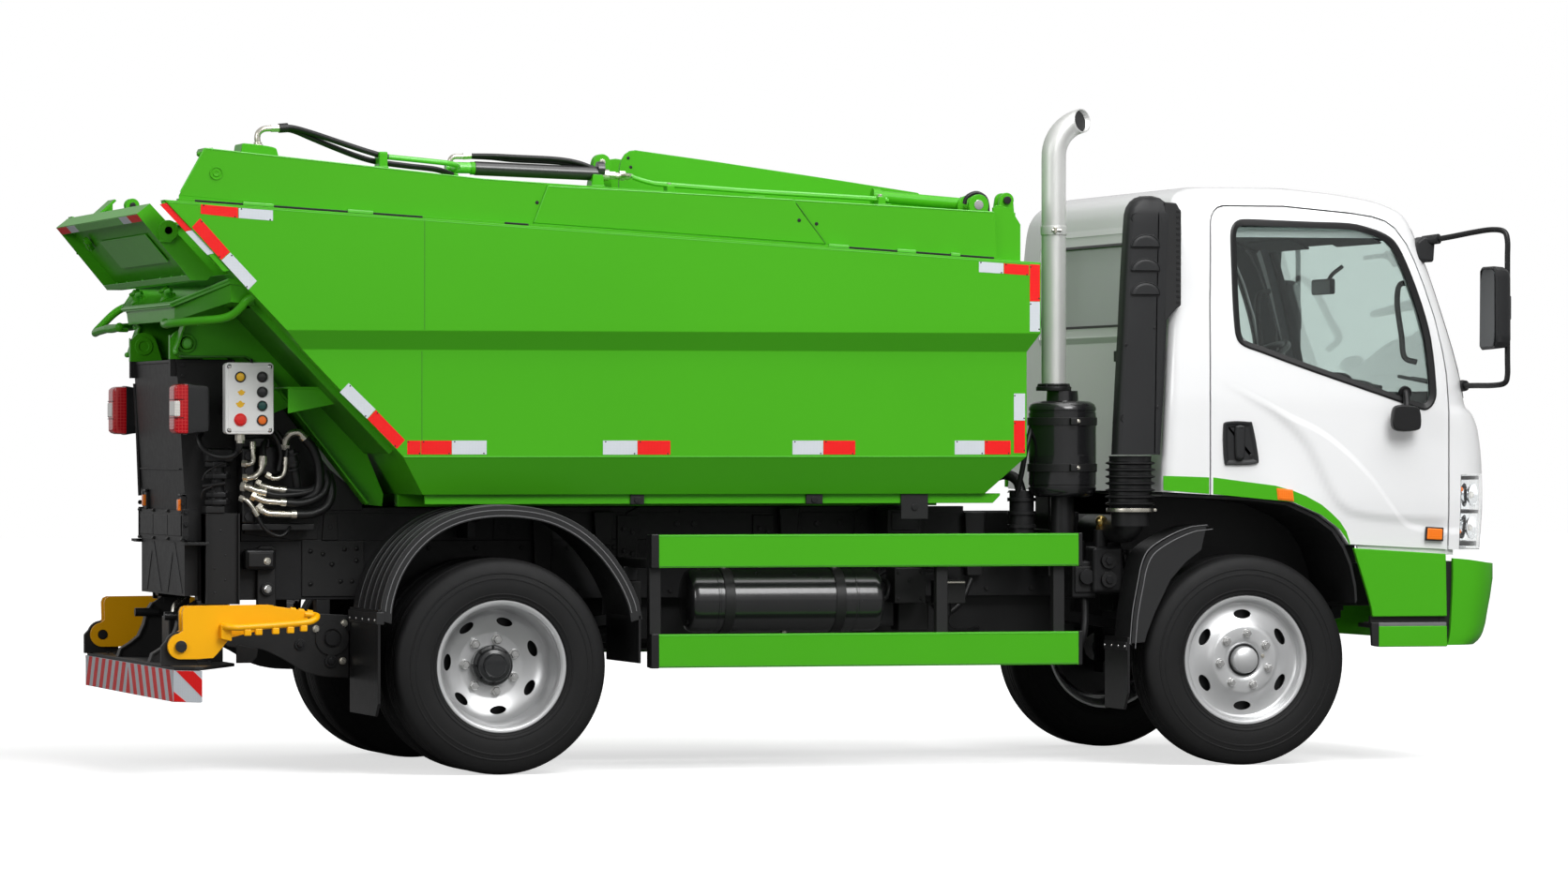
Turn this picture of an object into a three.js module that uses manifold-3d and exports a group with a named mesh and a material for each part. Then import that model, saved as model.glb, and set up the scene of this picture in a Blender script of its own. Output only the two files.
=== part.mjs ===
// A satellite refuse truck: a forward-control light truck with a high-tipping tub.
// Millimetres. +X points forward, +Y to the vehicle's left, +Z up, and the ground is at Z = 0.
// Every piece is drawn from the rear axle's centre line; the whole truck is then shifted along X
// so that the origin lies under the middle of its bounding box. Right-hand pieces (-Y) are drawn
// and left-hand ones are their mirror images.
import * as THREE from "three";
import { mergeVertices } from "three/addons/utils/BufferGeometryUtils.js";
import Module from "manifold-3d";

const wasm = await Module();
wasm.setup();

// ---------------------------------------------------------------- driving dimensions

const GAP = 0.3; // between pieces that touch
const TYRE_RADIUS = 391.5; // 225/75 R17.5
const TYRE_WIDTH = 226;
const TYRE_SIDES = 24;
const RIM_SIDES = 20;
const AXLE_Z = TYRE_RADIUS;
const WHEELBASE = 2840;
const FRONT_WHEEL_Y = 832; // middle of the front tyre
const TWIN_Y = 730; // middle of the rear pair
const TWIN_SPREAD = 125; // each rear tyre's middle from the pair's middle
const KINGPIN_Y = 700;

const RAIL_IN = 365; // chassis rail, inner and outer face
const RAIL_OUT = 425;
const RAIL_LOW = 625;
const RAIL_TOP = 840;
const SUB_LOW = RAIL_TOP + GAP;
const SUB_TOP = 940;
const SKID_LOW = 964; // underside of the tub's skids

const TUB_SHEET = 6;
const TUB_HALF = 1010; // upper half of the tub
const TUB_WAIST = 965; // below the crease
const TUB_FLOOR = 880;
const TIP_PIN = [-1060, 1559]; // x, z of the tipping pins
const TRAY_HALF = 860;
const TAILGATE_PIN = [-1201, 1956];

const CAB_WALL = 45;
const CAB_HALF = 985;
const CAB_PIN = [3790, 650]; // x, z of the cab's tilt pins
const CAB_BOTTOM = 798; // underside of the nose

const BUMPER_TOP = 744;
const BUMPER_SHEET = 18;

const ARM_PIN = [-1150, 470]; // x, z of the folding arms' pins
const ARM_Y = 800;
const BAR_HALF = 1000;

// ---------------------------------------------------------------- colours

const PAINT = {
  green: [0x2fa81c, 0.35, 0.0],
  white: [0xf2f3f4, 0.3, 0.0],
  black: [0x17181a, 0.55, 0.2],
  yellow: [0xf6b109, 0.4, 0.0],
  rubber: [0x1c1c1d, 0.85, 0.0],
  steel: [0xb9bcbf, 0.35, 0.8],
  plastic: [0x202225, 0.6, 0.0],
  grey: [0xc9ccd0, 0.5, 0.0],
  glass: [0x9fb0ac, 0.05, 0.0],
  lamp: [0xdfe3e6, 0.1, 0.0],
  red: [0xb3121b, 0.2, 0.0],
  trim: [0x2b2c2f, 0.8, 0.0],
};

function material(kind) {
  const [color, roughness, metalness] = PAINT[kind];
  return new THREE.MeshStandardMaterial({ color, roughness, metalness, flatShading: true });
}

// ---------------------------------------------------------------- solids

// A closed three.js geometry as a solid, whichever way its faces were wound.
function solid(geometry) {
  const bare = geometry.index ? geometry.toNonIndexed() : geometry.clone();
  bare.deleteAttribute("normal");
  bare.deleteAttribute("uv");
  const merged = mergeVertices(bare, 1e-3);
  const vertProperties = new Float32Array(merged.attributes.position.array);
  const triVerts = new Uint32Array(merged.index.array);
  const make = () => new wasm.Manifold(new wasm.Mesh({ numProp: 3, vertProperties, triVerts }));
  const first = make();
  if (first.volume() > 0) return first;
  for (let i = 0; i < triVerts.length; i += 3) {
    [triVerts[i], triVerts[i + 1]] = [triVerts[i + 1], triVerts[i]];
  }
  return make();
}

function join(...solids) {
  return solids.reduce((all, next) => all.add(next));
}

function cut(body, ...tools) {
  return tools.reduce((left, tool) => left.subtract(tool), body);
}

function box(x0, x1, y0, y1, z0, z1) {
  const geometry = new THREE.BoxGeometry(x1 - x0, y1 - y0, z1 - z0);
  geometry.translate((x0 + x1) / 2, (y0 + y1) / 2, (z0 + z1) / 2);
  return solid(geometry);
}

function shapeOf(outline) {
  return new THREE.Shape(outline.map(([a, b]) => new THREE.Vector2(a, b)));
}

function prism(outline, depth) {
  return new THREE.ExtrudeGeometry(shapeOf(outline), { depth, bevelEnabled: false });
}

// A side-view outline of [x, z] points, thick from y0 to y1.
function slab(outline, y0, y1) {
  const geometry = prism(outline, y1 - y0);
  geometry.rotateX(Math.PI / 2);
  geometry.translate(0, y1, 0);
  return solid(geometry);
}

// A front-view outline of [y, z] points, long from x0 to x1.
function beam(outline, x0, x1) {
  const geometry = prism(outline, x1 - x0);
  const turn = new THREE.Matrix4().makeBasis(
    new THREE.Vector3(0, 1, 0),
    new THREE.Vector3(0, 0, 1),
    new THREE.Vector3(1, 0, 0),
  );
  geometry.applyMatrix4(turn);
  geometry.translate(x0, 0, 0);
  return solid(geometry);
}

// A plan outline of [x, y] points, tall from z0 to z1.
function plate(outline, z0, z1) {
  const geometry = prism(outline, z1 - z0);
  geometry.translate(0, 0, z0);
  return solid(geometry);
}

// A round bar between two points.
function rod(from, to, radius, sides = 12) {
  const a = new THREE.Vector3(...from);
  const b = new THREE.Vector3(...to);
  const geometry = new THREE.CylinderGeometry(radius, radius, a.distanceTo(b), sides);
  const along = b.clone().sub(a).normalize();
  geometry.applyQuaternion(new THREE.Quaternion().setFromUnitVectors(new THREE.Vector3(0, 1, 0), along));
  geometry.translate(...a.add(b).multiplyScalar(0.5).toArray());
  return solid(geometry);
}

// A profile of [radius, y] points turned about the Y axis, with a flat facet at the bottom.
function turned(profile, sides) {
  const grow = 1 / Math.cos(Math.PI / sides);
  const points = profile.map(([radius, y]) => new THREE.Vector2(radius * grow, y));
  return solid(new THREE.LatheGeometry(points, sides, Math.PI / sides, 2 * Math.PI));
}

// A path of straight runs joined by round bends of one radius.
function bentPath(points, bend) {
  const path = new THREE.CurvePath();
  let last = new THREE.Vector3(...points[0]);
  for (let i = 1; i < points.length - 1; i += 1) {
    const corner = new THREE.Vector3(...points[i]);
    const next = new THREE.Vector3(...points[i + 1]);
    const before = corner.clone().add(last.clone().sub(corner).setLength(bend));
    const after = corner.clone().add(next.sub(corner).setLength(bend));
    path.add(new THREE.LineCurve3(last, before));
    path.add(new THREE.QuadraticBezierCurve3(before, corner, after));
    last = after;
  }
  path.add(new THREE.LineCurve3(last, new THREE.Vector3(...points.at(-1))));
  return path;
}

// A round tube along a path; bore gives it an open hole.
function tube(path, radius, { sides = 8, steps = 12, bore = 0 } = {}) {
  const ring = (r) =>
    Array.from({ length: sides }, (_, i) => {
      const angle = (2 * Math.PI * i) / sides;
      return new THREE.Vector2(r * Math.cos(angle), r * Math.sin(angle));
    });
  const section = new THREE.Shape(ring(radius));
  if (bore) section.holes.push(new THREE.Path(ring(bore)));
  return solid(new THREE.ExtrudeGeometry(section, { steps, extrudePath: path, bevelEnabled: false }));
}

// A skin over rings of equally many [x, y, z] points, each ring flat and convex.
function loft(rings) {
  const count = rings[0].length;
  const index = [];
  rings.slice(1).forEach((_, level) => {
    for (let i = 0; i < count; i += 1) {
      const a = level * count + i;
      const b = level * count + ((i + 1) % count);
      index.push(a, b, b + count, a, b + count, a + count);
    }
  });
  const top = (rings.length - 1) * count;
  for (let i = 1; i < count - 1; i += 1) {
    index.push(0, i + 1, i, top, top + i, top + i + 1);
  }
  const geometry = new THREE.BufferGeometry();
  geometry.setAttribute("position", new THREE.Float32BufferAttribute(rings.flat(2), 3));
  geometry.setIndex(index);
  return solid(geometry);
}

// An outline moved outwards by a distance (inwards when it is negative), corners mitred.
function grown(outline, distance) {
  const sign = THREE.ShapeUtils.area(shapeOf(outline).getPoints()) > 0 ? 1 : -1;
  return outline.map(([x, y], i) => {
    const [px, py] = outline.at(i - 1);
    const [nx, ny] = outline[(i + 1) % outline.length];
    const before = new THREE.Vector2(x - px, y - py).normalize();
    const after = new THREE.Vector2(nx - x, ny - y).normalize();
    const reach = (sign * distance) / (1 + before.dot(after));
    return [x + (before.y + after.y) * reach, y - (before.x + after.x) * reach];
  });
}

// Points on an arc, angles in degrees from +X towards +Z.
function arc([cx, cz], radius, from, to, steps) {
  return Array.from({ length: steps + 1 }, (_, i) => {
    const angle = THREE.MathUtils.degToRad(from + ((to - from) * i) / steps);
    return [cx + radius * Math.cos(angle), cz + radius * Math.sin(angle)];
  });
}

function mirrored(body) {
  return body.mirror([0, 1, 0]);
}

function bothSides(body) {
  return join(body, mirrored(body));
}

function geometryOf(body) {
  const { vertProperties, triVerts } = body.getMesh();
  const geometry = new THREE.BufferGeometry();
  geometry.setAttribute("position", new THREE.BufferAttribute(vertProperties, 3));
  geometry.setIndex(new THREE.BufferAttribute(triVerts, 1));
  return geometry;
}

// ---------------------------------------------------------------- the scene graph

const truck = new THREE.Group();
const group = (parent) => {
  const made = new THREE.Group();
  parent.add(made);
  return made;
};

function put(parent, name, body, kind, [x, y, z] = [0, 0, 0]) {
  const mesh = new THREE.Mesh(geometryOf(body), material(kind));
  mesh.name = name;
  mesh.position.set(x, y, z);
  parent.add(mesh);
}

function putPair(parents, name, body, kind, [x, y, z] = [0, 0, 0]) {
  put(parents[0], `${name}_right`, body, kind, [x, -y, z]);
  put(parents[1], `${name}_left`, mirrored(body), kind, [x, y, z]);
}

// ---------------------------------------------------------------- chassis

const RAIL = [[-1010, RAIL_LOW], [3000, RAIL_LOW], [3120, 578], [3560, 578], [3560, 740],
  [3150, 740], [3030, RAIL_TOP], [-1010, RAIL_TOP]];

// A channel rail with its open side towards the middle of the truck.
function channel(outline, sheet) {
  const hollow = slab(grown(outline, -sheet), -RAIL_OUT + sheet, -RAIL_IN + 1);
  return cut(slab(outline, -RAIL_OUT, -RAIL_IN), hollow);
}

function chassisFrame() {
  const crossbars = [
    // x, z
    [-960, 740],
    [-420, 740],
    [420, 740],
    [1080, 740],
    [1750, 740],
    [3480, 660],
  ].map(([x, z]) => box(x - 30, x + 30, -RAIL_OUT + 4, RAIL_OUT - 4, z - 40, z + 40));
  const ear = box(3552, CAB_PIN[0] + 24, -RAIL_OUT, -RAIL_IN, 605, 690);
  const pin = rod([CAB_PIN[0], -400, CAB_PIN[1]], [CAB_PIN[0], -458, CAB_PIN[1]], 12, 10);
  return join(bothSides(join(channel(RAIL, 8), ear, pin)), ...crossbars);
}

// The body's own frame on top of the chassis, with pads that the tub rests on.
function tippingSubframe() {
  const rail = channel([[-850, SUB_LOW], [1900, SUB_LOW], [1900, SUB_TOP], [-850, SUB_TOP]], 8);
  const pads = [-150, 800, 1700].map((x) =>
    box(x, x + 60, -RAIL_OUT, -RAIL_IN, SUB_TOP - 1, SKID_LOW - 7),
  );
  const crossbars = [-400, 300, 1000, 1850].map((x) =>
    box(x, x + 40, -RAIL_OUT + 4, RAIL_OUT - 4, SUB_LOW, SUB_LOW + 80),
  );
  return join(bothSides(join(rail, ...pads)), ...crossbars);
}

// The black box column that carries the tipping pins.
function rearPedestal() {
  const half = 434;
  const upper = slab([[-1056, 951], [-1090, 1500], [-876, 1500], [-868, 951]], -half, half);
  const collar = box(-1066, -868, -half - 8, half + 8, RAIL_TOP + GAP, 952);
  const lower = box(-1060, -1012, -half, half, 641, RAIL_TOP + 10);
  const post = box(-1000, -876, -520, -half + 1, 612, 942);
  const ears = [[-1110, 1440], [-1110, 1590], ...arc(TIP_PIN, 50, 160, 20, 6), [-990, 1440]];
  const ear = slab(ears, -418, -392);
  const pin = rod([TIP_PIN[0], -400, TIP_PIN[1]], [TIP_PIN[0], -486, TIP_PIN[1]], 20, 12);
  const shelf = box(-1080, -990, -540, -half, 828, 838);
  return join(upper, collar, lower, bothSides(join(post, ear, pin, shelf)));
}

// The striped rear bar with its deck, and the carriers of the folding arms.
function rearBumper() {
  const [px, pz] = ARM_PIN;
  const half = [[-1186, -900], [-1120, -960], [-1090, -960], [-900, -560]];
  const bar = plate([[-1190, -915], [-1100, -BAR_HALF], [-1100, BAR_HALF], [-1190, 915]], 272, 389);
  const deck = plate([...half, ...half.toReversed().map(([x, y]) => [x, -y])], 388, 400);
  const web = [[-1170, 399], [-1090, 440], [-1040, 560], [-1000, 624], [-900, 624], [-900, 399]];
  const gusset = slab(web, -340, -310);
  const ears = [[-1215, 399], [-1215, 470], ...arc(ARM_PIN, 52, 160, 20, 5), [-1080, 399]];
  const lug = slab(ears, -ARM_Y - 14, -ARM_Y + 14);
  const pin = rod([px, -ARM_Y - 44, pz], [px, -ARM_Y + 44, pz], 17, 12);
  const foot = box(-1000, -900, -RAIL_OUT, -310, 600, RAIL_LOW - GAP);
  return join(bar, deck, bothSides(join(gusset, foot, lug, pin)));
}

function controlBox() {
  const housing = box(-962, -787, -720, -650, 1230, 1486);
  const bracket = box(-930, -880, -651, -434 - GAP, 1300, 1360);
  return join(housing, bracket);
}

// A tail lamp, its housing and the arm that reaches from the pedestal.
function tailLamp() {
  const lens = box(-1144, -1092, -690, -566, 1232, 1408);
  const housing = box(-1093, -1010, -682, -574, 1240, 1400);
  const arm = box(-1060, -1010, -575, -434 - GAP, 1290, 1350);
  return join(lens, housing, arm);
}

// The tipping valves beside the pedestal: a stack of flanged sections on a stem.
function hydraulicValves() {
  const stem = rod([-966, -500, 950], [-966, -500, 1150], 26, 10);
  const disks = [985, 1030, 1075, 1120].map((z) => rod([-966, -500, z - 14], [-966, -500, z + 14], 50, 12));
  const foot = box(-1000, -930, -530, -442 - GAP, 942 + GAP, 970);
  return join(stem, foot, ...disks);
}

// The hoses that run from the manifold beside the pedestal into the frame.
function hydraulicHoses() {
  const manifold = box(-868, -820, -560, -440, 905, 1180);
  const runs = [
    // [first z, reach along x, end x, end z]
    [1150, 180, -660, 900],
    [1090, 220, -640, 900],
    [1040, 250, -620, 900],
    [990, 270, -600, 900],
    [940, 210, -680, 900],
  ];
  const hoses = runs.map(([z, reach, endX, endZ], i) => {
    const y = -545 + i * 22;
    const path = new THREE.CatmullRomCurve3([
      new THREE.Vector3(-830, y, z),
      new THREE.Vector3(-780, y, z),
      new THREE.Vector3(-830 + reach, y, (z + endZ) / 2 + 10),
      new THREE.Vector3(endX, y, endZ + 20),
      new THREE.Vector3(endX - 40, y, endZ - 12),
    ]);
    return tube(path, 15, { sides: 6, steps: 7 });
  });
  const rack = box(-868, -600, -560, -440, 880, 904);
  return join(manifold, rack, ...hoses);
}

// A leaf spring under one rail with its hangers, centred on an axle.
function leafSpring(axleX) {
  const leaf = (x) => 470 + 62 * (x / 560) ** 2;
  const top = (x) => (x > 3100 ? 578 : RAIL_LOW) - GAP;
  const xs = [-560, -280, 0, 280, 560];
  const low = xs.map((x) => [axleX + x, leaf(x)]);
  const spring = [...low, ...low.toReversed().map(([x, z]) => [x, z + 40])];
  const hangers = [axleX - 545, axleX + 545].map((x) =>
    box(x - 25, x + 25, -RAIL_OUT, -RAIL_IN, 560, top(x)),
  );
  const clamp = box(axleX - 60, axleX + 60, -RAIL_OUT, -RAIL_IN, AXLE_Z, 500);
  return join(slab(spring, -RAIL_OUT, -RAIL_IN), clamp, ...hangers);
}

function rearAxle() {
  const casing = rod([0, -560, AXLE_Z], [0, 560, AXLE_Z], 58, 12);
  const differential = rod([-110, 0, AXLE_Z], [110, 0, AXLE_Z], 150, 14);
  return join(casing, differential, bothSides(leafSpring(0)));
}

function frontAxle() {
  const x = WHEELBASE;
  const bar = box(x - 38, x + 38, -KINGPIN_Y, KINGPIN_Y, 345, 435);
  const eye = rod([x, -KINGPIN_Y, 345], [x, -KINGPIN_Y, 435], 42, 12);
  return join(bar, bothSides(join(eye, leafSpring(x))));
}

// The forked knuckle round the axle's eye, with the stub that the wheel turns on.
function steeringKnuckle() {
  const fork = [[-770, 295], [-655, 295], [-655, 338], [-752, 338], [-752, 442], [-655, 442],
    [-655, 485], [-770, 485]];
  const stub = rod([WHEELBASE, -765, AXLE_Z], [WHEELBASE, -806, AXLE_Z], 36, 12);
  return join(beam(fork, WHEELBASE - 40, WHEELBASE + 40), stub);
}

// Engine, gearbox and propeller shaft.
function powertrain() {
  const engine = box(2520, 3040, -320, 320, 560, 925);
  const gearbox = box(1950, 2530, -170, 170, 540, 800);
  const shaft = rod([1960, 0, 620], [122, 0, 440], 42, 10);
  return join(engine, gearbox, shaft);
}

function airTank() {
  const y = -785;
  const z = 622;
  const ends = [[0, 721], [70, 727], [104, 744], [116, 775], [116, 1409], [104, 1440], [70, 1457],
    [0, 1463]];
  const tank = turned(ends, 16);
  const geometry = tank.rotate([0, 0, -90]).translate([0, y, z]);
  const straps = [850, 1250].map((x) => box(x, x + 40, -700, -RAIL_OUT - GAP, 600, 660));
  return join(geometry, ...straps);
}

// The left-hand fuel tank.
function fuelTank() {
  const r = 50;
  const [y0, y1, z0, z1] = [560, 880, 400, 736];
  const corner = (cy, cz, from) => arc([cy, cz], r, from, from + 90, 3);
  const section = [
    ...corner(y1 - r, z1 - r, 0),
    ...corner(y0 + r, z1 - r, 90),
    ...corner(y0 + r, z0 + r, 180),
    ...corner(y1 - r, z0 + r, 270),
  ];
  const straps = [860, 1240].map((x) => box(x, x + 40, RAIL_OUT + GAP, 562, 630, 690));
  return join(beam(section, 740, 1420), ...straps);
}

function sideGuard() {
  const rails = [[745, 865], [382, 504]].map(([low, high]) => box(546, 2190, -975, -945, low, high));
  const posts = [551, 1637, 2086].map((x) =>
    join(box(x, x + 44, -946, -906, 382, 865), box(x, x + 44, -907, -RAIL_OUT - GAP, 745, 775)),
  );
  return join(...rails, ...posts);
}

// The line over the rear tyres that the mudguard follows, from front to rear.
const GUARD_LINE = [[512, 560], [497, 630], [452, 722], [382, 815], [290, 893], [180, 945], [60, 967],
  [-60, 967], [-170, 945], [-265, 900], [-345, 830], [-405, 740], [-440, 640], [-450, 560]];

// A shell over both rear tyres with a lip at its outer edge and a flap down to a given height.
function rearMudguard(flapLow) {
  const inwards = (by) => GUARD_LINE.map(([x, z]) => {
    const scale = 1 - by / Math.hypot(x, z - 424);
    return [x * scale, 424 + (z - 424) * scale];
  });
  const band = (depth) => [...GUARD_LINE, ...inwards(depth).toReversed()];
  const shell = slab(band(10), -985, -495);
  const lip = slab(band(38), -985, -975);
  const flap = box(-462, -451, -985, -500, flapLow, 600);
  const flapHead = box(-464, -438, -985, -500, 548, 590);
  const front = box(500, 511, -985, -500, 400, 575);
  const web = box(-45, -15, -600, -RAIL_OUT - GAP, 850, 962);
  return join(shell, lip, flap, flapHead, front, web);
}

// The guard behind a front wheel, following the tyre outside its steering sweep.
function frontMudguard(flapLow) {
  const outer = [[2682, 895], [2560, 868], [2449, 800], [2412, 690], [2388, 555], [2380, 455]];
  const inner = outer.toReversed().map(([x, z]) => [x + 9.6, z - 7.2]);
  const shell = slab([...outer, ...inner], -950, -765);
  const face = slab([...outer, [2440, 460], [2449, 493], [2540, 690], [2660, 800]], -950, -940);
  const flap = box(2372, 2384, -950, -770, flapLow, 470);
  const arm = box(2440, 2480, -770, -RAIL_OUT - GAP, 765, 800);
  return join(shell, face, flap, arm);
}

function exhaustSilencer() {
  const can = rod([2199, -700, 997], [2199, -700, 1353], 126, 18);
  const neck = rod([2166, -700, 1352], [2166, -700, 1390], 58, 14);
  const post = box(2180, 2220, -590, -RAIL_OUT - GAP, 700, 1300);
  return join(can, neck, post);
}

function exhaustStack() {
  const straight = [1390 + GAP, 1700, 2000].map((z) => [2166, z]);
  const bend = arc([2304, 2262], 138, 180, 96, 7);
  const points = [...straight, ...bend].map(([x, z]) => new THREE.Vector3(x, -700, z));
  const path = new THREE.CatmullRomCurve3(points, false, "centripetal");
  return tube(path, 45.5, { sides: 12, steps: 12, bore: 42 });
}

// The ribbed intake bellows under the snorkel and the duct into the frame.
function intakeDuct() {
  const [x, y] = [2400, -897];
  const ribs = Array.from({ length: 5 }, (_, i) => rod([x, y, 975 + i * 36], [x, y, 993 + i * 36], 88, 12));
  const core = rod([x, y, 890], [x, y, 1148], 76, 12);
  const path = bentPath([[x, y, 940], [x, y, 880], [x, -RAIL_OUT - GAP, 880]], 45);
  const duct = tube(path, 52, { sides: 8, steps: 6 });
  return join(core, duct, ...ribs);
}

// Half of the bumper's face in plan, from its rear edge to the middle.
const BUMPER_CURVE = [[3640, -CAB_HALF], [3741, -968], [3806, -925], [3842, -870], [3862, -790],
  [3884, -560], [3892, -330]];
const BUMPER_LEVELS = [
  // z, how far the middle of the face stands back
  [442, 92],
  [487, 46],
  [564, 25],
  [688, 0],
  [780, 0],
];

// The bumper's outer form moved inwards by a distance, open towards the rear when it is moved.
function bumperBody(inset) {
  const rings = BUMPER_LEVELS.map(([z, back], level) => {
    const half = BUMPER_CURVE.map(([x, y]) => [x - back * (0.25 + (0.75 * (x - 3640)) / 252), y]);
    const ring = [...half, ...half.toReversed().map(([x, y]) => [x, -y])];
    const up = inset ? (level === 0 ? -5 : level === BUMPER_LEVELS.length - 1 ? 5 : 0) : 0;
    return grown(ring, -inset).map(([x, y], i) => {
      const open = inset && (i === 0 || i === ring.length - 1);
      return [open ? 3500 : x, y, z + up];
    });
  });
  return loft(rings);
}

// Bumper, side panels and steps ahead of the front wheels, fixed to the frame.
function frontBumper() {
  const above = [[3500, 778], [3700, 762], [3790, 750], [3850, BUMPER_TOP + 1], [3900, BUMPER_TOP],
    [3900, 900], [3500, 900]];
  const shell = cut(bumperBody(0), bumperBody(BUMPER_SHEET), slab(above, -1100, 1100));
  const outline = [[3244, 808], [3612, 783], [3619, 437], [3340, 437], [3307, 530], [3324, 550]];
  const panel = slab(outline, -CAB_HALF, -CAB_HALF + 20);
  const slot = box(3331, 3640, -CAB_HALF - 1, -CAB_HALF + 21, 528, 550);
  const tread = box(3336, 3612, -CAB_HALF + 2, -800, 512, 527);
  const bracket = box(3590, 3690, -CAB_HALF + 19, -CAB_HALF + 40, 460, 755);
  const mount = box(CAB_PIN[0] + 24 + GAP, 3870, -RAIL_OUT, -RAIL_IN, 610, 688);
  return join(shell, bothSides(join(cut(panel, slot), tread, bracket, mount)));
}

// ---------------------------------------------------------------- cab

// Level sections of the cab's skin.
const CAB_LEVELS = [
  // z, rear, front, half width, corner width
  [CAB_BOTTOM, 2494, 3840, 975, 190],
  [1000, 2500, 3850, 985, 200],
  [1120, 2506, 3846, 985, 200],
  [1240, 2512, 3832, 985, 200],
  [1305, 2515, 3808, 985, 200],
  [1335, 2517, 3780, 985, 200],
  [1437, 2523, 3761, 980, 200],
  [1700, 2540, 3690, 956, 200],
  [1990, 2556, 3588, 926, 190],
  [2050, 2562, 3556, 907, 180],
  [2095, 2578, 3480, 872, 170],
  [2126, 2610, 3350, 826, 160],
  [2152, 2680, 3140, 760, 150],
];
const CORNER = 150; // how far each front corner's curve runs along the truck
const BOW = 35; // how far the middle of the nose stands ahead of its corners

// The cab's skin moved inwards by a distance.
function cabBody(inset) {
  const rings = CAB_LEVELS.map(([level, rear, front, half, wide]) => {
    const roof = level > 2000 ? inset : 0;
    const bottom = level === CAB_BOTTOM ? 100 * Math.sign(inset) : 0;
    const [x0, x1, y1] = [rear + inset, front - inset, half - inset];
    const side = [[x0, -(y1 - 45)], [x0 + 14, -(y1 - 14)], [x0 + 45, -y1]];
    for (let i = 0; i <= 5; i += 1) {
      const angle = (Math.PI / 10) * i;
      side.push([x1 - BOW - CORNER * (1 - Math.sin(angle)), -(y1 - wide * (1 - Math.cos(angle)))]);
    }
    side.push([x1 - 8, -y1 * 0.4]);
    const other = side.toReversed().map(([x, y]) => [x, -y]);
    return [...side, [x1, 0], ...other].map(([x, y]) => [x, y, level - roof - bottom]);
  });
  return loft(rings);
}

const ARCH = [[2400, 600], [2400, 1022], [2688, 1006], [2850, 998], [3005, 978], [3120, 930],
  [3190, 880], [3232, 820], [3640, 799], [3640, 600]];
const FLOOR = [[2400, 600], [2400, 1060], [3020, 1060], [3150, 1010], [3225, 945], [3275, 850],
  [3900, 850], [3900, 600]];
const DOOR = [[2686, 700], [2686, 1380], [2694, 1700], [2706, 1990], [2712, 2024], [2730, 2058],
  [2766, 2076], [3001, 2076], [3262, 2052], [3342, 2040], [3392, 2024], [3430, 1998], [3476, 1939],
  [3507, 1876], [3544, 1781], [3581, 1665], [3606, 1537], [3616, 1455], [3620, 1339], [3620, 700]];
const DOOR_WINDOW = [[2795, 1735], [2794, 1975], [2815, 2016], [3246, 2003], [3321, 1988],
  [3387, 1963], [3427, 1926], [3471, 1830], [3515, 1704], [3544, 1581], [3558, 1423], [3556, 1366],
  [3534, 1336], [3504, 1339], [3435, 1362], [3234, 1428], [3033, 1495], [2844, 1561], [2805, 1592]];
const WINDSCREEN = [[-848, 1372], [848, 1372], [864, 1396], [784, 1985], [760, 2005], [-760, 2005],
  [-784, 1985], [-864, 1396]];
const REAR_WINDOW = [[-600, 1640], [600, 1640], [620, 1660], [620, 1930], [600, 1950], [-600, 1950],
  [-620, 1930], [-620, 1660]];
const HEADLIGHT = [[3668, 802], [3900, 802], [3900, 1080], [3672, 1080]];
const SHUT_LINE = 6; // gap round a door
const WHEEL_HUB = [3310, 480, 1492]; // steering wheel's centre
const COLUMN_TILT = 28; // degrees of the column from vertical

// A point on the steering column, at a distance below the wheel's centre.
function columnPoint(distance) {
  const angle = THREE.MathUtils.degToRad(COLUMN_TILT);
  const [x, y, z] = WHEEL_HUB;
  return [x + distance * Math.sin(angle), y, z - distance * Math.cos(angle)];
}

const cabSkin = cabBody(0);
const cabInside = cabBody(CAB_WALL);
const doorSide = (outline) => slab(outline, -1100, -700);
const headlightBlock = (outline) => slab(outline, -1100, -650);

function cabShell() {
  const cavity = cut(cabInside, slab(FLOOR, -1200, 1200));
  const doorway = cut(doorSide(grown(DOOR, SHUT_LINE)), cabBody(CAB_WALL + 5));
  const lamp = cut(headlightBlock(grown(HEADLIGHT, 1)), cabBody(CAB_WALL + 5));
  const holes = [beam(WINDSCREEN, 3380, 3900), beam(REAR_WINDOW, 2400, 2700)];
  const shell = cut(cabSkin, slab(ARCH, -1200, 1200), cavity, bothSides(join(doorway, lamp)), ...holes);
  const link = [[3610, 805], [3766, 640], ...arc(CAB_PIN, 26, 215, 400, 5), [3772, 735], [3770, 805]];
  const arm = slab(link, -452, -432);
  const eye = rod([CAB_PIN[0], -480, CAB_PIN[1]], [CAB_PIN[0], -420, CAB_PIN[1]], 14.5, 10);
  return join(shell, bothSides(cut(arm, eye)));
}

function cabDoor() {
  const panel = cut(cabSkin, cabBody(CAB_WALL), slab(ARCH, -1200, 1200)).intersect(doorSide(DOOR));
  return cut(panel, doorSide(DOOR_WINDOW));
}

// A pane inside the wall, cut to an opening.
function pane(opening) {
  return cut(cabBody(18), cabBody(24)).intersect(opening);
}

function headlight() {
  const block = cabSkin.intersect(headlightBlock(HEADLIGHT));
  return cut(block, cabBody(CAB_WALL - 2));
}

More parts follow.
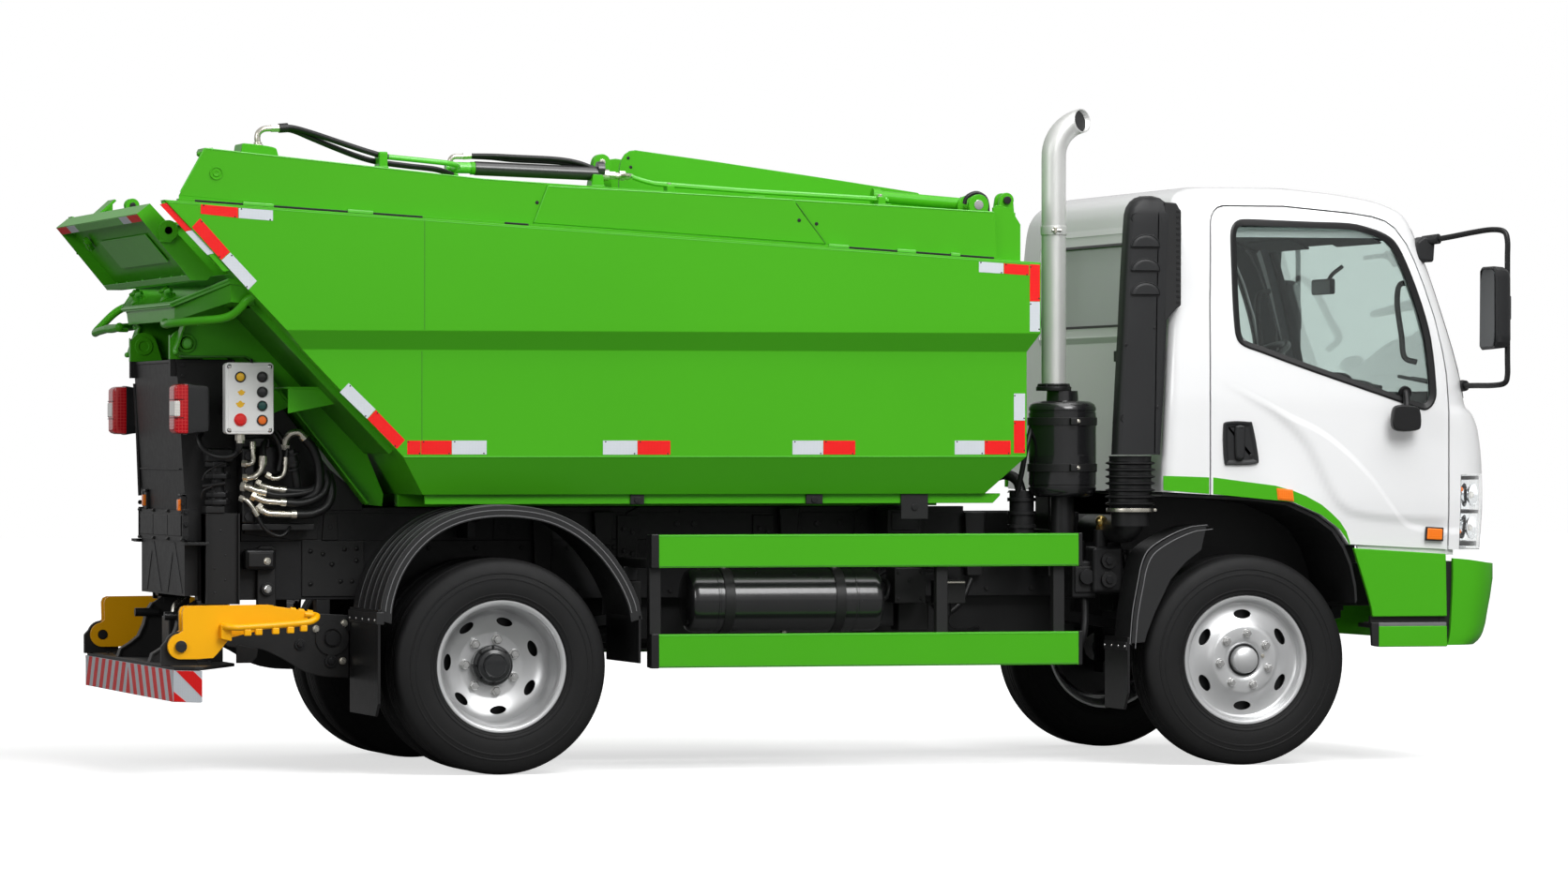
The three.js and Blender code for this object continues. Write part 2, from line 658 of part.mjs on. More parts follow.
// Seats, engine cover and dashboard.
function cabInterior() {
  const base = box(2640, 3100, -850, 850, 1060 + GAP, 1110);
  const seats = [[-840, -340], [-300, 240], [300, 840]].map(([y0, y1]) => {
    const cushion = box(2680, 3150, y0, y1, 1109, 1240);
    const rake = [[2640, 1180], [2600, 1760], [2680, 1770], [2760, 1240], [2760, 1180]];
    const back = slab(rake, y0 + 10, y1 - 10);
    const middle = (y0 + y1) / 2;
    const pad = [[2606, 1740], [2600, 1900], [2670, 1900], [2680, 1740]];
    const rest = slab(pad, middle - 120, middle + 120);
    return join(cushion, back, rest);
  });
  const cover = slab([[3090, 1062], [3090, 1200], [3380, 1200], [3380, 1000], [3200, 1000]], -170, 170);
  const dash = slab([[3370, 1130], [3330, 1290], [3420, 1392], [3560, 1380], [3720, 1335], [3800, 1300],
    [3800, 1130]], -900, 900);
  const shroud = rod(columnPoint(70), columnPoint(330), 42, 10);
  const trimmed = join(dash, shroud).intersect(cabBody(CAB_WALL + 12));
  return join(base, ...seats, cut(cover, slab(grown(FLOOR, 1), -1200, 1200)), trimmed);
}

function steeringWheel() {
  const section = Array.from({ length: 6 }, (_, i) => {
    const angle = (Math.PI / 3) * i;
    return new THREE.Vector2(205 + 14 * Math.cos(angle), 14 * Math.sin(angle));
  });
  const ring = solid(new THREE.LatheGeometry([...section, section[0].clone()], 20));
  const hub = solid(new THREE.CylinderGeometry(48, 56, 36, 12));
  const spokes = [90, 210, 330].map((degrees) => {
    const angle = THREE.MathUtils.degToRad(degrees);
    return rod([0, 0, 0], [200 * Math.cos(angle), 0, 200 * Math.sin(angle)], 11, 6);
  });
  const column = rod([0, -10, 0], [0, -64, 0], 24, 10);
  return join(ring, hub, column, ...spokes).rotate([90, 0, 0]).rotate([0, -COLUMN_TILT, 0]);
}

// The air intake behind the cab's rear corner.
function snorkel() {
  const side = [[2318, 1154], [2366, 2050], [2392, 2092], [2530, 2092], [2552, 2060], [2496, 1154]];
  const lip = [[2500, 1660], [2500, 2085], [2552, 2085], [2572, 2060], [2572, 1690], [2552, 1660]];
  const main = slab(side, -CAB_HALF, -895);
  const trim = slab(lip, -CAB_HALF, -962);
  const bracket = box(2400, 2520, -896, -700, 1500, 1540);
  const tail = box(2480, 2531 - GAP, -730, -700, 1500, 1540);
  const slope = [[2490, 1100], [2600, 1100], [2600, 2200], [2556, 2085], [2496, 1105]];
  return join(cut(join(main, bracket, tail), slab(slope, -961, -700)), trim);
}

// A mirror on a bent arm that reaches out from the windscreen pillar.
function mirror() {
  const points = [[3575, -880, 1955], [3790, -1150, 1990], [3790, -1150, 1412], [3700, -850, 1412]];
  const arm = tube(bentPath(points, 50), 12, { sides: 6, steps: 14 });
  const foot = box(3524, 3602, -905, -800, 1876, 1970);
  const head = box(3708, 3785, -1245, -1060, 1538, 1858);
  const clamp = box(3775, 3803, -1165, -1135, 1660, 1740);
  return cut(join(arm, foot, head, clamp), cabBody(-2));
}

// ---------------------------------------------------------------- tub

// Level sections of the tub: it narrows below a crease and again towards the floor.
const TUB_LEVELS = [
  // rear z, front z, half width, rear x, front x
  [1010, 1010, TUB_FLOOR, -275, 1842],
  [1148, 1148, TUB_WAIST, -366, 1978],
  [1532, 1532, TUB_WAIST, -735, 1978],
  [1600, 1600, TUB_HALF, -800, 2018],
  [2061, 1860, TUB_HALF, -1242, 2018],
];

function tubBody(inset, lift) {
  const rings = TUB_LEVELS.map(([rearZ, frontZ, half, rear, front], i) => {
    const up = i === 0 ? inset : lift * (i === TUB_LEVELS.length - 1);
    const [x0, x1, y] = [rear + inset * 1.4, front - inset, half - inset];
    return [[x0, -y, rearZ + up], [x1, -y, frontZ + up], [x1, y, frontZ + up], [x0, y, rearZ + up]];
  });
  return loft(rings);
}

function tubShell() {
  const shell = cut(tubBody(0, 0), tubBody(TUB_SHEET, 2));
  const skid = slab([[-270, SKID_LOW], [-270, 1014], [1790, 1014], [1790, SKID_LOW]], -440, -380);
  const opening = [[-1400, 1800], [-900, 1800], [-1000, 1900], [-1100, 2100], [-1400, 2100]];
  const mouth = slab(opening, -930, 930);
  const roof = [[1850, topEdge(1850) - TUB_SHEET], [2016, topEdge(2016) - TUB_SHEET],
    [2016, topEdge(2016)], [1850, topEdge(1850)]];
  return join(cut(shell, mouth), slab(roof, -TUB_HALF + 2, TUB_HALF - 2), bothSides(skid));
}

// The cover of the tub, with its lapped side plates. It is open behind, all the way to the left.
const COVER_TOP = [[-1181, 2078], [-1089, 2248], [-70, 2148], [1082, 2084], [1851, 2046], [1861, 1925]];

// Height of the tub's top edge at a distance along the truck.
function topEdge(x) {
  const [rearZ, frontZ, , rear, front] = TUB_LEVELS.at(-1);
  return THREE.MathUtils.mapLinear(x, rear, front, rearZ, frontZ);
}

function coverShell() {
  const half = 975;
  const bottom = [[1861, topEdge(1861) + 2], [-1181, topEdge(-1181) + 2]];
  const outline = [...COVER_TOP.slice(0, 5), ...bottom];
  const hollow = [[-1400, 1900], [-1400, 2400], [-1060, 2215], [-70, 2140], [1082, 2076], [1843, 2038],
    [1843, topEdge(1843) - 20]];
  const shell = cut(slab(outline, -half, half), slab(hollow, -half + 8, half - 8));
  const opening = [[-1300, -850], [-1060, -850], [-930, -540], [-560, -540], [-560, 1010], [-1300, 1010]];
  const mouth = plate(opening, 1900, 2400);
  const lap = slab([[163, 2128], [1082, 2086], [1207, 1920], [111, 1986]], -half - 6, -half + 1);
  const ends = [-1190, 1866];
  const edge = (lift) => ends.map((x) => [x, topEdge(x) + lift]);
  const seam = [...edge(GAP), ...edge(8).toReversed()];
  const flange = slab(seam, -1004, -half + 4);
  const tongue = [[1850, 2062], [1916, 2062], [1955, 2000], [1955, topEdge(1955) + GAP],
    [1850, topEdge(1850) + GAP]];
  return join(cut(shell, mouth), bothSides(join(lap, flange, slab(tongue, -960, -945))));
}

// The packing ram on the cover, with its fin, links and pipes.
function packingRam() {
  const y = -300;
  const fin = slab([[630, 2180], [649, 2264], [692, 2293], [1830, 2110], [1830, 2062], [640, 2126]], -8, 8);
  const foot = box(600, 1700, -330, 8, 2062, 2140);
  const trimmed = cut(foot, slab([[590, 2136], [1710, 2076], [1710, 2200], [590, 2200]], -400, 100));
  const barrel = rod([-20, y, 2196], [540, y, 2198], 36, 12);
  const rodEnd = rod([530, y, 2198], [660, y, 2196], 18, 10);
  const rear = box(-60, -10, y - 40, y + 40, 2150, 2220);
  const lug = box(620, 680, y - 25, y + 25, 2110, 2215);
  const brace = rod([1500, y, 2125], [1860, y, 2095], 26, 8);
  return { y, trimmed, fin, barrel, rodEnd, rear, lug, brace };
}

function coverFittings() {
  const { trimmed, fin, barrel, rodEnd, rear, lug, brace } = packingRam();
  const ground = (x) => THREE.MathUtils.mapLinear(x, -70, 1082, 2148, 2084);
  const under = [[-70, ground(-70) + GAP], [1850, 2046 + GAP], [1850, 2062], [1082, 2100], [-70, 2164]];
  const seat = slab(under, -340, -260);
  const cross = box(1480, 1540, -330, 10, 2060, 2130);
  return join(seat, fin, barrel, rodEnd, rear, lug, brace, cut(join(trimmed, cross), belowCover()));
}

function belowCover() {
  const top = COVER_TOP.slice(1, 5).map(([x, z]) => [x, z + GAP]);
  return slab([[-1100, 1900], [-1100, 2249], ...top, [1900, 2046], [1900, 1900]], -1200, 1200);
}

// The green frame behind the tub: two cheek plates on the pins, their beams, guards and chute lip.
function pivotFrame() {
  const [px, pz] = TIP_PIN;
  const cheek = [[-1110, 1692], [-1070, 1631], [-1104, 1535], [-1085, 1511], [-842, 1511],
    [-797, 1479], [-396, 972], [-335, SKID_LOW], [-330, 1010], [-392, 1160], [-905, 1695]];
  const chute = [[-1121, 1660], [-1121, 1709], [-994, 1784], [-880, 1784], [-880, 1690], [-1090, 1650]];
  const half = [[-1121, -500], [-994, -950], [-880, -950]];
  const plan = plate([...half, ...half.toReversed().map(([x, y]) => [x, -y])], 1600, 1800);
  const shelf = slab([[-743, 1396], [-515, 1396], [-560, 1340], [-743, 1304]], -760, -470);
  const hole = rod([px, -420, pz], [px, -500, pz], 22, 12);
  const run = [[-900, -960, 1722], [-985, -880, 1640], [-1160, -790, 1625], [-1165, -620, 1640],
    [-1085, -440, 1632]];
  const guard = tube(bentPath(run, 50), 16, { sides: 6, steps: 14 });
  const side = bothSides(cut(join(slab(cheek, -470, -440), shelf, guard), hole));
  const tubSpace = [[-1250, 2063], [-1244, 2061], [-367, 1148], [-277, 1010], [-275, SKID_LOW - 4],
    [600, 900], [600, 2400], [-1250, 2400]];
  return cut(join(side, slab(chute, -960, 960).intersect(plan)), slab(tubSpace, -1200, 1200));
}

// The rear flap: a recessed tray that leans along the tub's rear slope.
function tailgate() {
  const [px, pz] = TAILGATE_PIN;
  const half = TRAY_HALF;
  const body = slab([[-1265, 2052], [-1312, 2015], [-1116, 1779], [-1058, 1779], [-1034, 1806]], -half, half);
  const recess = [[-1318, 2034], [-1378, 1984], [-1108, 1764], [-1075, 1794], [-1268, 2016]];
  const rim = slab([[-1265, 2052], [-1312, 2015], [-1288, 1988], [-1242, 2024]], -half, half);
  const sill = slab([[-1116, 1779], [-1058, 1779], [-1053, 1794], [-1130, 1796]], -half, half);
  const lug = rod([px, -half - 18, pz], [px, -half + 2, pz], 36, 14);
  return join(cut(body, slab(recess, -half + 14, half - 14)), rim, sill, bothSides(lug));
}

// ---------------------------------------------------------------- folding arms

// A double-plate arm that lies forwards when stowed, with a bent grab handle outside it.
function liftArm() {
  const [px, pz] = ARM_PIN;
  const y = -ARM_Y;
  const outline = [...arc(ARM_PIN, 48, 200, 140, 3), [px - 4, pz + 130], [px + 20, pz + 145],
    [px + 320, pz + 145], [px + 470, pz + 128], [px + 500, pz + 98], [px + 190, pz + 42],
    [px + 120, pz - 38], [px + 60, pz - 48], ...arc(ARM_PIN, 48, 270, 215, 3)];
  const sides = [slab(outline, y - 40, y - 22), slab(outline, y + 22, y + 40)];
  const middle = [[px + 90, pz + 100], [px + 90, pz + 145], [px + 320, pz + 145], [px + 460, pz + 128],
    [px + 460, pz + 90]];
  const hole = rod([px, y - 60, pz], [px, y + 60, pz], 19, 12);
  const run = [[px + 200, y - 36, pz + 60], [px + 200, y - 90, pz + 60], [px + 500, y - 90, pz + 78],
    [px + 490, y - 30, pz + 100]];
  const handle = tube(bentPath(run, 25), 11, { sides: 6, steps: 10 });
  return cut(join(...sides, slab(middle, y - 23, y + 23), handle), hole);
}

// ---------------------------------------------------------------- wheels

function tyre() {
  const half = [[TYRE_RADIUS, 65], [382, 92], [350, 109], [285, TYRE_WIDTH / 2], [232, 80]];
  const loop = [...half.map(([r, y]) => [r, -y]).toReversed(), ...half, [232, -80]];
  return turned(loop, TYRE_SIDES);
}

// Oval hand holes through a disc.
function handHoles(body, count, radius, y0, y1) {
  const holes = Array.from({ length: count }, (_, i) => {
    const oval = rod([0, y0, 0], [0, y1, 0], 19, 6);
    return oval.scale([1.9, 1, 1]).translate([0, 0, radius]).rotate([0, (360 / count) * i, 0]);
  });
  return cut(body, ...holes);
}

function frontRim() {
  const profile = [[0, -112], [50, -104], [56, -78], [120, -78], [152, -58], [204, -50], [222, -96],
    [240, -100], [229.7, -84], [229.7, 84], [240, 100], [222, 94], [214, -36], [150, -42], [115, -60],
    [60, -60], [60, 20], [0, 20]];
  return handHoles(turned(profile.map(([r, y]) => [r * 0.99, y]), RIM_SIDES), 6, 172, -90, -20);
}

function rearRims() {
  const outer = [[0, -135], [54, -130], [54, -45], [112, -45], [208, -92], [216, -205], [240, -224],
    [229.7, -209], [229.7, -41], [240, -28], [218, -34], [214, -78], [116, -10]];
  const inner = outer.slice(3).toReversed().map(([r, y]) => [r, -y]);
  const profile = [...outer, ...inner, [60, 45], [60, 165], [0, 165]];
  return handHoles(turned(profile.map(([r, y]) => [r * 0.99, y]), RIM_SIDES), 7, 168, -110, 110);
}

// ---------------------------------------------------------------- assembly

const chassis = group(truck);
put(chassis, "chassis_frame", chassisFrame(), "black");
put(chassis, "tipping_subframe", tippingSubframe(), "black");
put(chassis, "rear_pedestal", rearPedestal(), "black");
put(chassis, "rear_bumper", rearBumper(), "black");
put(chassis, "control_box", controlBox(), "grey");
putPair([chassis, chassis], "tail_lamp", tailLamp(), "red");
put(chassis, "hydraulic_valves", hydraulicValves(), "black");
put(chassis, "hydraulic_hoses", hydraulicHoses(), "rubber");
put(chassis, "rear_axle", rearAxle(), "black");
put(chassis, "front_axle", frontAxle(), "black");
put(chassis, "powertrain", powertrain(), "black");
put(chassis, "air_tank", airTank(), "black");
put(chassis, "fuel_tank", fuelTank(), "black");
putPair([chassis, chassis], "side_guard", sideGuard(), "green");
put(chassis, "rear_mudguard_right", rearMudguard(216), "plastic");
put(chassis, "rear_mudguard_left", mirrored(rearMudguard(370)), "plastic");
put(chassis, "front_mudguard_right", frontMudguard(211), "plastic");
put(chassis, "front_mudguard_left", mirrored(frontMudguard(370)), "plastic");
put(chassis, "exhaust_silencer", exhaustSilencer(), "black");
put(chassis, "exhaust_stack", exhaustStack(), "steel");
put(chassis, "intake_duct", intakeDuct(), "rubber");
put(chassis, "front_bumper", frontBumper(), "green");

const knuckles = [group(chassis), group(chassis)];
putPair(knuckles, "steering_knuckle", steeringKnuckle(), "black");
const frontWheels = knuckles.map(group);
putPair(frontWheels, "front_tyre", tyre(), "rubber", [WHEELBASE, FRONT_WHEEL_Y, AXLE_Z]);
putPair(frontWheels, "front_rim", frontRim(), "steel", [WHEELBASE, FRONT_WHEEL_Y, AXLE_Z]);
const rearWheels = [group(chassis), group(chassis)];
putPair(rearWheels, "rear_outer_tyre", tyre(), "rubber", [0, TWIN_Y + TWIN_SPREAD, AXLE_Z]);
putPair(rearWheels, "rear_inner_tyre", tyre(), "rubber", [0, TWIN_Y - TWIN_SPREAD, AXLE_Z]);
putPair(rearWheels, "rear_rims", rearRims(), "steel", [0, TWIN_Y, AXLE_Z]);
putPair([group(chassis), group(chassis)], "lift_arm", liftArm(), "yellow");

const cab = group(chassis);
put(cab, "cab_shell", cabShell(), "white");
put(cab, "windscreen", pane(beam(grown(WINDSCREEN, -1), 3380, 3900)), "glass");
put(cab, "rear_window", pane(beam(grown(REAR_WINDOW, -1), 2400, 2700)), "glass");
put(cab, "cab_interior", cabInterior(), "trim");
put(group(cab), "steering_wheel", steeringWheel(), "plastic", WHEEL_HUB);
putPair([cab, cab], "headlight", headlight(), "lamp");
put(cab, "snorkel", snorkel(), "plastic");
putPair([cab, cab], "mirror", mirror(), "plastic");
const doors = [group(cab), group(cab)];
putPair(doors, "door", cabDoor(), "white");
putPair(doors, "door_glass", pane(doorSide(grown(DOOR_WINDOW, -1))), "glass");

const tub = group(chassis);
put(tub, "tub_shell", tubShell(), "green");
put(tub, "tub_cover", coverShell(), "green");
put(tub, "cover_fittings", coverFittings(), "green");
put(tub, "pivot_frame", pivotFrame(), "green");
put(group(tub), "tailgate", tailgate(), "green");

const extent = new THREE.Box3().setFromObject(truck);
truck.position.x = -(extent.min.x + extent.max.x) / 2;

export default truck;
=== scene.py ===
import math

import bmesh
import bpy
from bpy.props import FloatProperty, FloatVectorProperty, IntProperty, PointerProperty
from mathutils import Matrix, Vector


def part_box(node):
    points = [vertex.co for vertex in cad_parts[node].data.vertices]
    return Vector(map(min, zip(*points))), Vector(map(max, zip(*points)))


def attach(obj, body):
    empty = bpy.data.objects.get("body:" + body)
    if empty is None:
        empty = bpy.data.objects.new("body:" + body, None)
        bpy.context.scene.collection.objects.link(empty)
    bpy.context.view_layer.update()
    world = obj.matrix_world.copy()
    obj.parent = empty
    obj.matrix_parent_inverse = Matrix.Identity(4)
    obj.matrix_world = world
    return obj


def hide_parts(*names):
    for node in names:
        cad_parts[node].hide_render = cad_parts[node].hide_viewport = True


bl_info = {
    "name": "High-tipping refuse truck",
    "version": (1, 0, 0),
    "blender": (4, 5, 0),
    "location": "View3D > Sidebar > Truck",
    "description": "Dresses the truck's packed frame with panels, wheels, hoses, lamps and paint",
    "category": "Object",
}

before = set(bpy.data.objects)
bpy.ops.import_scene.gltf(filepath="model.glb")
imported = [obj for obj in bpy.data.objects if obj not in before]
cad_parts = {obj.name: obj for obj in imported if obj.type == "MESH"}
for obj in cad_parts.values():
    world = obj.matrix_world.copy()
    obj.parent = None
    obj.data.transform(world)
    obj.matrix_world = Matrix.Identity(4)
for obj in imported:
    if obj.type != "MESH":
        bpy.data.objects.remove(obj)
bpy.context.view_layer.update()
LOW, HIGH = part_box("rear_outer_tyre_right")
AXLE_X = (LOW.x + HIGH.x) / 2  # the rear axle, from which every length below is measured
TYRE_R = (HIGH.z - LOW.z) * 500  # millimetres
LOW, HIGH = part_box("front_tyre_right")
WHEELBASE = ((LOW.x + HIGH.x) / 2 - AXLE_X) * 1000
RIGHT, LEFT = -1, 1
SIDES = (("right", RIGHT), ("left", LEFT))
OUT, UP = Vector((0, 1, 0)), (0, 0, 1)
RAIL_OUT = 425  # the frame rails' outer face, in millimetres from the middle
TIP_PIN, FLAP_PIN, ARM_PIN = (-1060, 1559), (-1201, 1956), (-1150, 470)
STEERING_HUB, STEERING_TILT = Vector((3310, 480, 1492)), math.radians(28)


# ---------------------------------------------------------------- properties


def colour(name, description, default):
    """A linear RGB colour that a user can change."""
    return FloatVectorProperty(name=name, description=description, default=default,
                               subtype="COLOR", size=3, min=0.0, max=1.0)


def length(name, description, default):
    """A length in metres."""
    return FloatProperty(name=name, description=description, default=default,
                         unit="LENGTH", min=0.0, precision=4)


def count(name, description, default):
    """How many times something repeats."""
    return IntProperty(name=name, description=description, default=default, min=1)


class TruckColours(bpy.types.PropertyGroup):
    """Paint and plastic colours."""

    body: colour("Body", "Paint of the tub, guards and bumper", (0.064, 0.40, 0.010))
    cab: colour("Cab", "Paint of the cab and doors", (0.84, 0.845, 0.85))
    chassis: colour("Chassis", "Paint of the frame and pedestal", (0.011, 0.011, 0.012))
    arms: colour("Arms", "Paint of the folding arms", (0.98, 0.46, 0.0))
    tape_red: colour("Red tape", "Red reflective tape", (0.86, 0.006, 0.006))
    tape_white: colour("White tape", "White reflective tape", (0.62, 0.66, 0.70))
    rubber: colour("Rubber", "Tyres and hoses", (0.0095, 0.0095, 0.0098))
    wheel: colour("Wheel", "Silver of the disc wheels", (0.62, 0.625, 0.63))


class TruckSizes(bpy.types.PropertyGroup):
    """How often things repeat over the truck."""

    sipes: count("Sipes", "Shoulder grooves round a tyre", 96)
    wheel_nuts: count("Wheel nuts", "Nuts on each wheel", 7)
    hub_bolts: count("Hub bolts", "Bolts round a rear hub", 8)
    front_holes: count("Front holes", "Hand holes in a front wheel", 6)
    rear_holes: count("Rear holes", "Hand holes in a rear wheel", 7)
    louvres: count("Louvres", "Slats of the air intake", 17)
    stripes: count("Stripes", "Slanted stripes on each half of the rear bar", 7)


class StageSettings(bpy.types.PropertyGroup):
    """Camera and lights."""

    lens: FloatProperty(name="Lens", description="Focal length", default=161.5, unit="CAMERA")
    turn: FloatProperty(name="Turn", description="Camera's turn from square on",
                        default=math.radians(15.5), subtype="ANGLE")
    height: length("Camera height", "Camera above the floor", 1.2046)
    sky: FloatProperty(name="Sky", description="Strength of the surrounding light", default=0.33)
    key: FloatProperty(name="Key", description="Power of the overhead light", default=640.0,
                       unit="POWER")
    fill: FloatProperty(name="Fill", description="Power of the side light", default=1060.0,
                        unit="POWER")


# ---------------------------------------------------------------- shader node groups


def new_group(name, inputs, outputs):
    """An empty shader node group with the named sockets."""
    group = bpy.data.node_groups.new(name, "ShaderNodeTree")
    for kind, direction, sockets in (("in", "INPUT", inputs), ("out", "OUTPUT", outputs)):
        for label, socket_type, value in sockets:
            socket = group.interface.new_socket(label, in_out=direction, socket_type=socket_type)
            if value is not None and kind == "in":
                socket.default_value = value
    return group, group.nodes.new("NodeGroupInput"), group.nodes.new("NodeGroupOutput")


FLOAT, COLOUR = "NodeSocketFloat", "NodeSocketColor"


def maths(tree, operation, a, b=None):
    """A Math node; a and b are sockets or numbers."""
    node = tree.nodes.new("ShaderNodeMath")
    node.operation = operation
    for index, value in enumerate((a, b)):
        if isinstance(value, bpy.types.NodeSocket):
            tree.links.new(value, node.inputs[index])
        elif value is not None:
            node.inputs[index].default_value = value
    return node.outputs[0]


def remap(tree, value, low, high, to_low, to_high, smooth=False):
    """A Map Range node."""
    node = tree.nodes.new("ShaderNodeMapRange")
    if smooth:
        node.interpolation_type = "SMOOTHSTEP"
    tree.links.new(value, node.inputs["Value"])
    names = ("From Min", "From Max", "To Min", "To Max")
    for label, amount in zip(names, (low, high, to_low, to_high)):
        if isinstance(amount, bpy.types.NodeSocket):
            tree.links.new(amount, node.inputs[label])
        else:
            node.inputs[label].default_value = amount
    return node.outputs["Result"]


def blend(tree, factor, a, b, kind="MIX"):
    """A colour Mix node."""
    node = tree.nodes.new("ShaderNodeMix")
    node.data_type = "RGBA"
    node.blend_type = kind
    for socket, value in zip((node.inputs[0], node.inputs[6], node.inputs[7]), (factor, a, b)):
        if isinstance(value, bpy.types.NodeSocket):
            tree.links.new(value, socket)
        else:
            socket.default_value = value
    return node.outputs[2]


def noise(tree, scale, detail=2.0, roughness=0.5, stretch=(1, 1, 1)):
    """Noise over the piece's own coordinates."""
    where = tree.nodes.new("ShaderNodeTexCoord")
    place = tree.nodes.new("ShaderNodeMapping")
    place.inputs["Scale"].default_value = stretch
    node = tree.nodes.new("ShaderNodeTexNoise")
    tree.links.new(where.outputs["Object"], place.inputs["Vector"])
    tree.links.new(place.outputs[0], node.inputs["Vector"])
    if isinstance(scale, bpy.types.NodeSocket):
        tree.links.new(scale, node.inputs["Scale"])
    else:
        node.inputs["Scale"].default_value = scale
    node.inputs["Detail"].default_value = detail
    node.inputs["Roughness"].default_value = roughness
    return node.outputs[0]


def make_variation_group():
    """Slow changes of shade and gloss over a painted or moulded surface."""
    group, start, end = new_group(
        "shade_variation",
        [("Colour", COLOUR, (0.5, 0.5, 0.5, 1)), ("Shade change", FLOAT, 0.06),
         ("Scale", FLOAT, 3.0), ("Roughness", FLOAT, 0.4), ("Roughness change", FLOAT, 0.08)],
        [("Colour", COLOUR, None), ("Roughness", FLOAT, None)])
    broad = noise(group, start.outputs["Scale"], 3.0)
    fine = noise(group, 38.0, 4.0, 0.6)
    centred = maths(group, "SUBTRACT", broad, 0.5)
    shade = maths(group, "ADD", 1.0, maths(group, "MULTIPLY", centred,
                                           start.outputs["Shade change"]))
    tint = group.nodes.new("ShaderNodeCombineColor")
    for socket in tint.inputs[:3]:
        group.links.new(shade, socket)
    mixed = blend(group, 1.0, start.outputs["Colour"], tint.outputs[0], "MULTIPLY")
    gloss = maths(group, "MULTIPLY", maths(group, "SUBTRACT", fine, 0.5),
                  start.outputs["Roughness change"])
    group.links.new(mixed, end.inputs["Colour"])
    group.links.new(maths(group, "ADD", start.outputs["Roughness"], gloss), end.inputs["Roughness"])
    return group


def make_dust_group():
    """Road dust that settles on upward faces and low down, broken up by noise."""
    group, start, end = new_group(
        "settled_dust",
        [("Colour", COLOUR, (0.5, 0.5, 0.5, 1)), ("Dust colour", COLOUR, (0.16, 0.145, 0.12, 1)),
         ("Amount", FLOAT, 0.25), ("Low height", FLOAT, 0.9), ("Roughness", FLOAT, 0.4)],
        [("Colour", COLOUR, None), ("Roughness", FLOAT, None)])
    where = group.nodes.new("ShaderNodeTexCoord")
    split_place = group.nodes.new("ShaderNodeSeparateXYZ")
    split_normal = group.nodes.new("ShaderNodeSeparateXYZ")
    group.links.new(where.outputs["Object"], split_place.inputs[0])
    group.links.new(where.outputs["Normal"], split_normal.inputs[0])
    up = remap(group, split_normal.outputs["Z"], 0.35, 1.0, 0.0, 1.0, True)
    low = remap(group, split_place.outputs["Z"], 0.0, start.outputs["Low height"], 0.8, 0.0, True)
    cloud = remap(group, noise(group, 9.0, 5.0, 0.65), 0.38, 0.68, 0.25, 1.0, True)
    mask = maths(group, "MULTIPLY", maths(group, "MAXIMUM", up, low), cloud)
    mask = maths(group, "MULTIPLY", mask, start.outputs["Amount"])
    group.links.new(blend(group, mask, start.outputs["Colour"], start.outputs["Dust colour"]),
                    end.inputs["Colour"])
    rough = maths(group, "ADD", start.outputs["Roughness"], maths(group, "MULTIPLY", mask, 0.35))
    group.links.new(maths(group, "MINIMUM", rough, 1.0), end.inputs["Roughness"])
    return group


def make_grain_group():
    """Height of a fine grain: spray texture on paint, leather grain on plastic, cast pits."""
    group, start, end = new_group(
        "fine_grain", [("Scale", FLOAT, 300.0), ("Depth", FLOAT, 0.3), ("Waves", FLOAT, 0.3)],
        [("Height", FLOAT, None)])
    grain = noise(group, start.outputs["Scale"], 3.0, 0.6)
    waves = noise(group, 2.6, 1.0)
    total = maths(group, "ADD", maths(group, "MULTIPLY", grain, start.outputs["Depth"]),
                  maths(group, "MULTIPLY", waves, start.outputs["Waves"]))
    group.links.new(total, end.inputs["Height"])
    return group


def make_scratch_group():
    """Thin worn streaks, as a mask."""
    group, start, end = new_group(
        "worn_streaks", [("Scale", FLOAT, 14.0), ("Amount", FLOAT, 0.3)], [("Mask", FLOAT, None)])
    long_way = noise(group, start.outputs["Scale"], 6.0, 0.75, (0.25, 1, 2.2))
    mask = remap(group, long_way, 0.62, 0.72, 0.0, 1.0, True)
    group.links.new(maths(group, "MULTIPLY", mask, start.outputs["Amount"]), end.inputs["Mask"])
    return group


def make_cells_group():
    """The small sealed cells of reflective sheet and of lamp lenses, as a mask and a height."""
    group, start, end = new_group(
        "lens_cells", [("Cell size", FLOAT, 0.006)],
        [("Edge", FLOAT, None), ("Height", FLOAT, None)])
    where = group.nodes.new("ShaderNodeTexCoord")
    cells = group.nodes.new("ShaderNodeTexVoronoi")
    cells.feature = "DISTANCE_TO_EDGE"
    cells.inputs["Randomness"].default_value = 0.0
    group.links.new(where.outputs["Object"], cells.inputs["Vector"])
    group.links.new(maths(group, "DIVIDE", 1.0, start.outputs["Cell size"]), cells.inputs["Scale"])
    edge = remap(group, cells.outputs["Distance"], 0.03, 0.12, 0.0, 1.0, True)
    group.links.new(edge, end.inputs["Edge"])
    group.links.new(maths(group, "MINIMUM", cells.outputs["Distance"], 0.25), end.inputs["Height"])
    return group


GROUPS = {}


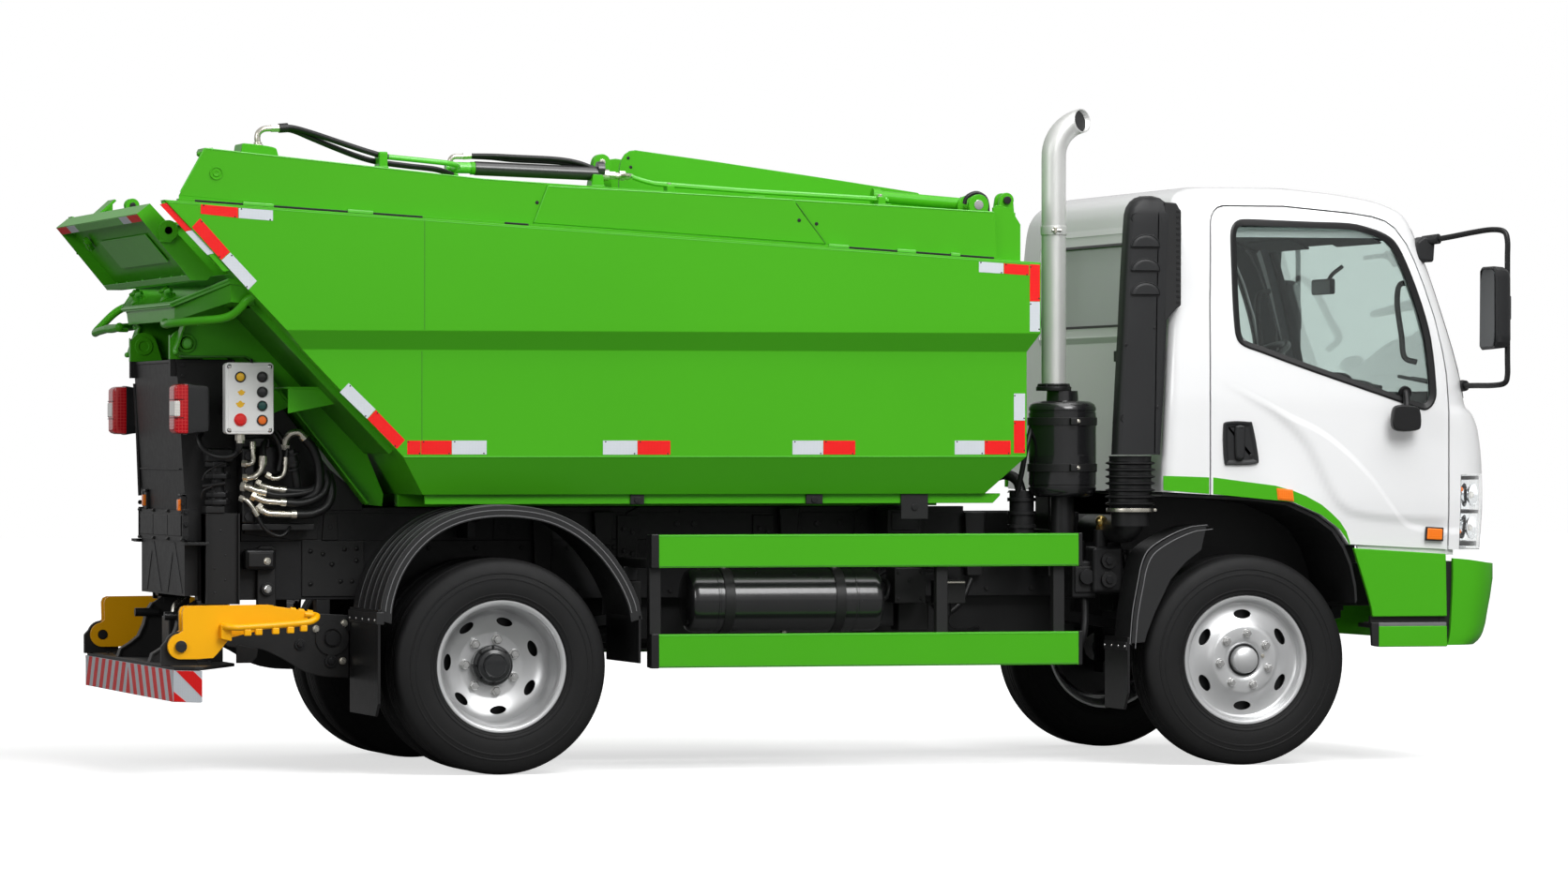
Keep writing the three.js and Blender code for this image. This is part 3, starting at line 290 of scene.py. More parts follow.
def place_group(tree, name, **values):
    """A node that holds one of the shared groups, with its inputs set or linked."""
    makers = {
        "shade_variation": make_variation_group,
        "settled_dust": make_dust_group,
        "fine_grain": make_grain_group,
        "worn_streaks": make_scratch_group,
        "lens_cells": make_cells_group,
    }
    if name not in GROUPS:
        GROUPS[name] = makers[name]()
    node = tree.nodes.new("ShaderNodeGroup")
    node.node_tree = GROUPS[name]
    for label, value in values.items():
        socket = node.inputs[label.replace("_", " ")]
        if isinstance(value, bpy.types.NodeSocket):
            tree.links.new(value, socket)
        else:
            socket.default_value = value
    return node


# ---------------------------------------------------------------- finishes


def rgba(values):
    """A colour with its alpha."""
    return (values[0], values[1], values[2], 1.0)


def blank(name):
    """A new material with a lone Principled shader."""
    material = bpy.data.materials.new(name)
    material.use_nodes = True
    return material, material.node_tree, material.node_tree.nodes["Principled BSDF"]


def add_bump(tree, shader, height, distance, strength=1.0):
    """Feeds a height to the shader's normal."""
    bump = tree.nodes.new("ShaderNodeBump")
    bump.inputs["Distance"].default_value = distance
    bump.inputs["Strength"].default_value = strength
    tree.links.new(height, bump.inputs["Height"])
    tree.links.new(bump.outputs[0], shader.inputs["Normal"])


def surface(name, base, roughness, *, metallic=0.0, shade=0.06, scale=3.0, gloss=0.08, grain=300.0,
            depth=0.3, waves=0.2, bump=0.0004, dust=0.0, dust_colour=(0.16, 0.145, 0.12, 1),
            dust_height=0.9, coat=0.0, coat_roughness=0.06, specular=0.5, wear=0.0,
            wear_colour=(0.4, 0.4, 0.4, 1)):
    """A solid finish: varied colour and gloss, wear, dust and a fine grain."""
    material, tree, shader = blank(name)
    varied = place_group(tree, "shade_variation", Colour=rgba(base), Shade_change=shade,
                         Scale=scale, Roughness=roughness, Roughness_change=gloss)
    colour_out, rough_out = varied.outputs["Colour"], varied.outputs["Roughness"]
    if wear:
        streaks = place_group(tree, "worn_streaks", Amount=wear)
        colour_out = blend(tree, streaks.outputs["Mask"], colour_out, wear_colour)
    if dust:
        dusty = place_group(tree, "settled_dust", Colour=colour_out, Dust_colour=dust_colour,
                            Amount=dust, Low_height=dust_height, Roughness=rough_out)
        colour_out, rough_out = dusty.outputs["Colour"], dusty.outputs["Roughness"]
    tree.links.new(colour_out, shader.inputs["Base Color"])
    tree.links.new(rough_out, shader.inputs["Roughness"])
    shader.inputs["Metallic"].default_value = metallic
    shader.inputs["Coat Weight"].default_value = coat
    shader.inputs["Coat Roughness"].default_value = coat_roughness
    shader.inputs["Specular IOR Level"].default_value = specular
    texture = place_group(tree, "fine_grain", Scale=grain, Depth=depth, Waves=waves)
    add_bump(tree, shader, texture.outputs["Height"], bump)
    return material


def celled(name, base, roughness, line, cell, emission=0.0, edge_mix=0.35, coat=0.3):
    """Reflective tape or a moulded lens with a grid of small cells."""
    material, tree, shader = blank(name)
    cells = place_group(tree, "lens_cells", Cell_size=cell)
    factor = maths(tree, "MULTIPLY", maths(tree, "SUBTRACT", 1.0, cells.outputs["Edge"]), edge_mix)
    mixed = blend(tree, factor, rgba(base), rgba(line))
    varied = place_group(tree, "shade_variation", Colour=mixed, Shade_change=0.08, Scale=6.0,
                         Roughness=roughness, Roughness_change=0.1)
    tree.links.new(varied.outputs["Colour"], shader.inputs["Base Color"])
    tree.links.new(varied.outputs["Roughness"], shader.inputs["Roughness"])
    shader.inputs["Specular IOR Level"].default_value = 0.3
    shader.inputs["Coat Weight"].default_value = coat
    shader.inputs["Coat Roughness"].default_value = 0.12
    if emission:
        shader.inputs["Emission Color"].default_value = rgba(base)
        shader.inputs["Emission Strength"].default_value = emission
    add_bump(tree, shader, cells.outputs["Height"], 0.0008)
    return material


def glazing(name, tint, roughness=0.02, transmission=1.0, ior=1.45):
    """Thin clear or tinted glass."""
    material, tree, shader = blank(name)
    varied = place_group(tree, "shade_variation", Colour=rgba(tint), Shade_change=0.03, Scale=1.5,
                         Roughness=roughness, Roughness_change=0.01)
    tree.links.new(varied.outputs["Colour"], shader.inputs["Base Color"])
    tree.links.new(varied.outputs["Roughness"], shader.inputs["Roughness"])
    shader.inputs["Transmission Weight"].default_value = transmission
    shader.inputs["IOR"].default_value = ior
    return material


# the pressed line over the cab door, as shares of its run forwards and of its height
PRESS_CURVE = [(0.0, 0.97), (0.10, 0.91), (0.20, 0.835), (0.32, 0.74), (0.44, 0.655), (0.54, 0.545),
               (0.65, 0.385), (0.745, 0.20), (0.79, 0.12), (0.85, 0.075), (1.0, 0.055)]


def pressed_cab(name, base, roughness):
    """Cab paint, with the soft shade of the pressed line that sweeps over the door."""
    material = surface(name, base, roughness, shade=0.015, gloss=0.04, grain=420, depth=0.12,
                       waves=0.25, bump=0.0003, coat=0.6, dust=0.05, dust_height=0.8)
    tree, shader = material.node_tree, material.node_tree.nodes["Principled BSDF"]
    where = tree.nodes.new("ShaderNodeTexCoord")
    split = tree.nodes.new("ShaderNodeSeparateXYZ")
    tree.links.new(where.outputs["Object"], split.inputs[0])
    along = remap(tree, split.outputs["X"], AXLE_X + 2.70, AXLE_X + 3.64, 0.0, 1.0)
    curve = tree.nodes.new("ShaderNodeFloatCurve")
    points = curve.mapping.curves[0].points
    points[0].location, points[1].location = PRESS_CURVE[0], PRESS_CURVE[-1]
    for spot in PRESS_CURVE[1:-1]:
        points.new(*spot)
    curve.mapping.update()
    tree.links.new(along, curve.inputs["Value"])
    line = remap(tree, curve.outputs[0], 0.0, 1.0, 0.83, 1.45)
    gap = maths(tree, "SUBTRACT", split.outputs["Z"], line)
    step = remap(tree, gap, -0.012, 0.02, 1.0, 0.0, True)
    fade = remap(tree, split.outputs["X"], AXLE_X + 2.72, AXLE_X + 2.95, 0.0, 1.0, True)
    bump = next(n for n in tree.nodes if n.bl_idname == "ShaderNodeBump")
    press = tree.nodes.new("ShaderNodeBump")
    press.inputs["Distance"].default_value = 0.006
    tree.links.new(maths(tree, "MULTIPLY", step, fade), press.inputs["Height"])
    tree.links.new(bump.outputs[0], press.inputs["Normal"])
    tree.links.new(press.outputs[0], shader.inputs["Normal"])
    return material


def finishes(colours):
    """Each finish: what makes it, its colour, its roughness, and what sets it apart."""
    body = tuple(colours.body)
    deep = tuple(c * 0.42 for c in body)
    grime, pale_dust = (0.035, 0.033, 0.03, 1), (0.20, 0.19, 0.175, 1)
    button = dict(coat=0.4, bump=0.0002)
    return {
        "green_paint": (surface, body, 0.3, dict(
            shade=0.10, scale=1.2, waves=0.5, specular=0.2, grain=500, depth=0.12, bump=0.0005,
            dust=0.05, dust_height=0.7)),
        # painted shade and painted highlight: darker and lighter copies of the body green, for
        # shaded and lit edges, strips and small parts
        "green_shadow": (surface, deep, 0.4, dict(shade=0.2, scale=4, coat=0.2, dust=0.08)),
        "green_light": (surface, (0.09, 0.5, 0.03), 0.32, dict(shade=0.15, scale=6, coat=0.3)),
        "cab_paint": (pressed_cab, tuple(colours.cab), 0.22, {}),
        # painted shade: the inner faces of the white cab panels, dark grey for the shade inside the
        # cab
        "white_inner": (surface, (0.10, 0.105, 0.108), 0.6, dict(shade=0.1, specular=0.3)),
        "black_paint": (surface, tuple(colours.chassis), 0.42, dict(
            shade=0.5, scale=5, gloss=0.2, specular=0.3, grain=90, depth=0.5, bump=0.0006,
            dust=0.05, dust_colour=grime)),
        "black_plate": (surface, (0.014, 0.014, 0.0145), 0.45, dict(
            shade=0.35, specular=0.3, gloss=0.15, grain=160, depth=0.4, bump=0.0006, dust=0.06,
            wear=0.10, wear_colour=(0.05, 0.05, 0.05, 1))),
        "deck_paint": (surface, (0.022, 0.020, 0.017), 0.5, dict(
            shade=0.5, scale=6, dust=0.45, dust_colour=(0.10, 0.068, 0.03, 1), wear=0.2,
            wear_colour=(0.11, 0.07, 0.03, 1))),
        "yellow_paint": (surface, tuple(colours.arms), 0.36, dict(
            shade=0.08, scale=5, coat=0.1, bump=0.0005, specular=0.3)),
        "tyre_rubber": (surface, tuple(colours.rubber), 0.6, dict(
            shade=0.4, scale=7, gloss=0.2, grain=220, depth=0.6, bump=0.0007, dust=0.08,
            dust_height=0.45, dust_colour=grime, specular=0.22)),
        "hose_rubber": (surface, (0.009, 0.009, 0.0095), 0.42, dict(
            shade=0.4, scale=12, grain=500, depth=0.5, bump=0.0005, specular=0.35)),
        "seal_rubber": (surface, (0.011, 0.011, 0.0115), 0.38, dict(
            shade=0.3, scale=9, depth=0.4, specular=0.3)),
        "wheel_silver": (surface, tuple(colours.wheel), 0.36, dict(
            metallic=0.7, shade=0.10, scale=8, gloss=0.15, grain=350, bump=0.0003, dust=0.10,
            dust_height=0.5, dust_colour=pale_dust)),
        "zinc": (surface, (0.66, 0.63, 0.55), 0.28, dict(
            metallic=0.95, shade=0.25, scale=25, gloss=0.2, bump=0.0003)),
        "bright_steel": (surface, (0.70, 0.70, 0.69), 0.22, dict(
            metallic=1.0, shade=0.15, scale=20, gloss=0.15, bump=0.0002)),
        "stack_steel": (surface, (0.68, 0.685, 0.67), 0.42, dict(
            metallic=0.5, shade=0.15, scale=4, gloss=0.2, grain=600, depth=0.5, dust=0.1)),
        "dark_metal": (surface, (0.022, 0.022, 0.023), 0.35, dict(
            metallic=0.4, specular=0.35, shade=0.4, scale=12, gloss=0.2)),
        "brass": (surface, (0.62, 0.45, 0.16), 0.3,
                  dict(metallic=1.0, shade=0.2, scale=20, bump=0.0003)),
        "reflector": (surface, (0.80, 0.81, 0.82), 0.10,
                      dict(metallic=1.0, shade=0.1, scale=30, gloss=0.05)),
        "mirror_glass": (surface, (0.02, 0.024, 0.026), 0.03, dict(
            metallic=1.0, shade=0.03, gloss=0.01, bump=0.0001)),
        "silencer_black": (surface, (0.012, 0.012, 0.013), 0.24, dict(
            shade=0.4, scale=6, gloss=0.15, coat=0.4, dust=0.04)),
        "ram_black": (surface, (0.014, 0.014, 0.015), 0.3, dict(
            shade=0.3, scale=10, gloss=0.15, coat=0.3, bump=0.0003, dust=0.05)),
        "grained_plastic": (surface, (0.017, 0.0175, 0.0185), 0.44, dict(
            shade=0.15, scale=5, specular=0.3, grain=650, depth=0.8, bump=0.0005, dust=0.05)),
        "guard_plastic": (surface, (0.016, 0.0162, 0.0168), 0.42, dict(
            shade=0.3, scale=5, gloss=0.15, grain=400, depth=0.4, dust=0.06,
            dust_colour=(0.03, 0.03, 0.028, 1), specular=0.35)),
        # painted highlight: light grey for the lit edges and lines on the black guards and the step
        "edge_plastic": (surface, (0.16, 0.16, 0.165), 0.4, dict(shade=0.3, scale=20)),
        "trim_plastic": (surface, (0.055, 0.057, 0.060), 0.6, dict(
            shade=0.15, scale=8, grain=700, depth=0.8, bump=0.0005)),
        "headlining": (surface, (0.055, 0.058, 0.06), 0.85, dict(
            shade=0.1, scale=8, grain=900, depth=0.8, bump=0.0005)),
        "seat_cloth": (surface, (0.028, 0.029, 0.032), 0.9, dict(
            shade=0.3, scale=30, grain=900, depth=1.0, bump=0.0009, specular=0.2)),
        "grey_housing": (surface, (0.76, 0.76, 0.75), 0.42, dict(
            shade=0.08, scale=12, grain=500, depth=0.5, dust=0.08, wear=0.08,
            wear_colour=(0.35, 0.33, 0.28, 1))),
        "button_black": (surface, (0.012, 0.013, 0.014), 0.25, button),
        "button_yellow": (surface, (0.82, 0.46, 0.01), 0.25, button),
        "button_red": (surface, (0.70, 0.012, 0.010), 0.25, button),
        "button_orange": (surface, (0.85, 0.16, 0.010), 0.25, button),
        "button_teal": (surface, (0.004, 0.062, 0.055), 0.25, button),
        "red_tape": (celled, tuple(colours.tape_red), 0.4, dict(
            line=(0.45, 0.01, 0.01), cell=0.005, edge_mix=0.25, coat=0.0)),
        "white_tape": (celled, tuple(colours.tape_white), 0.4, dict(
            line=(0.42, 0.45, 0.5), cell=0.005, edge_mix=0.25, coat=0.0)),
        "red_lens": (celled, (0.42, 0.004, 0.010), 0.14, dict(
            line=(0.9, 0.12, 0.10), cell=0.012, emission=0.10)),
        "clear_lens": (celled, (0.72, 0.70, 0.66), 0.12, dict(
            line=(0.35, 0.35, 0.35), cell=0.010, emission=0.06)),
        "amber_lens": (celled, (0.86, 0.17, 0.006), 0.18, dict(
            line=(0.95, 0.35, 0.05), cell=0.008, emission=0.08)),
        "lamp_glass": (glazing, (0.97, 0.98, 0.98), 0.015, {}),
        "cab_glass": (glazing, (0.68, 0.755, 0.73), 0.02, {}),
        "back_glass": (glazing, (0.62, 0.66, 0.64), 0.06, dict(transmission=0.25)),
    }


MADE = {}


def finish(name):
    """The material of that name, made once."""
    if name not in MADE:
        maker, base, roughness, settings = finishes(bpy.context.scene.truck_colours)[name]
        MADE[name] = maker(name, base, roughness, **settings)
    return MADE[name]


# ---------------------------------------------------------------- shaping


def place(point, side=1):
    """A point in millimetres from the rear axle, with y outwards for a sided piece, in metres."""
    return Vector((AXLE_X + point[0] / 1000, side * point[1] / 1000, point[2] / 1000))


def turned(axis):
    """Two directions square to an axis."""
    axis = Vector(axis).normalized()
    across = axis.cross(Vector(UP))
    if across.length < 0.1:
        across = axis.cross(OUT)
    across.normalize()
    return axis, across, axis.cross(across)


def smooth_path(points, steps=6):
    """A curve through the points."""
    spots = [Vector(p) for p in points]
    ends = [spots[0] * 2 - spots[1]] + spots + [spots[-1] * 2 - spots[-2]]
    path = []
    for a, b, c, d in zip(ends, ends[1:], ends[2:], ends[3:]):
        for i in range(steps):
            t = i / steps
            path.append(((b * 2) + (c - a) * t + (a * 2 - b * 5 + c * 4 - d) * t * t
                         + (b * 3 - a - c * 3 + d) * t ** 3) / 2)
    return path + [spots[-1]]


def arc(centre, radius, start, end, count):
    """Points of an arc in a plane, angles in degrees."""
    angles = [math.radians(start + (end - start) * i / count) for i in range(count + 1)]
    return [(centre[0] + radius * math.cos(a), centre[1] + radius * math.sin(a)) for a in angles]


def offset_outline(outline, amount):
    """The outline moved outwards (amount > 0) or inwards, corner by corner."""
    area = sum(a[0] * b[1] - b[0] * a[1] for a, b in zip(outline, outline[1:] + outline[:1]))
    way = 1 if area > 0 else -1
    moved = []
    for before, here, after in zip([outline[-1]] + outline[:-1], outline,
                                   outline[1:] + [outline[0]]):
        first = Vector((here[0] - before[0], here[1] - before[1])).normalized()
        second = Vector((after[0] - here[0], after[1] - here[1])).normalized()
        normal = Vector((first.y + second.y, -first.x - second.x)) * way
        size = max(0.35, normal.length_squared / 4)
        moved.append((here[0] + normal.x / 2 * amount / size,
                      here[1] + normal.y / 2 * amount / size))
    return moved


class Piece:
    """Closed solids gathered into one object, in millimetres from the rear axle."""

    def __init__(self, name, side=1):
        self.name, self.side = name, side
        self.points, self.faces, self.marks, self.names = [], [], [], []

    def take(self, solid, paint):
        """Adds a bmesh, already in metres."""
        if paint not in self.names:
            self.names.append(paint)
        base, mark = len(self.points), self.names.index(paint)
        solid.verts.index_update()
        self.points.extend(v.co.copy() for v in solid.verts)
        self.faces.extend([base + v.index for v in f.verts] for f in solid.faces)
        self.marks.extend([mark] * len(solid.faces))
        solid.free()

    def join(self, other):
        """Takes in another piece's solids."""
        base = len(self.points)
        self.points += other.points
        for face, mark in zip(other.faces, other.marks):
            name = other.names[mark]
            if name not in self.names:
                self.names.append(name)
            self.faces.append([base + i for i in face])
            self.marks.append(self.names.index(name))

    def sides(self):
        """A part for the right and then the left, each taken in when it is done."""
        for side in (RIGHT, LEFT):
            part = Piece("part", side)
            yield part
            self.join(part)

    def trim(self, paint, half):
        """Repaints the faces that look inwards, away from the outer skin at half(z)."""
        if paint not in self.names:
            self.names.append(paint)
        mark = self.names.index(paint)
        for i, face in enumerate(self.faces):
            corners = [self.points[k] for k in face]
            middle = sum(corners, Vector()) / len(corners)
            normal = Vector()
            for a, b in zip(corners, corners[1:] + corners[:1]):
                normal += a.cross(b)
            depth = half(middle.z * 1000) - abs(middle.y) * 1000
            if depth > 9 and normal.y * middle.y < -0.5 * normal.length * abs(middle.y):
                self.marks[i] = mark

    def add(self, points, faces, paint, edge=0.0, segments=2, angle=28):
        """Adds a closed solid from corners and faces, and rounds its sharp edges."""
        solid = bmesh.new()
        corners = [solid.verts.new(place(p, self.side)) for p in points]
        for face in faces:
            solid.faces.new([corners[i] for i in face])
        bmesh.ops.recalc_face_normals(solid, faces=solid.faces)
        if edge:
            round_edges(solid, edge, segments, angle)
        self.take(solid, paint)
        return self

    def prism(self, axis, outline, start, end, paint, edge=1.5, segments=2):
        """An outline in the plane square to an axis, from start to end along it."""
        spread = {"x": lambda a, b, c: (c, a, b), "y": lambda a, b, c: (a, c, b),
                  "z": lambda a, b, c: (a, b, c)}[axis]
        count = len(outline)
        points = [spread(a, b, c) for c in (start, end) for a, b in outline]
        faces = [list(range(count)), [2 * count - 1 - i for i in range(count)]]
        faces += [(i, (i + 1) % count, count + (i + 1) % count, count + i) for i in range(count)]
        return self.add(points, faces, paint, edge, segments)

    def slab(self, outline, start, end, paint, edge=1.5, segments=2):
        """A plate seen from the side: outline (x, z), from y start to end."""
        return self.prism("y", outline, start, end, paint, edge, segments)

    def beam(self, outline, start, end, paint, edge=1.5, segments=2):
        """A plate seen from the end: outline (y, z), from x start to end."""
        return self.prism("x", outline, start, end, paint, edge, segments)

    def plate(self, outline, start, end, paint, edge=1.5, segments=2):
        """A plate seen from above: outline (x, y), from z start to end."""
        return self.prism("z", outline, start, end, paint, edge, segments)

    def box(self, low, high, paint, edge=1.5, segments=2):
        """A block between two corners."""
        outline = [(low[0], low[2]), (high[0], low[2]), (high[0], high[2]), (low[0], high[2])]
        return self.slab(outline, low[1], high[1], paint, edge, segments)

    def lathe(self, centre, axis, profile, paint, sides=32, edge=0.0):
        """Turns a profile of (radius, height) about an axis; open ends at radius 0 close on it."""
        axis, across, up = turned(axis)
        centre = Vector(centre)
        rings, points = [], []
        for radius, height in profile:
            ring = []
            for i in range(sides if radius > 1e-6 else 1):
                angle = 2 * math.pi * i / sides
                spot = across * (radius * math.cos(angle)) + up * (radius * math.sin(angle))
                ring.append(len(points))
                points.append(centre + axis * height + spot)
            rings.append(ring)
        closed = len(rings[0]) > 1 or len(rings[-1]) > 1
        faces = []
        for a, b in zip(rings, rings[1:] + (rings[:1] if closed else [])):
            for i in range(sides):
                j = (i + 1) % sides
                quad = [a[i % len(a)], a[j % len(a)], b[j % len(b)], b[i % len(b)]]
                face = [p for k, p in enumerate(quad) if p not in quad[:k]]
                if len(face) > 2:
                    faces.append(face)
        return self.add(points, faces, paint, edge)

    def rod(self, start, end, radius, paint, far=None, sides=24, edge=1.0):
        """A round bar or cone between two points."""
        start, end = Vector(start), Vector(end)
        reach = (end - start).length
        far = radius if far is None else far
        bite = min(edge, radius * 0.4, far * 0.4, reach * 0.3)
        profile = [(0, 0), (radius - bite, 0), (radius - bite * 0.3, bite * 0.3), (radius, bite),
                   (far, reach - bite), (far - bite * 0.3, reach - bite * 0.3), (far - bite, reach),
                   (0, reach)]
        return self.lathe(start, end - start, profile, paint, sides)

    def ring(self, centre, axis, inner, outer, depth, paint, sides=32, edge=1.0):
        """A flat ring, depth along the axis."""
        bite = min(edge, (outer - inner) * 0.3, depth * 0.3)
        profile = [(inner, bite), (inner + bite, 0), (outer - bite, 0), (outer, bite),
                   (outer, depth - bite), (outer - bite, depth), (inner + bite, depth),
                   (inner, depth - bite)]
        return self.lathe(centre, axis, profile, paint, sides)

    def ball(self, centre, radius, paint, squash=1.0, axis=UP, sides=20):
        """A ball, or a flattened one."""
        turns = sides // 2
        profile = []
        for i in range(turns + 1):
            angle = math.pi * i / turns
            profile.append((radius * math.sin(angle) if 0 < i < turns else 0,
                            -radius * squash * math.cos(angle)))
        return self.lathe(centre, axis, profile, paint, sides)

    def loft(self, rings, paint, edge=0.0, cap=True):
        """A skin through rings of equal count, closed at both ends."""
        count = len(rings[0])
        points = [p for ring in rings for p in ring]
        faces = [(a * count + i, a * count + (i + 1) % count, (a + 1) * count + (i + 1) % count,
                  (a + 1) * count + i) for a in range(len(rings) - 1) for i in range(count)]
        if cap:
            last = (len(rings) - 1) * count
            faces += [list(range(count))[::-1], [last + i for i in range(count)]]
        return self.add(points, faces, paint, edge)

    def tube(self, points, radius, paint, sides=14, steps=6, smooth=True, wide=1.0, ribs=0.0):
        """A bent bar or hose along a path; ribs adds a corrugation of that depth."""
        path = smooth_path(points, steps) if smooth else [Vector(p) for p in points]
        along = (path[1] - path[0]).normalized()
        _, across, _ = turned(along)
        rings = []
        for i, spot in enumerate(path):
            before, after = path[max(i - 1, 0)], path[min(i + 1, len(path) - 1)]
            along = (after - before).normalized()
            across = (across - along * across.dot(along)).normalized()
            up = along.cross(across)
            reach = radius + (ribs if i % 2 else 0)
            rings.append([spot + across * (reach * wide * math.cos(2 * math.pi * k / sides))
                          + up * (reach * math.sin(2 * math.pi * k / sides)) for k in range(sides)])
        return self.loft(rings, paint)

    def make(self, body, slot, *replaced, angle=30):
        """Turns the gathered solids into one object that rides on a body."""
        mesh = bpy.data.meshes.new(self.name)
        mesh.from_pydata([tuple(p) for p in self.points], [], self.faces)
        mesh.polygons.foreach_set("material_index", self.marks)
        for paint in self.names:
            mesh.materials.append(finish(paint))
        return settle(self.name, mesh, body, slot, *replaced, angle=angle)


def round_edges(solid, width, segments=2, angle=28):
    """Rounds a bmesh's edges sharper than an angle in degrees; width in millimetres."""
    limit = math.radians(angle)
    sharp = [e for e in solid.edges if len(e.link_faces) == 2 and e.calc_face_angle(0) > limit]
    if sharp:
        bmesh.ops.bevel(solid, geom=sharp, offset=width / 1000, segments=segments, profile=0.5,
                        affect="EDGES", clamp_overlap=True)


def settle(name, mesh, body, slot, *replaced, angle=30):
    """Makes the object, shades it smooth between sharp edges, and ties it to its body."""
    mesh.shade_smooth()
    mesh.set_sharp_from_angle(angle=math.radians(angle))
    piece = bpy.data.objects.new(name, mesh)
    bpy.context.scene.collection.objects.link(piece)
    weighted = piece.modifiers.new("face_normals", "WEIGHTED_NORMAL")
    weighted.keep_sharp = True
    weighted.weight = 90
    graph = bpy.context.evaluated_depsgraph_get()
    shaded = bpy.data.meshes.new_from_object(piece.evaluated_get(graph),
                                             preserve_all_data_layers=True, depsgraph=graph)
    piece.modifiers.clear()
    piece.data = shaded
    bpy.data.meshes.remove(mesh)
    shaded.name = name
    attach(piece, body)
    if replaced:
        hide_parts(*replaced)
    return piece


def node_solid(node):
    """A merged bmesh copy of a frame node with its flat faces joined up."""
    solid = bmesh.new()
    solid.from_mesh(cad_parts[node].data)
    bmesh.ops.remove_doubles(solid, verts=solid.verts, dist=2e-5)
    bmesh.ops.dissolve_limit(solid, angle_limit=math.radians(0.6), verts=solid.verts,
                             edges=solid.edges)
    return solid


def rounded(piece, node, paint, edge=2.5, segments=2, angle=28):
    """Adds a frame node's shape, with rounded edges, to a piece."""
    solid = node_solid(node)
    if edge:
        round_edges(solid, edge, segments, angle)
    piece.take(solid, paint)
    return piece


def scratch_object(name, solid):
    """An object for a cut, made from a bmesh."""
    mesh = bpy.data.meshes.new(name)
    solid.to_mesh(mesh)
    solid.free()
    made = bpy.data.objects.new(name, mesh)
    bpy.context.scene.collection.objects.link(made)
    return made


def prism_solid(axis, outline, start, end, side=1):
    """A scratch prism for a cut."""
    shape = Piece("cutter", side)
    shape.prism(axis, outline, start, end, "seal_rubber", 0)
    return gathered(shape)


def gathered(piece):
    """A piece's solids as one bmesh."""
    solid = bmesh.new()
    corners = [solid.verts.new(p) for p in piece.points]
    for face in piece.faces:
        solid.faces.new([corners[i] for i in face])
    bmesh.ops.recalc_face_normals(solid, faces=solid.faces)
    return solid


def combine(base, others, operation="DIFFERENCE"):
    """Cuts, joins or intersects closed bmeshes and gives back one bmesh."""
    main = scratch_object("scratch_base", base)
    scratch = []
    for i, other in enumerate(others):
        tool = scratch_object(f"scratch_{i}", other)
        change = main.modifiers.new("cut", "BOOLEAN")
        change.solver = "MANIFOLD"
        change.operation = operation
        change.object = tool
        scratch.append(tool)
    graph = bpy.context.evaluated_depsgraph_get()
    result = bmesh.new()
    result.from_mesh(bpy.data.meshes.new_from_object(main.evaluated_get(graph)))
    for made in [main] + scratch:
        mesh = made.data
        bpy.data.objects.remove(made)
        bpy.data.meshes.remove(mesh)
    if not result.faces:
        raise RuntimeError("a cut left nothing")
    return result


# ---------------------------------------------------------------- repeated fixings


FIXINGS = {}


def fix(body, kind, paint, point, aim, width, height, side=1):
    """Books a rivet, bolt, nut or screw: point in millimetres, aim its outward direction."""
    aim = Vector((aim[0], aim[1] * side, aim[2])).normalized()
    FIXINGS.setdefault((body, kind, paint), []).append((place(point, side), aim, width, height))


def node_input(node, name, value, tree=None):
    """Sets or links a node's input."""
    if isinstance(value, bpy.types.NodeSocket):
        tree.links.new(value, node.inputs[name])
    else:
        node.inputs[name].default_value = value


def new_geometry_tree(name, inputs):
    """A geometry node tree with a mesh coming in and going out, and named inputs."""
    tree = bpy.data.node_groups.new(name, "GeometryNodeTree")
    tree.interface.new_socket("Geometry", in_out="INPUT", socket_type="NodeSocketGeometry")
    sockets = {}
    for label, kind, value in inputs:
        socket = tree.interface.new_socket(label, in_out="INPUT", socket_type=kind)
        if value is not None:
            socket.default_value = value
        sockets[label] = socket.identifier
    tree.interface.new_socket("Geometry", in_out="OUTPUT", socket_type="NodeSocketGeometry")
    return tree, sockets, tree.nodes.new("NodeGroupInput"), tree.nodes.new("NodeGroupOutput")


def run_tree(name, mesh, tree, values):
    """Runs a geometry tree over a mesh and gives back the plain result."""
    holder = bpy.data.objects.new(name, mesh)
    bpy.context.scene.collection.objects.link(holder)
    modifier = holder.modifiers.new("repeat", "NODES")
    modifier.node_group = tree
    for identifier, value in values.items():
        modifier[identifier] = value
    graph = bpy.context.evaluated_depsgraph_get()
    result = bpy.data.meshes.new_from_object(holder.evaluated_get(graph))
    holder.modifiers.remove(modifier)
    bpy.data.objects.remove(holder)
    return result


def named(tree, name, kind):
    """Reads a named attribute."""
    node = tree.nodes.new("GeometryNodeInputNamedAttribute")
    node.data_type = kind
    node.inputs["Name"].default_value = name
    return next(o for o in node.outputs if o.enabled and o.name == "Attribute")


def drum(tree, sides, radius, height, lift, top=None):
    """A cone or drum standing on its base plane in a geometry tree."""
    node = tree.nodes.new("GeometryNodeMeshCone")
    node_input(node, "Vertices", sides, tree)
    node.inputs["Radius Bottom"].default_value = radius
    node.inputs["Radius Top"].default_value = radius if top is None else top
    node.inputs["Depth"].default_value = height
    move = tree.nodes.new("GeometryNodeTransform")
    move.inputs["Translation"].default_value = (0, 0, lift)
    tree.links.new(node.outputs["Mesh"], move.inputs["Geometry"])
    return move.outputs[0]


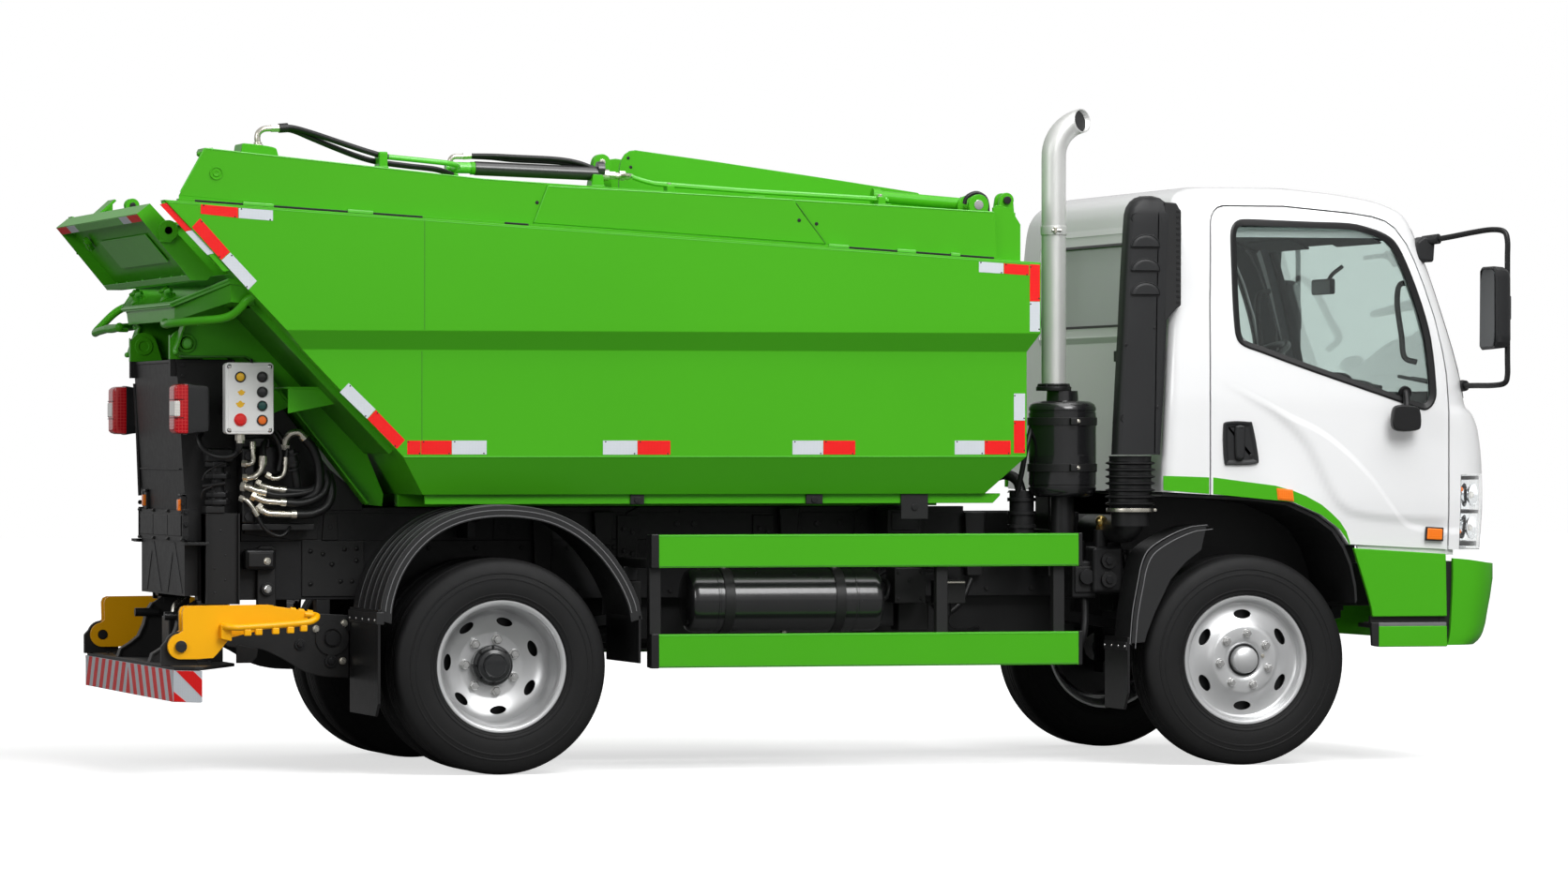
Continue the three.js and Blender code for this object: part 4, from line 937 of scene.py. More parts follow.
# each fixing as stacked drums: sides (0: the tree's own input), radius, height, lift, top radius
HEADS = {
    "rivet": [(0, 0.5, 0.35, -0.05, 0.48), (0, 0.48, 0.4, 0.3, 0.36), (0, 0.36, 0.25, 0.7, 0.12)],
    "screw": [(0, 0.5, 0.55, -0.05, 0.5), (0, 0.5, 0.3, 0.5, 0.38), (6, 0.2, 0.1, 0.78, 0.16)],
    "bolt": [(16, 0.66, 0.25, -0.05, 0.66), (6, 0.54, 0.62, 0.2, 0.54),
             (6, 0.54, 0.12, 0.82, 0.44)],
    "nut": [(18, 0.66, 0.22, -0.05, 0.60), (6, 0.55, 0.42, 0.17, 0.55), (6, 0.55, 0.08, 0.59, 0.46),
            (12, 0.30, 0.45, 0.4, 0.28)],
}


def fixing_tree(kind):
    """Stands one fixing on every point, along its aim and to its own width and height."""
    tree, sockets, start, end = new_geometry_tree(
        f"stand_{kind}", [("Sides", "NodeSocketInt", 12), ("Finish", "NodeSocketMaterial", None)])
    join = tree.nodes.new("GeometryNodeJoinGeometry")
    for sides, radius, height, lift, top in HEADS[kind]:
        count = sides or start.outputs["Sides"]
        tree.links.new(drum(tree, count, radius, height, lift, top), join.inputs[0])
    turn = tree.nodes.new("FunctionNodeAlignRotationToVector")
    turn.axis = "Z"
    tree.links.new(named(tree, "aim", "FLOAT_VECTOR"), turn.inputs["Vector"])
    stand = tree.nodes.new("GeometryNodeInstanceOnPoints")
    tree.links.new(start.outputs["Geometry"], stand.inputs["Points"])
    tree.links.new(join.outputs[0], stand.inputs["Instance"])
    tree.links.new(turn.outputs[0], stand.inputs["Rotation"])
    tree.links.new(named(tree, "size", "FLOAT_VECTOR"), stand.inputs["Scale"])
    real = tree.nodes.new("GeometryNodeRealizeInstances")
    paint = tree.nodes.new("GeometryNodeSetMaterial")
    tree.links.new(stand.outputs[0], real.inputs[0])
    tree.links.new(real.outputs[0], paint.inputs["Geometry"])
    tree.links.new(start.outputs["Finish"], paint.inputs["Material"])
    tree.links.new(paint.outputs[0], end.inputs[0])
    return tree, sockets


def outward(mesh):
    """Turns every closed part of a mesh to face outwards."""
    solid = bmesh.new()
    solid.from_mesh(mesh)
    bmesh.ops.remove_doubles(solid, verts=solid.verts, dist=1e-7)
    bmesh.ops.recalc_face_normals(solid, faces=solid.faces)
    solid.to_mesh(mesh)
    solid.free()
    return mesh


def make_fixings():
    """Turns the booked fixings into one mesh for each body, kind and finish."""
    trees = {}
    for (body, kind, paint), spots in sorted(FIXINGS.items()):
        if kind not in trees:
            trees[kind] = fixing_tree(kind)
        tree, sockets = trees[kind]
        mesh = bpy.data.meshes.new("points")
        mesh.from_pydata([tuple(s[0]) for s in spots], [], [])
        aims = mesh.attributes.new("aim", "FLOAT_VECTOR", "POINT")
        sizes = mesh.attributes.new("size", "FLOAT_VECTOR", "POINT")
        for i, (_, aim, width, height) in enumerate(spots):
            aims.data[i].vector = aim
            sizes.data[i].vector = (width / 1000, width / 1000, height / 1000)
        made = run_tree("fixings", mesh, tree,
                        {sockets["Sides"]: 12, sockets["Finish"]: finish(paint)})
        made.materials.clear()
        made.materials.append(finish(paint))
        made.polygons.foreach_set("material_index", [0] * len(made.polygons))
        settle(f"{kind}s_{body}_{paint}", outward(made), body, "trim")


def around_tree():
    """Repeats the incoming block round an axle along y."""
    tree, sockets, start, end = new_geometry_tree(
        "blocks_round_axle",
        [("Count", "NodeSocketInt", 60), ("Axle", "NodeSocketVector", None),
         ("Phase", "NodeSocketFloat", 0.0), ("Finish", "NodeSocketMaterial", None)])
    points = tree.nodes.new("GeometryNodePoints")
    tree.links.new(start.outputs["Count"], points.inputs["Count"])
    tree.links.new(start.outputs["Axle"], points.inputs["Position"])
    index = tree.nodes.new("GeometryNodeInputIndex")
    step = tree.nodes.new("ShaderNodeMath")
    step.operation = "DIVIDE"
    step.inputs[0].default_value = 2 * math.pi
    tree.links.new(start.outputs["Count"], step.inputs[1])
    turn = tree.nodes.new("ShaderNodeMath")
    turn.operation = "MULTIPLY_ADD"
    tree.links.new(index.outputs[0], turn.inputs[0])
    tree.links.new(step.outputs[0], turn.inputs[1])
    tree.links.new(start.outputs["Phase"], turn.inputs[2])
    spin = tree.nodes.new("ShaderNodeCombineXYZ")
    tree.links.new(turn.outputs[0], spin.inputs["Y"])
    stand = tree.nodes.new("GeometryNodeInstanceOnPoints")
    tree.links.new(points.outputs[0], stand.inputs["Points"])
    tree.links.new(start.outputs["Geometry"], stand.inputs["Instance"])
    tree.links.new(spin.outputs[0], stand.inputs["Rotation"])
    real = tree.nodes.new("GeometryNodeRealizeInstances")
    paint = tree.nodes.new("GeometryNodeSetMaterial")
    tree.links.new(stand.outputs[0], real.inputs[0])
    tree.links.new(real.outputs[0], paint.inputs["Geometry"])
    tree.links.new(start.outputs["Finish"], paint.inputs["Material"])
    tree.links.new(paint.outputs[0], end.inputs[0])
    return tree, sockets


def around_axle(piece, shape, count, axle, paint, phase=0.0):
    """Adds a shape, drawn about the axle's own centre, repeated round it to a piece."""
    if "around" not in MADE:
        MADE["around"] = around_tree()
    tree, sockets = MADE["around"]
    mesh = bpy.data.meshes.new("block")
    mesh.from_pydata([tuple(p - place((0, 0, 0))) for p in shape.points], [], shape.faces)
    made = run_tree("blocks", mesh, tree, {
        sockets["Count"]: count, sockets["Axle"]: tuple(place(axle)), sockets["Phase"]: phase,
        sockets["Finish"]: finish(paint)})
    solid = bmesh.new()
    solid.from_mesh(outward(made))
    piece.take(solid, paint)


# ---------------------------------------------------------------- wheels

FRONT_Y, TWIN_Y, TWIN_SPREAD = 832, 730, 125

def tyre_profile():
    """Half of a tyre's section as (radius, height), from the tread's middle to the bead."""
    tread = [(TYRE_R - 0.4, 0)]
    for groove in (20, 46):
        for reach, drop in ((0, 0), (1, 7), (6, 7), (7, 0.4)):
            tread.append((TYRE_R - 0.4 - drop, groove + reach))
    shoulder = [(TYRE_R - 1.2, 72), (386.5, 84), (381, 93), (374, 99), (362, 104.5), (350, 108)]
    side = [(341, 109.5), (339.5, 111.5), (336, 111.8), (334, 110), (322, 111.6), (320.5, 113),
            (316, 113.2), (314.5, 111.8), (300, 112.6), (286, 112.8), (272, 111.4), (264, 110.2),
            (262.5, 111.8), (259.5, 111.6), (258, 109.4), (251, 107), (249.5, 108.4),
            (246.5, 107.4), (245, 103), (240, 97), (235.5, 90), (232, 80)]
    return tread + shoulder + side


def build_tyre(name, body, node, x, y, side):
    """One radial tyre with grooves, shoulder blocks and sidewall lines."""
    half = tyre_profile()
    loop = half + [(r, -h) for r, h in half[:0:-1]]
    piece = Piece(name, side)
    piece.lathe((x, y, TYRE_R), OUT, loop, "tyre_rubber", sides=112)
    count = bpy.context.scene.truck_sizes.sipes
    for face in (-1, 1):
        block = Piece("block")
        foot, crest, deep = 105.5 * face, 84 * face, 6 * face
        shape = []
        for across in (-1, 1):
            shape += [(across * 3.6, foot, 355), (across * 3.9, crest, 386.2),
                      (across * 3.9, crest - deep, 386.2), (across * 3.6, foot - deep, 355)]
        block.add(shape, [(0, 1, 2, 3), (7, 6, 5, 4), (0, 4, 5, 1), (1, 5, 6, 2), (2, 6, 7, 3),
                          (3, 7, 4, 0)], "tyre_rubber")
        around_axle(piece, block, count, (x, side * y, TYRE_R), "tyre_rubber",
                    phase=0.02 * (face + 1))
    return piece.make(body, "tyre", node)


def barrel(piece, x, y, lip, inner, way=1):
    """The rim's barrel, outer lip to inner one; heights measured from the tyre's middle."""
    outside = [(213, lip - 44), (216, lip - 30), (219, lip - 26), (221, lip - 8), (226, lip - 2),
               (232, lip), (238, lip - 0.5), (240.6, lip - 4), (240, lip - 8), (235, lip - 11),
               (231, lip - 16), (229.8, lip - 22)]
    inside = [(229.8, inner + 22), (236, inner + 9), (240.4, inner + 5), (238, inner),
              (230, inner + 1), (222, inner + 8), (217, inner + 34), (204, inner + 60),
              (203, lip - 78)]
    profile = [(r, h * way) for r, h in outside + inside]
    piece.lathe((x, y, TYRE_R), OUT, profile, "wheel_silver", sides=96)


def oval_holes(x, low, high, count, radius, half_long, half_high, phase=0.0):
    """Cutters for a disc's hand holes."""
    tools = []
    for i in range(count):
        turn = math.tau * i / count + phase
        outline = []
        for k in range(20):
            angle = math.tau * k / 20
            a, b = half_long * math.cos(angle), radius + half_high * math.sin(angle)
            outline.append((x + b * math.sin(turn) + a * math.cos(turn),
                            TYRE_R + b * math.cos(turn) - a * math.sin(turn)))
        tools.append((outline, low, high))
    return tools


def disc(piece, x, profile, y, side, holes):
    """A wheel disc with its hand holes cut."""
    shape = Piece("disc", side)
    shape.lathe((x, y, TYRE_R), OUT, profile, "wheel_silver", sides=96)
    tools = [prism_solid("y", *hole, side) for hole in holes]
    solid = combine(gathered(shape), tools)
    round_edges(solid, 1.2, 2, 40)
    piece.take(solid, "wheel_silver")


def fixing_circle(body, kind, paint, x, y, side, count, circle, width, height, phase=0.0):
    """Nuts or bolts on a circle about a wheel's axle, booked as fixings."""
    for i in range(count):
        turn = math.tau * i / count + phase
        spot = (x + circle * math.sin(turn), y, TYRE_R + circle * math.cos(turn))
        fix(body, kind, paint, spot, OUT, width, height, side)


def build_front_wheel(word, side):
    """Front tyre and its domed disc wheel."""
    sizes = bpy.context.scene.truck_sizes
    body = f"wheel_front_{word}"
    x = WHEELBASE
    build_tyre(f"front_tread_{word}", body, f"front_tyre_{word}", x, FRONT_Y, side)
    piece = Piece(f"front_wheel_{word}", side)
    barrel(piece, x, FRONT_Y, 101, -101)
    face = [(58, 72), (62, 78), (70, 82), (82, 84), (118, 84), (127, 81), (136, 74), (150, 66),
            (166, 60), (182, 56), (196, 54), (206, 54), (211, 57), (214, 60)]
    back = [(r, h - 9) for r, h in face[::-1]]
    holes = oval_holes(x, FRONT_Y, FRONT_Y + 100, sizes.front_holes, 170, 34, 17)
    disc(piece, x, face + back, FRONT_Y, side, holes)
    hub_cap = [(0, 20), (57, 20), (57, 66), (52, 76), (49, 82), (49, 96), (46, 102), (38, 107),
               (24, 110.5), (10, 111.6), (0, 111.8)]
    piece.lathe((x, FRONT_Y, TYRE_R), OUT, hub_cap, "wheel_silver", sides=64)
    piece.ring((x, FRONT_Y + 70, TYRE_R), OUT, 50, 59, 7, "dark_metal", 64)
    drum_face = [(56, 20), (56, 12), (182, 12), (182, -40), (190, -40), (190, 20)]
    piece.lathe((x, FRONT_Y, TYRE_R), OUT, drum_face, "dark_metal", sides=64)
    piece.make(body, "rim", f"front_rim_{word}")
    fixing_circle(body, "nut", "bright_steel", x, FRONT_Y + 84, side, sizes.wheel_nuts, 98, 27, 26,
                  0.1)
    fix(body, "bolt", "zinc", (x + 72, FRONT_Y + 84, TYRE_R + 14), OUT, 11, 8, side)


def build_rear_wheel(word, side):
    """Twin rear tyres, the deep outer wheel and the plain inner one."""
    sizes = bpy.context.scene.truck_sizes
    body = f"wheel_rear_{word}"
    outer, inner = TWIN_Y + TWIN_SPREAD, TWIN_Y - TWIN_SPREAD
    build_tyre(f"rear_outer_tread_{word}", body, f"rear_outer_tyre_{word}", 0, outer, side)
    build_tyre(f"rear_inner_tread_{word}", body, f"rear_inner_tyre_{word}", 0, inner, side)
    piece = Piece(f"rear_wheels_{word}", side)
    barrel(piece, 0, outer, 101, -101)
    barrel(piece, 0, inner, 101, -101, -1)
    face = [(62, 40), (66, 45), (114, 45), (122, 47), (134, 50), (150, 55), (164, 60), (178, 68),
            (190, 78), (200, 91), (204, 97), (206, 103)]
    back = [(r, h - 9) for r, h in face[::-1]]
    for way, low, high in ((1, TWIN_Y, TWIN_Y + 110), (-1, TWIN_Y - 110, TWIN_Y)):
        holes = oval_holes(0, low, high, sizes.rear_holes, 164, 31, 15, 0.3)
        disc(piece, 0, [(r, h * way) for r, h in face + back], TWIN_Y, side, holes)
    for radius, height in ((209, 150), (212, 176)):
        piece.ring((0, TWIN_Y + height, TYRE_R), OUT, radius, radius + 7, 5, "wheel_silver", 96,
                   1.5)
    piece.lathe((0, TWIN_Y, TYRE_R), OUT, [(0, -150), (60, -150), (62, -45), (62, 45), (0, 45)],
                "dark_metal", sides=48)
    hub_cap = [(0, 44), (72, 44), (74, 48), (74, 84), (71, 88), (62, 90), (60, 93), (60, 112),
               (57, 117), (45, 120), (43, 123), (42, 131), (38, 135), (0, 136)]
    piece.lathe((0, TWIN_Y, TYRE_R), OUT, hub_cap, "button_black", sides=64)
    piece.lathe((0, TWIN_Y, TYRE_R), OUT, [(61, -8), (61, 8), (190, 8), (190, -8)], "dark_metal",
                sides=64)
    piece.make(body, "rim", f"rear_rims_{word}")
    fixing_circle(body, "nut", "bright_steel", 0, TWIN_Y + 45, side, sizes.wheel_nuts, 96, 30, 34,
                  0.25)
    fixing_circle(body, "bolt", "dark_metal", 0, TWIN_Y + 88.5, side, sizes.hub_bolts, 66, 8, 5)


# ---------------------------------------------------------------- tub

UPPER, LOWER = 1010, 965  # half widths of the tub above and below its crease
TOP_REAR, TOP_FRONT = (-1242, 2061), (2018, 1860)


def tub_top(x):
    """Height of the tub's top edge."""
    share = (x - TOP_REAR[0]) / (TOP_FRONT[0] - TOP_REAR[0])
    return TOP_REAR[1] + share * (TOP_FRONT[1] - TOP_REAR[1])


# reflective strips: colour, plane, outline (x, z)
TAPES = [
    ("red_tape", UPPER, [(-1110, 2046), (-975, 2035), (-975, 1998), (-1110, 2012)]),
    ("white_tape", UPPER, [(-973, 2034), (-849, 2026), (-849, 1989), (-973, 1998)]),
    ("red_tape", UPPER, [(-1112, 1996), (-1142, 1964), (-1036, 1848), (-1004, 1877)]),
    ("white_tape", UPPER, [(-1003, 1875), (-1035, 1847), (-938, 1743), (-907, 1774)]),
    ("white_tape", LOWER, [(-564, 1412), (-597, 1379), (-497, 1284), (-466, 1318)]),
    ("red_tape", LOWER, [(-465, 1316), (-496, 1283), (-388, 1176), (-358, 1208)]),
    ("red_tape", LOWER, [(-350, 1206), (-301, 1206), (-301, 1156), (-350, 1156)]),
    ("red_tape", LOWER, [(-299, 1206), (-187, 1206), (-187, 1156), (-299, 1156)]),
    ("white_tape", LOWER, [(-186, 1206), (-58, 1206), (-58, 1156), (-186, 1156)]),
    ("white_tape", LOWER, [(373, 1206), (501, 1206), (501, 1155), (373, 1155)]),
    ("red_tape", LOWER, [(502, 1206), (625, 1206), (625, 1155), (502, 1155)]),
    ("white_tape", LOWER, [(1084, 1206), (1200, 1206), (1200, 1155), (1084, 1155)]),
    ("red_tape", LOWER, [(1201, 1206), (1322, 1206), (1322, 1155), (1201, 1155)]),
    ("white_tape", LOWER, [(1701, 1206), (1815, 1206), (1815, 1155), (1701, 1155)]),
    ("red_tape", LOWER, [(1816, 1206), (1916, 1206), (1916, 1155), (1816, 1155)]),
    ("white_tape", LOWER, [(1928, 1379), (1971, 1379), (1971, 1280), (1928, 1280)]),
    ("red_tape", LOWER, [(1928, 1279), (1971, 1279), (1971, 1160), (1928, 1160)]),
    ("white_tape", UPPER, [(1780, 1862), (1874, 1856), (1874, 1818), (1780, 1823)]),
    ("red_tape", UPPER, [(1876, 1856), (1972, 1850), (1972, 1812), (1876, 1818)]),
    ("red_tape", UPPER, [(1975, 1854), (2014, 1852), (2014, 1717), (1975, 1717)]),
    ("white_tape", UPPER, [(1975, 1716), (2014, 1716), (2014, 1606), (1975, 1606)]),
]


def build_tub():
    """Tub with its seams, painted highlight strips and reflective strips, on both sides."""
    body = rounded(Piece("tub_body"), "tub_shell", "green_paint", 4.0, 3)
    seam_x = -296
    for seams in body.sides():
        for plane, low, high in ((UPPER, 1604, tub_top(seam_x) - 2), (LOWER, 1152, 1528)):
            seams.box((seam_x - 1.2, plane - 1, low), (seam_x + 1.2, plane + 0.5, high),
                      "green_shadow", 0.4, 1)
        # painted highlights: a light strip under the top edge and a thin light line on the lower
        # panel
        rail = [(TOP_REAR[0] + 16, TOP_REAR[1] - 10), (TOP_FRONT[0] - 2, TOP_FRONT[1] - 9),
                (TOP_FRONT[0] - 2, TOP_FRONT[1] - 6), (TOP_REAR[0] + 16, TOP_REAR[1] - 7)]
        seams.slab(rail, UPPER - 1, UPPER + 0.8, "green_light", 0.3, 1)
        low = [(-362, 1146), (1974, 1146), (1974, 1150), (-362, 1150)]
        seams.slab(low, LOWER - 1, LOWER + 0.9, "green_light", 0.3, 1)
    body.make("tub", "green_paint", "tub_shell")
    for word, side in SIDES:
        strips = Piece(f"tub_reflectors_{word}", side)
        for paint, plane, outline in TAPES:
            strips.slab(outline, plane - 0.4, plane + 0.9, paint, 0.3, 1)
            middle = [sum(p[k] for p in outline) / 4 for k in (0, 1)]
            for corner in (outline[0], outline[2]):
                spot = [c + 0.16 * (m - c) for c, m in zip(corner, middle)]
                fix("tub", "rivet", "dark_metal", (spot[0], plane + 0.7, spot[1]), OUT, 6, 2, side)
        strips.make("tub", "red_lens")


# ---------------------------------------------------------------- cab

CAB_LEVELS = [
    # height, back, front, half width, corner width
    (798, 2494, 3840, 975, 190), (1000, 2500, 3850, 985, 200), (1120, 2506, 3846, 985, 200),
    (1240, 2512, 3832, 985, 200), (1305, 2515, 3808, 985, 200), (1335, 2517, 3780, 985, 200),
    (1437, 2523, 3761, 980, 200), (1700, 2540, 3690, 956, 200), (1990, 2556, 3588, 926, 190),
    (2050, 2562, 3556, 907, 180), (2095, 2578, 3480, 872, 170), (2126, 2610, 3350, 826, 160),
    (2152, 2680, 3140, 760, 150),
]
NOSE_CORNER, NOSE_BOW, CAB_WALL = 150, 35, 45
ARCH = [(2400, 600), (2400, 1022), (2688, 1006), (2850, 998), (3005, 978), (3120, 930), (3190, 880),
        (3232, 820), (3640, 799), (3640, 600)]
CAB_FLOOR = [(2400, 600), (2400, 1060), (3020, 1060), (3150, 1010), (3225, 945), (3275, 850),
             (3900, 850), (3900, 600)]
DOOR = [(2686, 700), (2686, 1380), (2694, 1700), (2706, 1990), (2708, 2016), (2715, 2038),
        (2727, 2056), (2743, 2069), (2766, 2076), (3001, 2076), (3262, 2052), (3342, 2040),
        (3392, 2024), (3430, 1998), (3476, 1939), (3507, 1876), (3544, 1781), (3581, 1665),
        (3606, 1537), (3616, 1455), (3620, 1339), (3620, 700)]
DOOR_WINDOW = [(2795, 1735), (2794, 1975), (2815, 2016), (3246, 2003), (3321, 1988), (3387, 1963),
               (3427, 1926), (3471, 1830), (3515, 1704), (3544, 1581), (3558, 1423), (3556, 1366),
               (3534, 1336), (3504, 1339), (3435, 1362), (3234, 1428), (3033, 1495), (2844, 1561),
               (2805, 1592)]
WINDOW_RUBBER = [(2795, 1735), (2794, 1850), (2794, 1940), (2796, 1976), (2804, 1999), (2822, 2012),
                 (2850, 2015), (2950, 2012), (3100, 2007), *DOOR_WINDOW[3:17], (2890, 1546),
                 (2844, 1561), (2818, 1574), (2805, 1592), (2799, 1630)]
WINDSCREEN = [(-848, 1372), (848, 1372), (864, 1396), (784, 1985), (760, 2005), (-760, 2005),
              (-784, 1985), (-864, 1396)]
REAR_WINDOW = [(-600, 1640), (600, 1640), (620, 1660), (620, 1930), (600, 1950), (-600, 1950),
               (-620, 1930), (-620, 1660)]
HEADLIGHT = [(3668, 802), (3900, 802), (3900, 1080), (3672, 1080)]


def cab_section(height, inset):
    """The cab's level section at a height, moved inwards: back, front, half width and corner."""
    levels = CAB_LEVELS
    k = max(i for i in range(len(levels) - 1) if i == 0 or levels[i][0] <= height + 1e-6)
    low, high = levels[k], levels[k + 1]
    t = (height - low[0]) / (high[0] - low[0])
    before, after = levels[max(k - 1, 0)], levels[min(k + 2, len(levels) - 1)]
    values = []
    for i in range(1, 5):
        span = high[0] - low[0]
        slope = (high[i] - low[i]) / span
        into = (low[i] - before[i]) / (low[0] - before[0]) if k else slope
        out = (after[i] - high[i]) / (after[0] - high[0]) if k + 2 < len(levels) else slope
        first = 0 if into * slope <= 0 else 2 * into * slope / (into + slope)
        last = 0 if out * slope <= 0 else 2 * out * slope / (out + slope)
        if k == 0:
            first = slope
        if k + 2 >= len(levels):
            last = slope
        t2, t3 = t * t, t * t * t
        values.append(low[i] * (2 * t3 - 3 * t2 + 1) + high[i] * (3 * t2 - 2 * t3)
                      + first * span * (t3 - 2 * t2 + t) + last * span * (t3 - t2))
    back, front, half, corner = values
    return back + inset, front - inset, half - inset, corner


PRESS_LINE = [(2700, 1440), (2790, 1408), (2870, 1366), (2944, 1318), (3012, 1262), (3064, 1205),
              (3110, 1120), (3150, 1040), (3186, 985), (3230, 952), (3290, 938), (3400, 926),
              (3620, 918)]


def press_depth(x, z):
    """How far the door's skin steps in below the pressed line."""
    line = PRESS_LINE
    if x <= line[0][0]:
        height = line[0][1]
    else:
        height = line[-1][1]
        for (x0, z0), (x1, z1) in zip(line, line[1:]):
            if x0 <= x <= x1:
                height = z0 + (z1 - z0) * (x - x0) / (x1 - x0)
                break
    below = min(1.0, max(0.0, (height - z) / 26))
    below = below * below * (3 - 2 * below)
    fade = min(1.0, max(0.0, (x - 2700) / 260)) * min(1.0, max(0.0, (3628 - x) / 40))
    foot = min(1.0, max(0.0, (height - z - 30) / 260))
    return 9.0 * below * fade * (1 - 0.85 * foot * foot)


def cab_solid(inset, pressed=False, step=14.0):
    """The cab's skin as one closed bmesh."""
    heights = [CAB_LEVELS[0][0] - (100 if inset > 0 else 0)]
    spot = CAB_LEVELS[0][0] + (0 if inset > 0 else step)
    while spot < 2000:
        heights.append(spot)
        spot += step
    heights += [2000 + 8 * i for i in range(20)]
    heights = [h for h in heights if h < 2151] + [2152]
    rings = []
    for height in heights:
        back, front, half, corner = cab_section(max(height, CAB_LEVELS[0][0]), inset)
        drop = inset if height > 2000 else 0
        start = front - NOSE_BOW - NOSE_CORNER
        xs = [back + 45 + (start - back - 45) * i / 70 for i in range(71)]
        side = [(back, half - 45), (back + 4, half - 29), (back + 14, half - 14),
                (back + 29, half - 4)]
        side += [(x, half - (press_depth(x, height) if pressed else 0)) for x in xs]
        for i in range(1, 13):
            angle = math.pi / 2 * i / 12
            side.append((start + NOSE_CORNER * math.sin(angle),
                         half - corner * (1 - math.cos(angle))))
        end_y = side[-1][1]
        for i in range(1, 9):
            y = end_y * (1 - i / 8)
            side.append((front - NOSE_BOW * (y / end_y) ** 2.2, y))
        ring = [(x, -y, height - drop) for x, y in side]
        ring += [(x, y, height - drop) for x, y in side[-2::-1]]
        rings.append(ring)
    shape = Piece("cab_form")
    shape.loft(rings, "cab_paint")
    return gathered(shape)


def side_cut(outline, side, start=700, end=1100):
    """A cutter through one side wall."""
    return prism_solid("y", outline, start, end, side)


def smooth_outline(outline, skip=(), step=3):
    """Rounds an outline through its points, except at the corners named by index."""
    points = []
    count = len(outline)
    for i in range(count):
        a, b, c, d = (Vector(outline[(i + k) % count]) for k in (-1, 0, 1, 2))
        if i in skip or (i + 1) % count in skip:
            points.append(tuple(b))
            continue
        for k in range(step):
            t = k / step
            spot = ((b * 2) + (c - a) * t + (a * 2 - b * 5 + c * 4 - d) * t * t
                    + (b * 3 - a - c * 3 + d) * t ** 3) / 2
            points.append(tuple(spot))
    return points


def build_cab():
    """Cab shell with its openings, and the doors."""
    floor = prism_solid("y", CAB_FLOOR, -1200, 1200)
    openings = [prism_solid("y", ARCH, -1200, 1200), combine(cab_solid(CAB_WALL), [floor])]
    for side in (RIGHT, LEFT):
        for opening, start in ((offset_outline(DOOR, 6), 700), (offset_outline(HEADLIGHT, 1), 650)):
            openings.append(combine(side_cut(opening, side, start),
                                    [cab_solid(CAB_WALL + 5, step=40)]))
    openings.append(prism_solid("x", WINDSCREEN, 3380, 3900))
    openings.append(prism_solid("x", REAR_WINDOW, 2400, 2700))
    shell = combine(cab_solid(0, True), openings)
    round_edges(shell, 1.6, 2, 50)
    piece = Piece("cab_panels")
    piece.take(shell, "cab_paint")
    # inner faces painted dark grey: painted shade inside the white panels
    piece.trim("white_inner", cab_half)
    link = [(3610, 805), (3766, 640)] + arc((3790, 650), 26, 215, 400, 10)
    link += [(3772, 735), (3770, 805)]
    for part in piece.sides():
        part.slab(link, 434, 450, "black_paint", 1.5)
        part.slab([(3268, 814), (3650, 814), (3650, 779), (3612, 779), (3272, 802)], 944, 958,
                  "cab_paint", 1)
    for part in piece.sides():
        cab_band(part, [(2500, 1076, 1023), (2600, 1073, 1015), (2678, 1070, 1009)])
    piece.make("cab", "white_paint", "cab_shell", angle=24)
    for word, side in SIDES:
        wall = combine(cab_solid(0, True), [cab_solid(CAB_WALL),
                                            prism_solid("y", ARCH, -1200, 1200)])
        panel = combine(wall, [side_cut(DOOR, side)], "INTERSECT")
        panel = combine(panel, [side_cut(DOOR_WINDOW, side)])
        round_edges(panel, 1.8, 2, 50)
        door = Piece(f"door_panels_{word}", side)
        door.take(panel, "cab_paint")
        # inner faces painted dark grey: painted shade inside the white panels
        door.trim("white_inner", cab_half)
        cab_band(door, [(2694, 1070, 1008), (2800, 1056, 998), (2937, 1039, 985), (3008, 1020, 978),
                        (3060, 1000, 956), (3122, 968, 930), (3160, 938, 903), (3196, 905, 876),
                        (3222, 868, 842), (3236, 828, 816)])
        door_furniture(door)
        door.make(f"door_{word}", "white_paint", f"door_{word}", angle=24)


def cab_half(z):
    """Half width of the cab at a height."""
    return cab_section(max(z, CAB_LEVELS[0][0]), 0)[2]


def cab_band(piece, spots):
    """The green edge that follows the wheel arch, on the skin."""
    rings = []
    for x, top, low in spots:
        half = cab_half((top + low) / 2) - press_depth(x, (top + low) / 2)
        rings.append([(x, half - 3, low), (x, half + 1.4, low), (x, half + 1.4, top),
                      (x, half - 3, top)])
    piece.loft(rings, "green_paint")


def door_furniture(door):
    """Handle, lamp and window rubber of one door."""
    skin = cab_half(1200)
    cup = smooth_outline([(2736, 1130), (2732, 1250), (2748, 1276), (2830, 1276), (2846, 1262),
                          (2868, 1146), (2856, 1120), (2756, 1116)], step=4)
    rings = []
    for inset, out in ((0, -6), (0, 8), (3, 11), (9, 10), (15, 6), (20, 5)):
        rings.append([(x, skin + out, z) for x, z in offset_outline(cup, -inset)])
    door.loft(rings, "grained_plastic")
    grip = smooth_outline([(2776, 1150), (2774, 1246), (2784, 1262), (2806, 1262), (2814, 1246),
                           (2812, 1150), (2802, 1136), (2786, 1136)], step=4)
    rings = []
    for inset, out in ((2, 2), (0, 9), (1, 16), (5, 21), (10, 23)):
        rings.append([(x, skin + out, z) for x, z in offset_outline(grip, -inset)])
    door.loft(rings, "grained_plastic")
    door.rod((2842, skin, 1148), (2842, skin + 6, 1148), 9, "dark_metal")
    marker = [(2946, 1026), (3002, 1020), (3006, 984), (2950, 990)]
    door.slab(offset_outline(marker, 4), skin - 8, skin + 3, "amber_lens", 2)
    door.slab(marker, skin, skin + 6, "amber_lens", 2, 3)
    frame_ring(door, WINDOW_RUBBER, 15, 9, "seal_rubber")


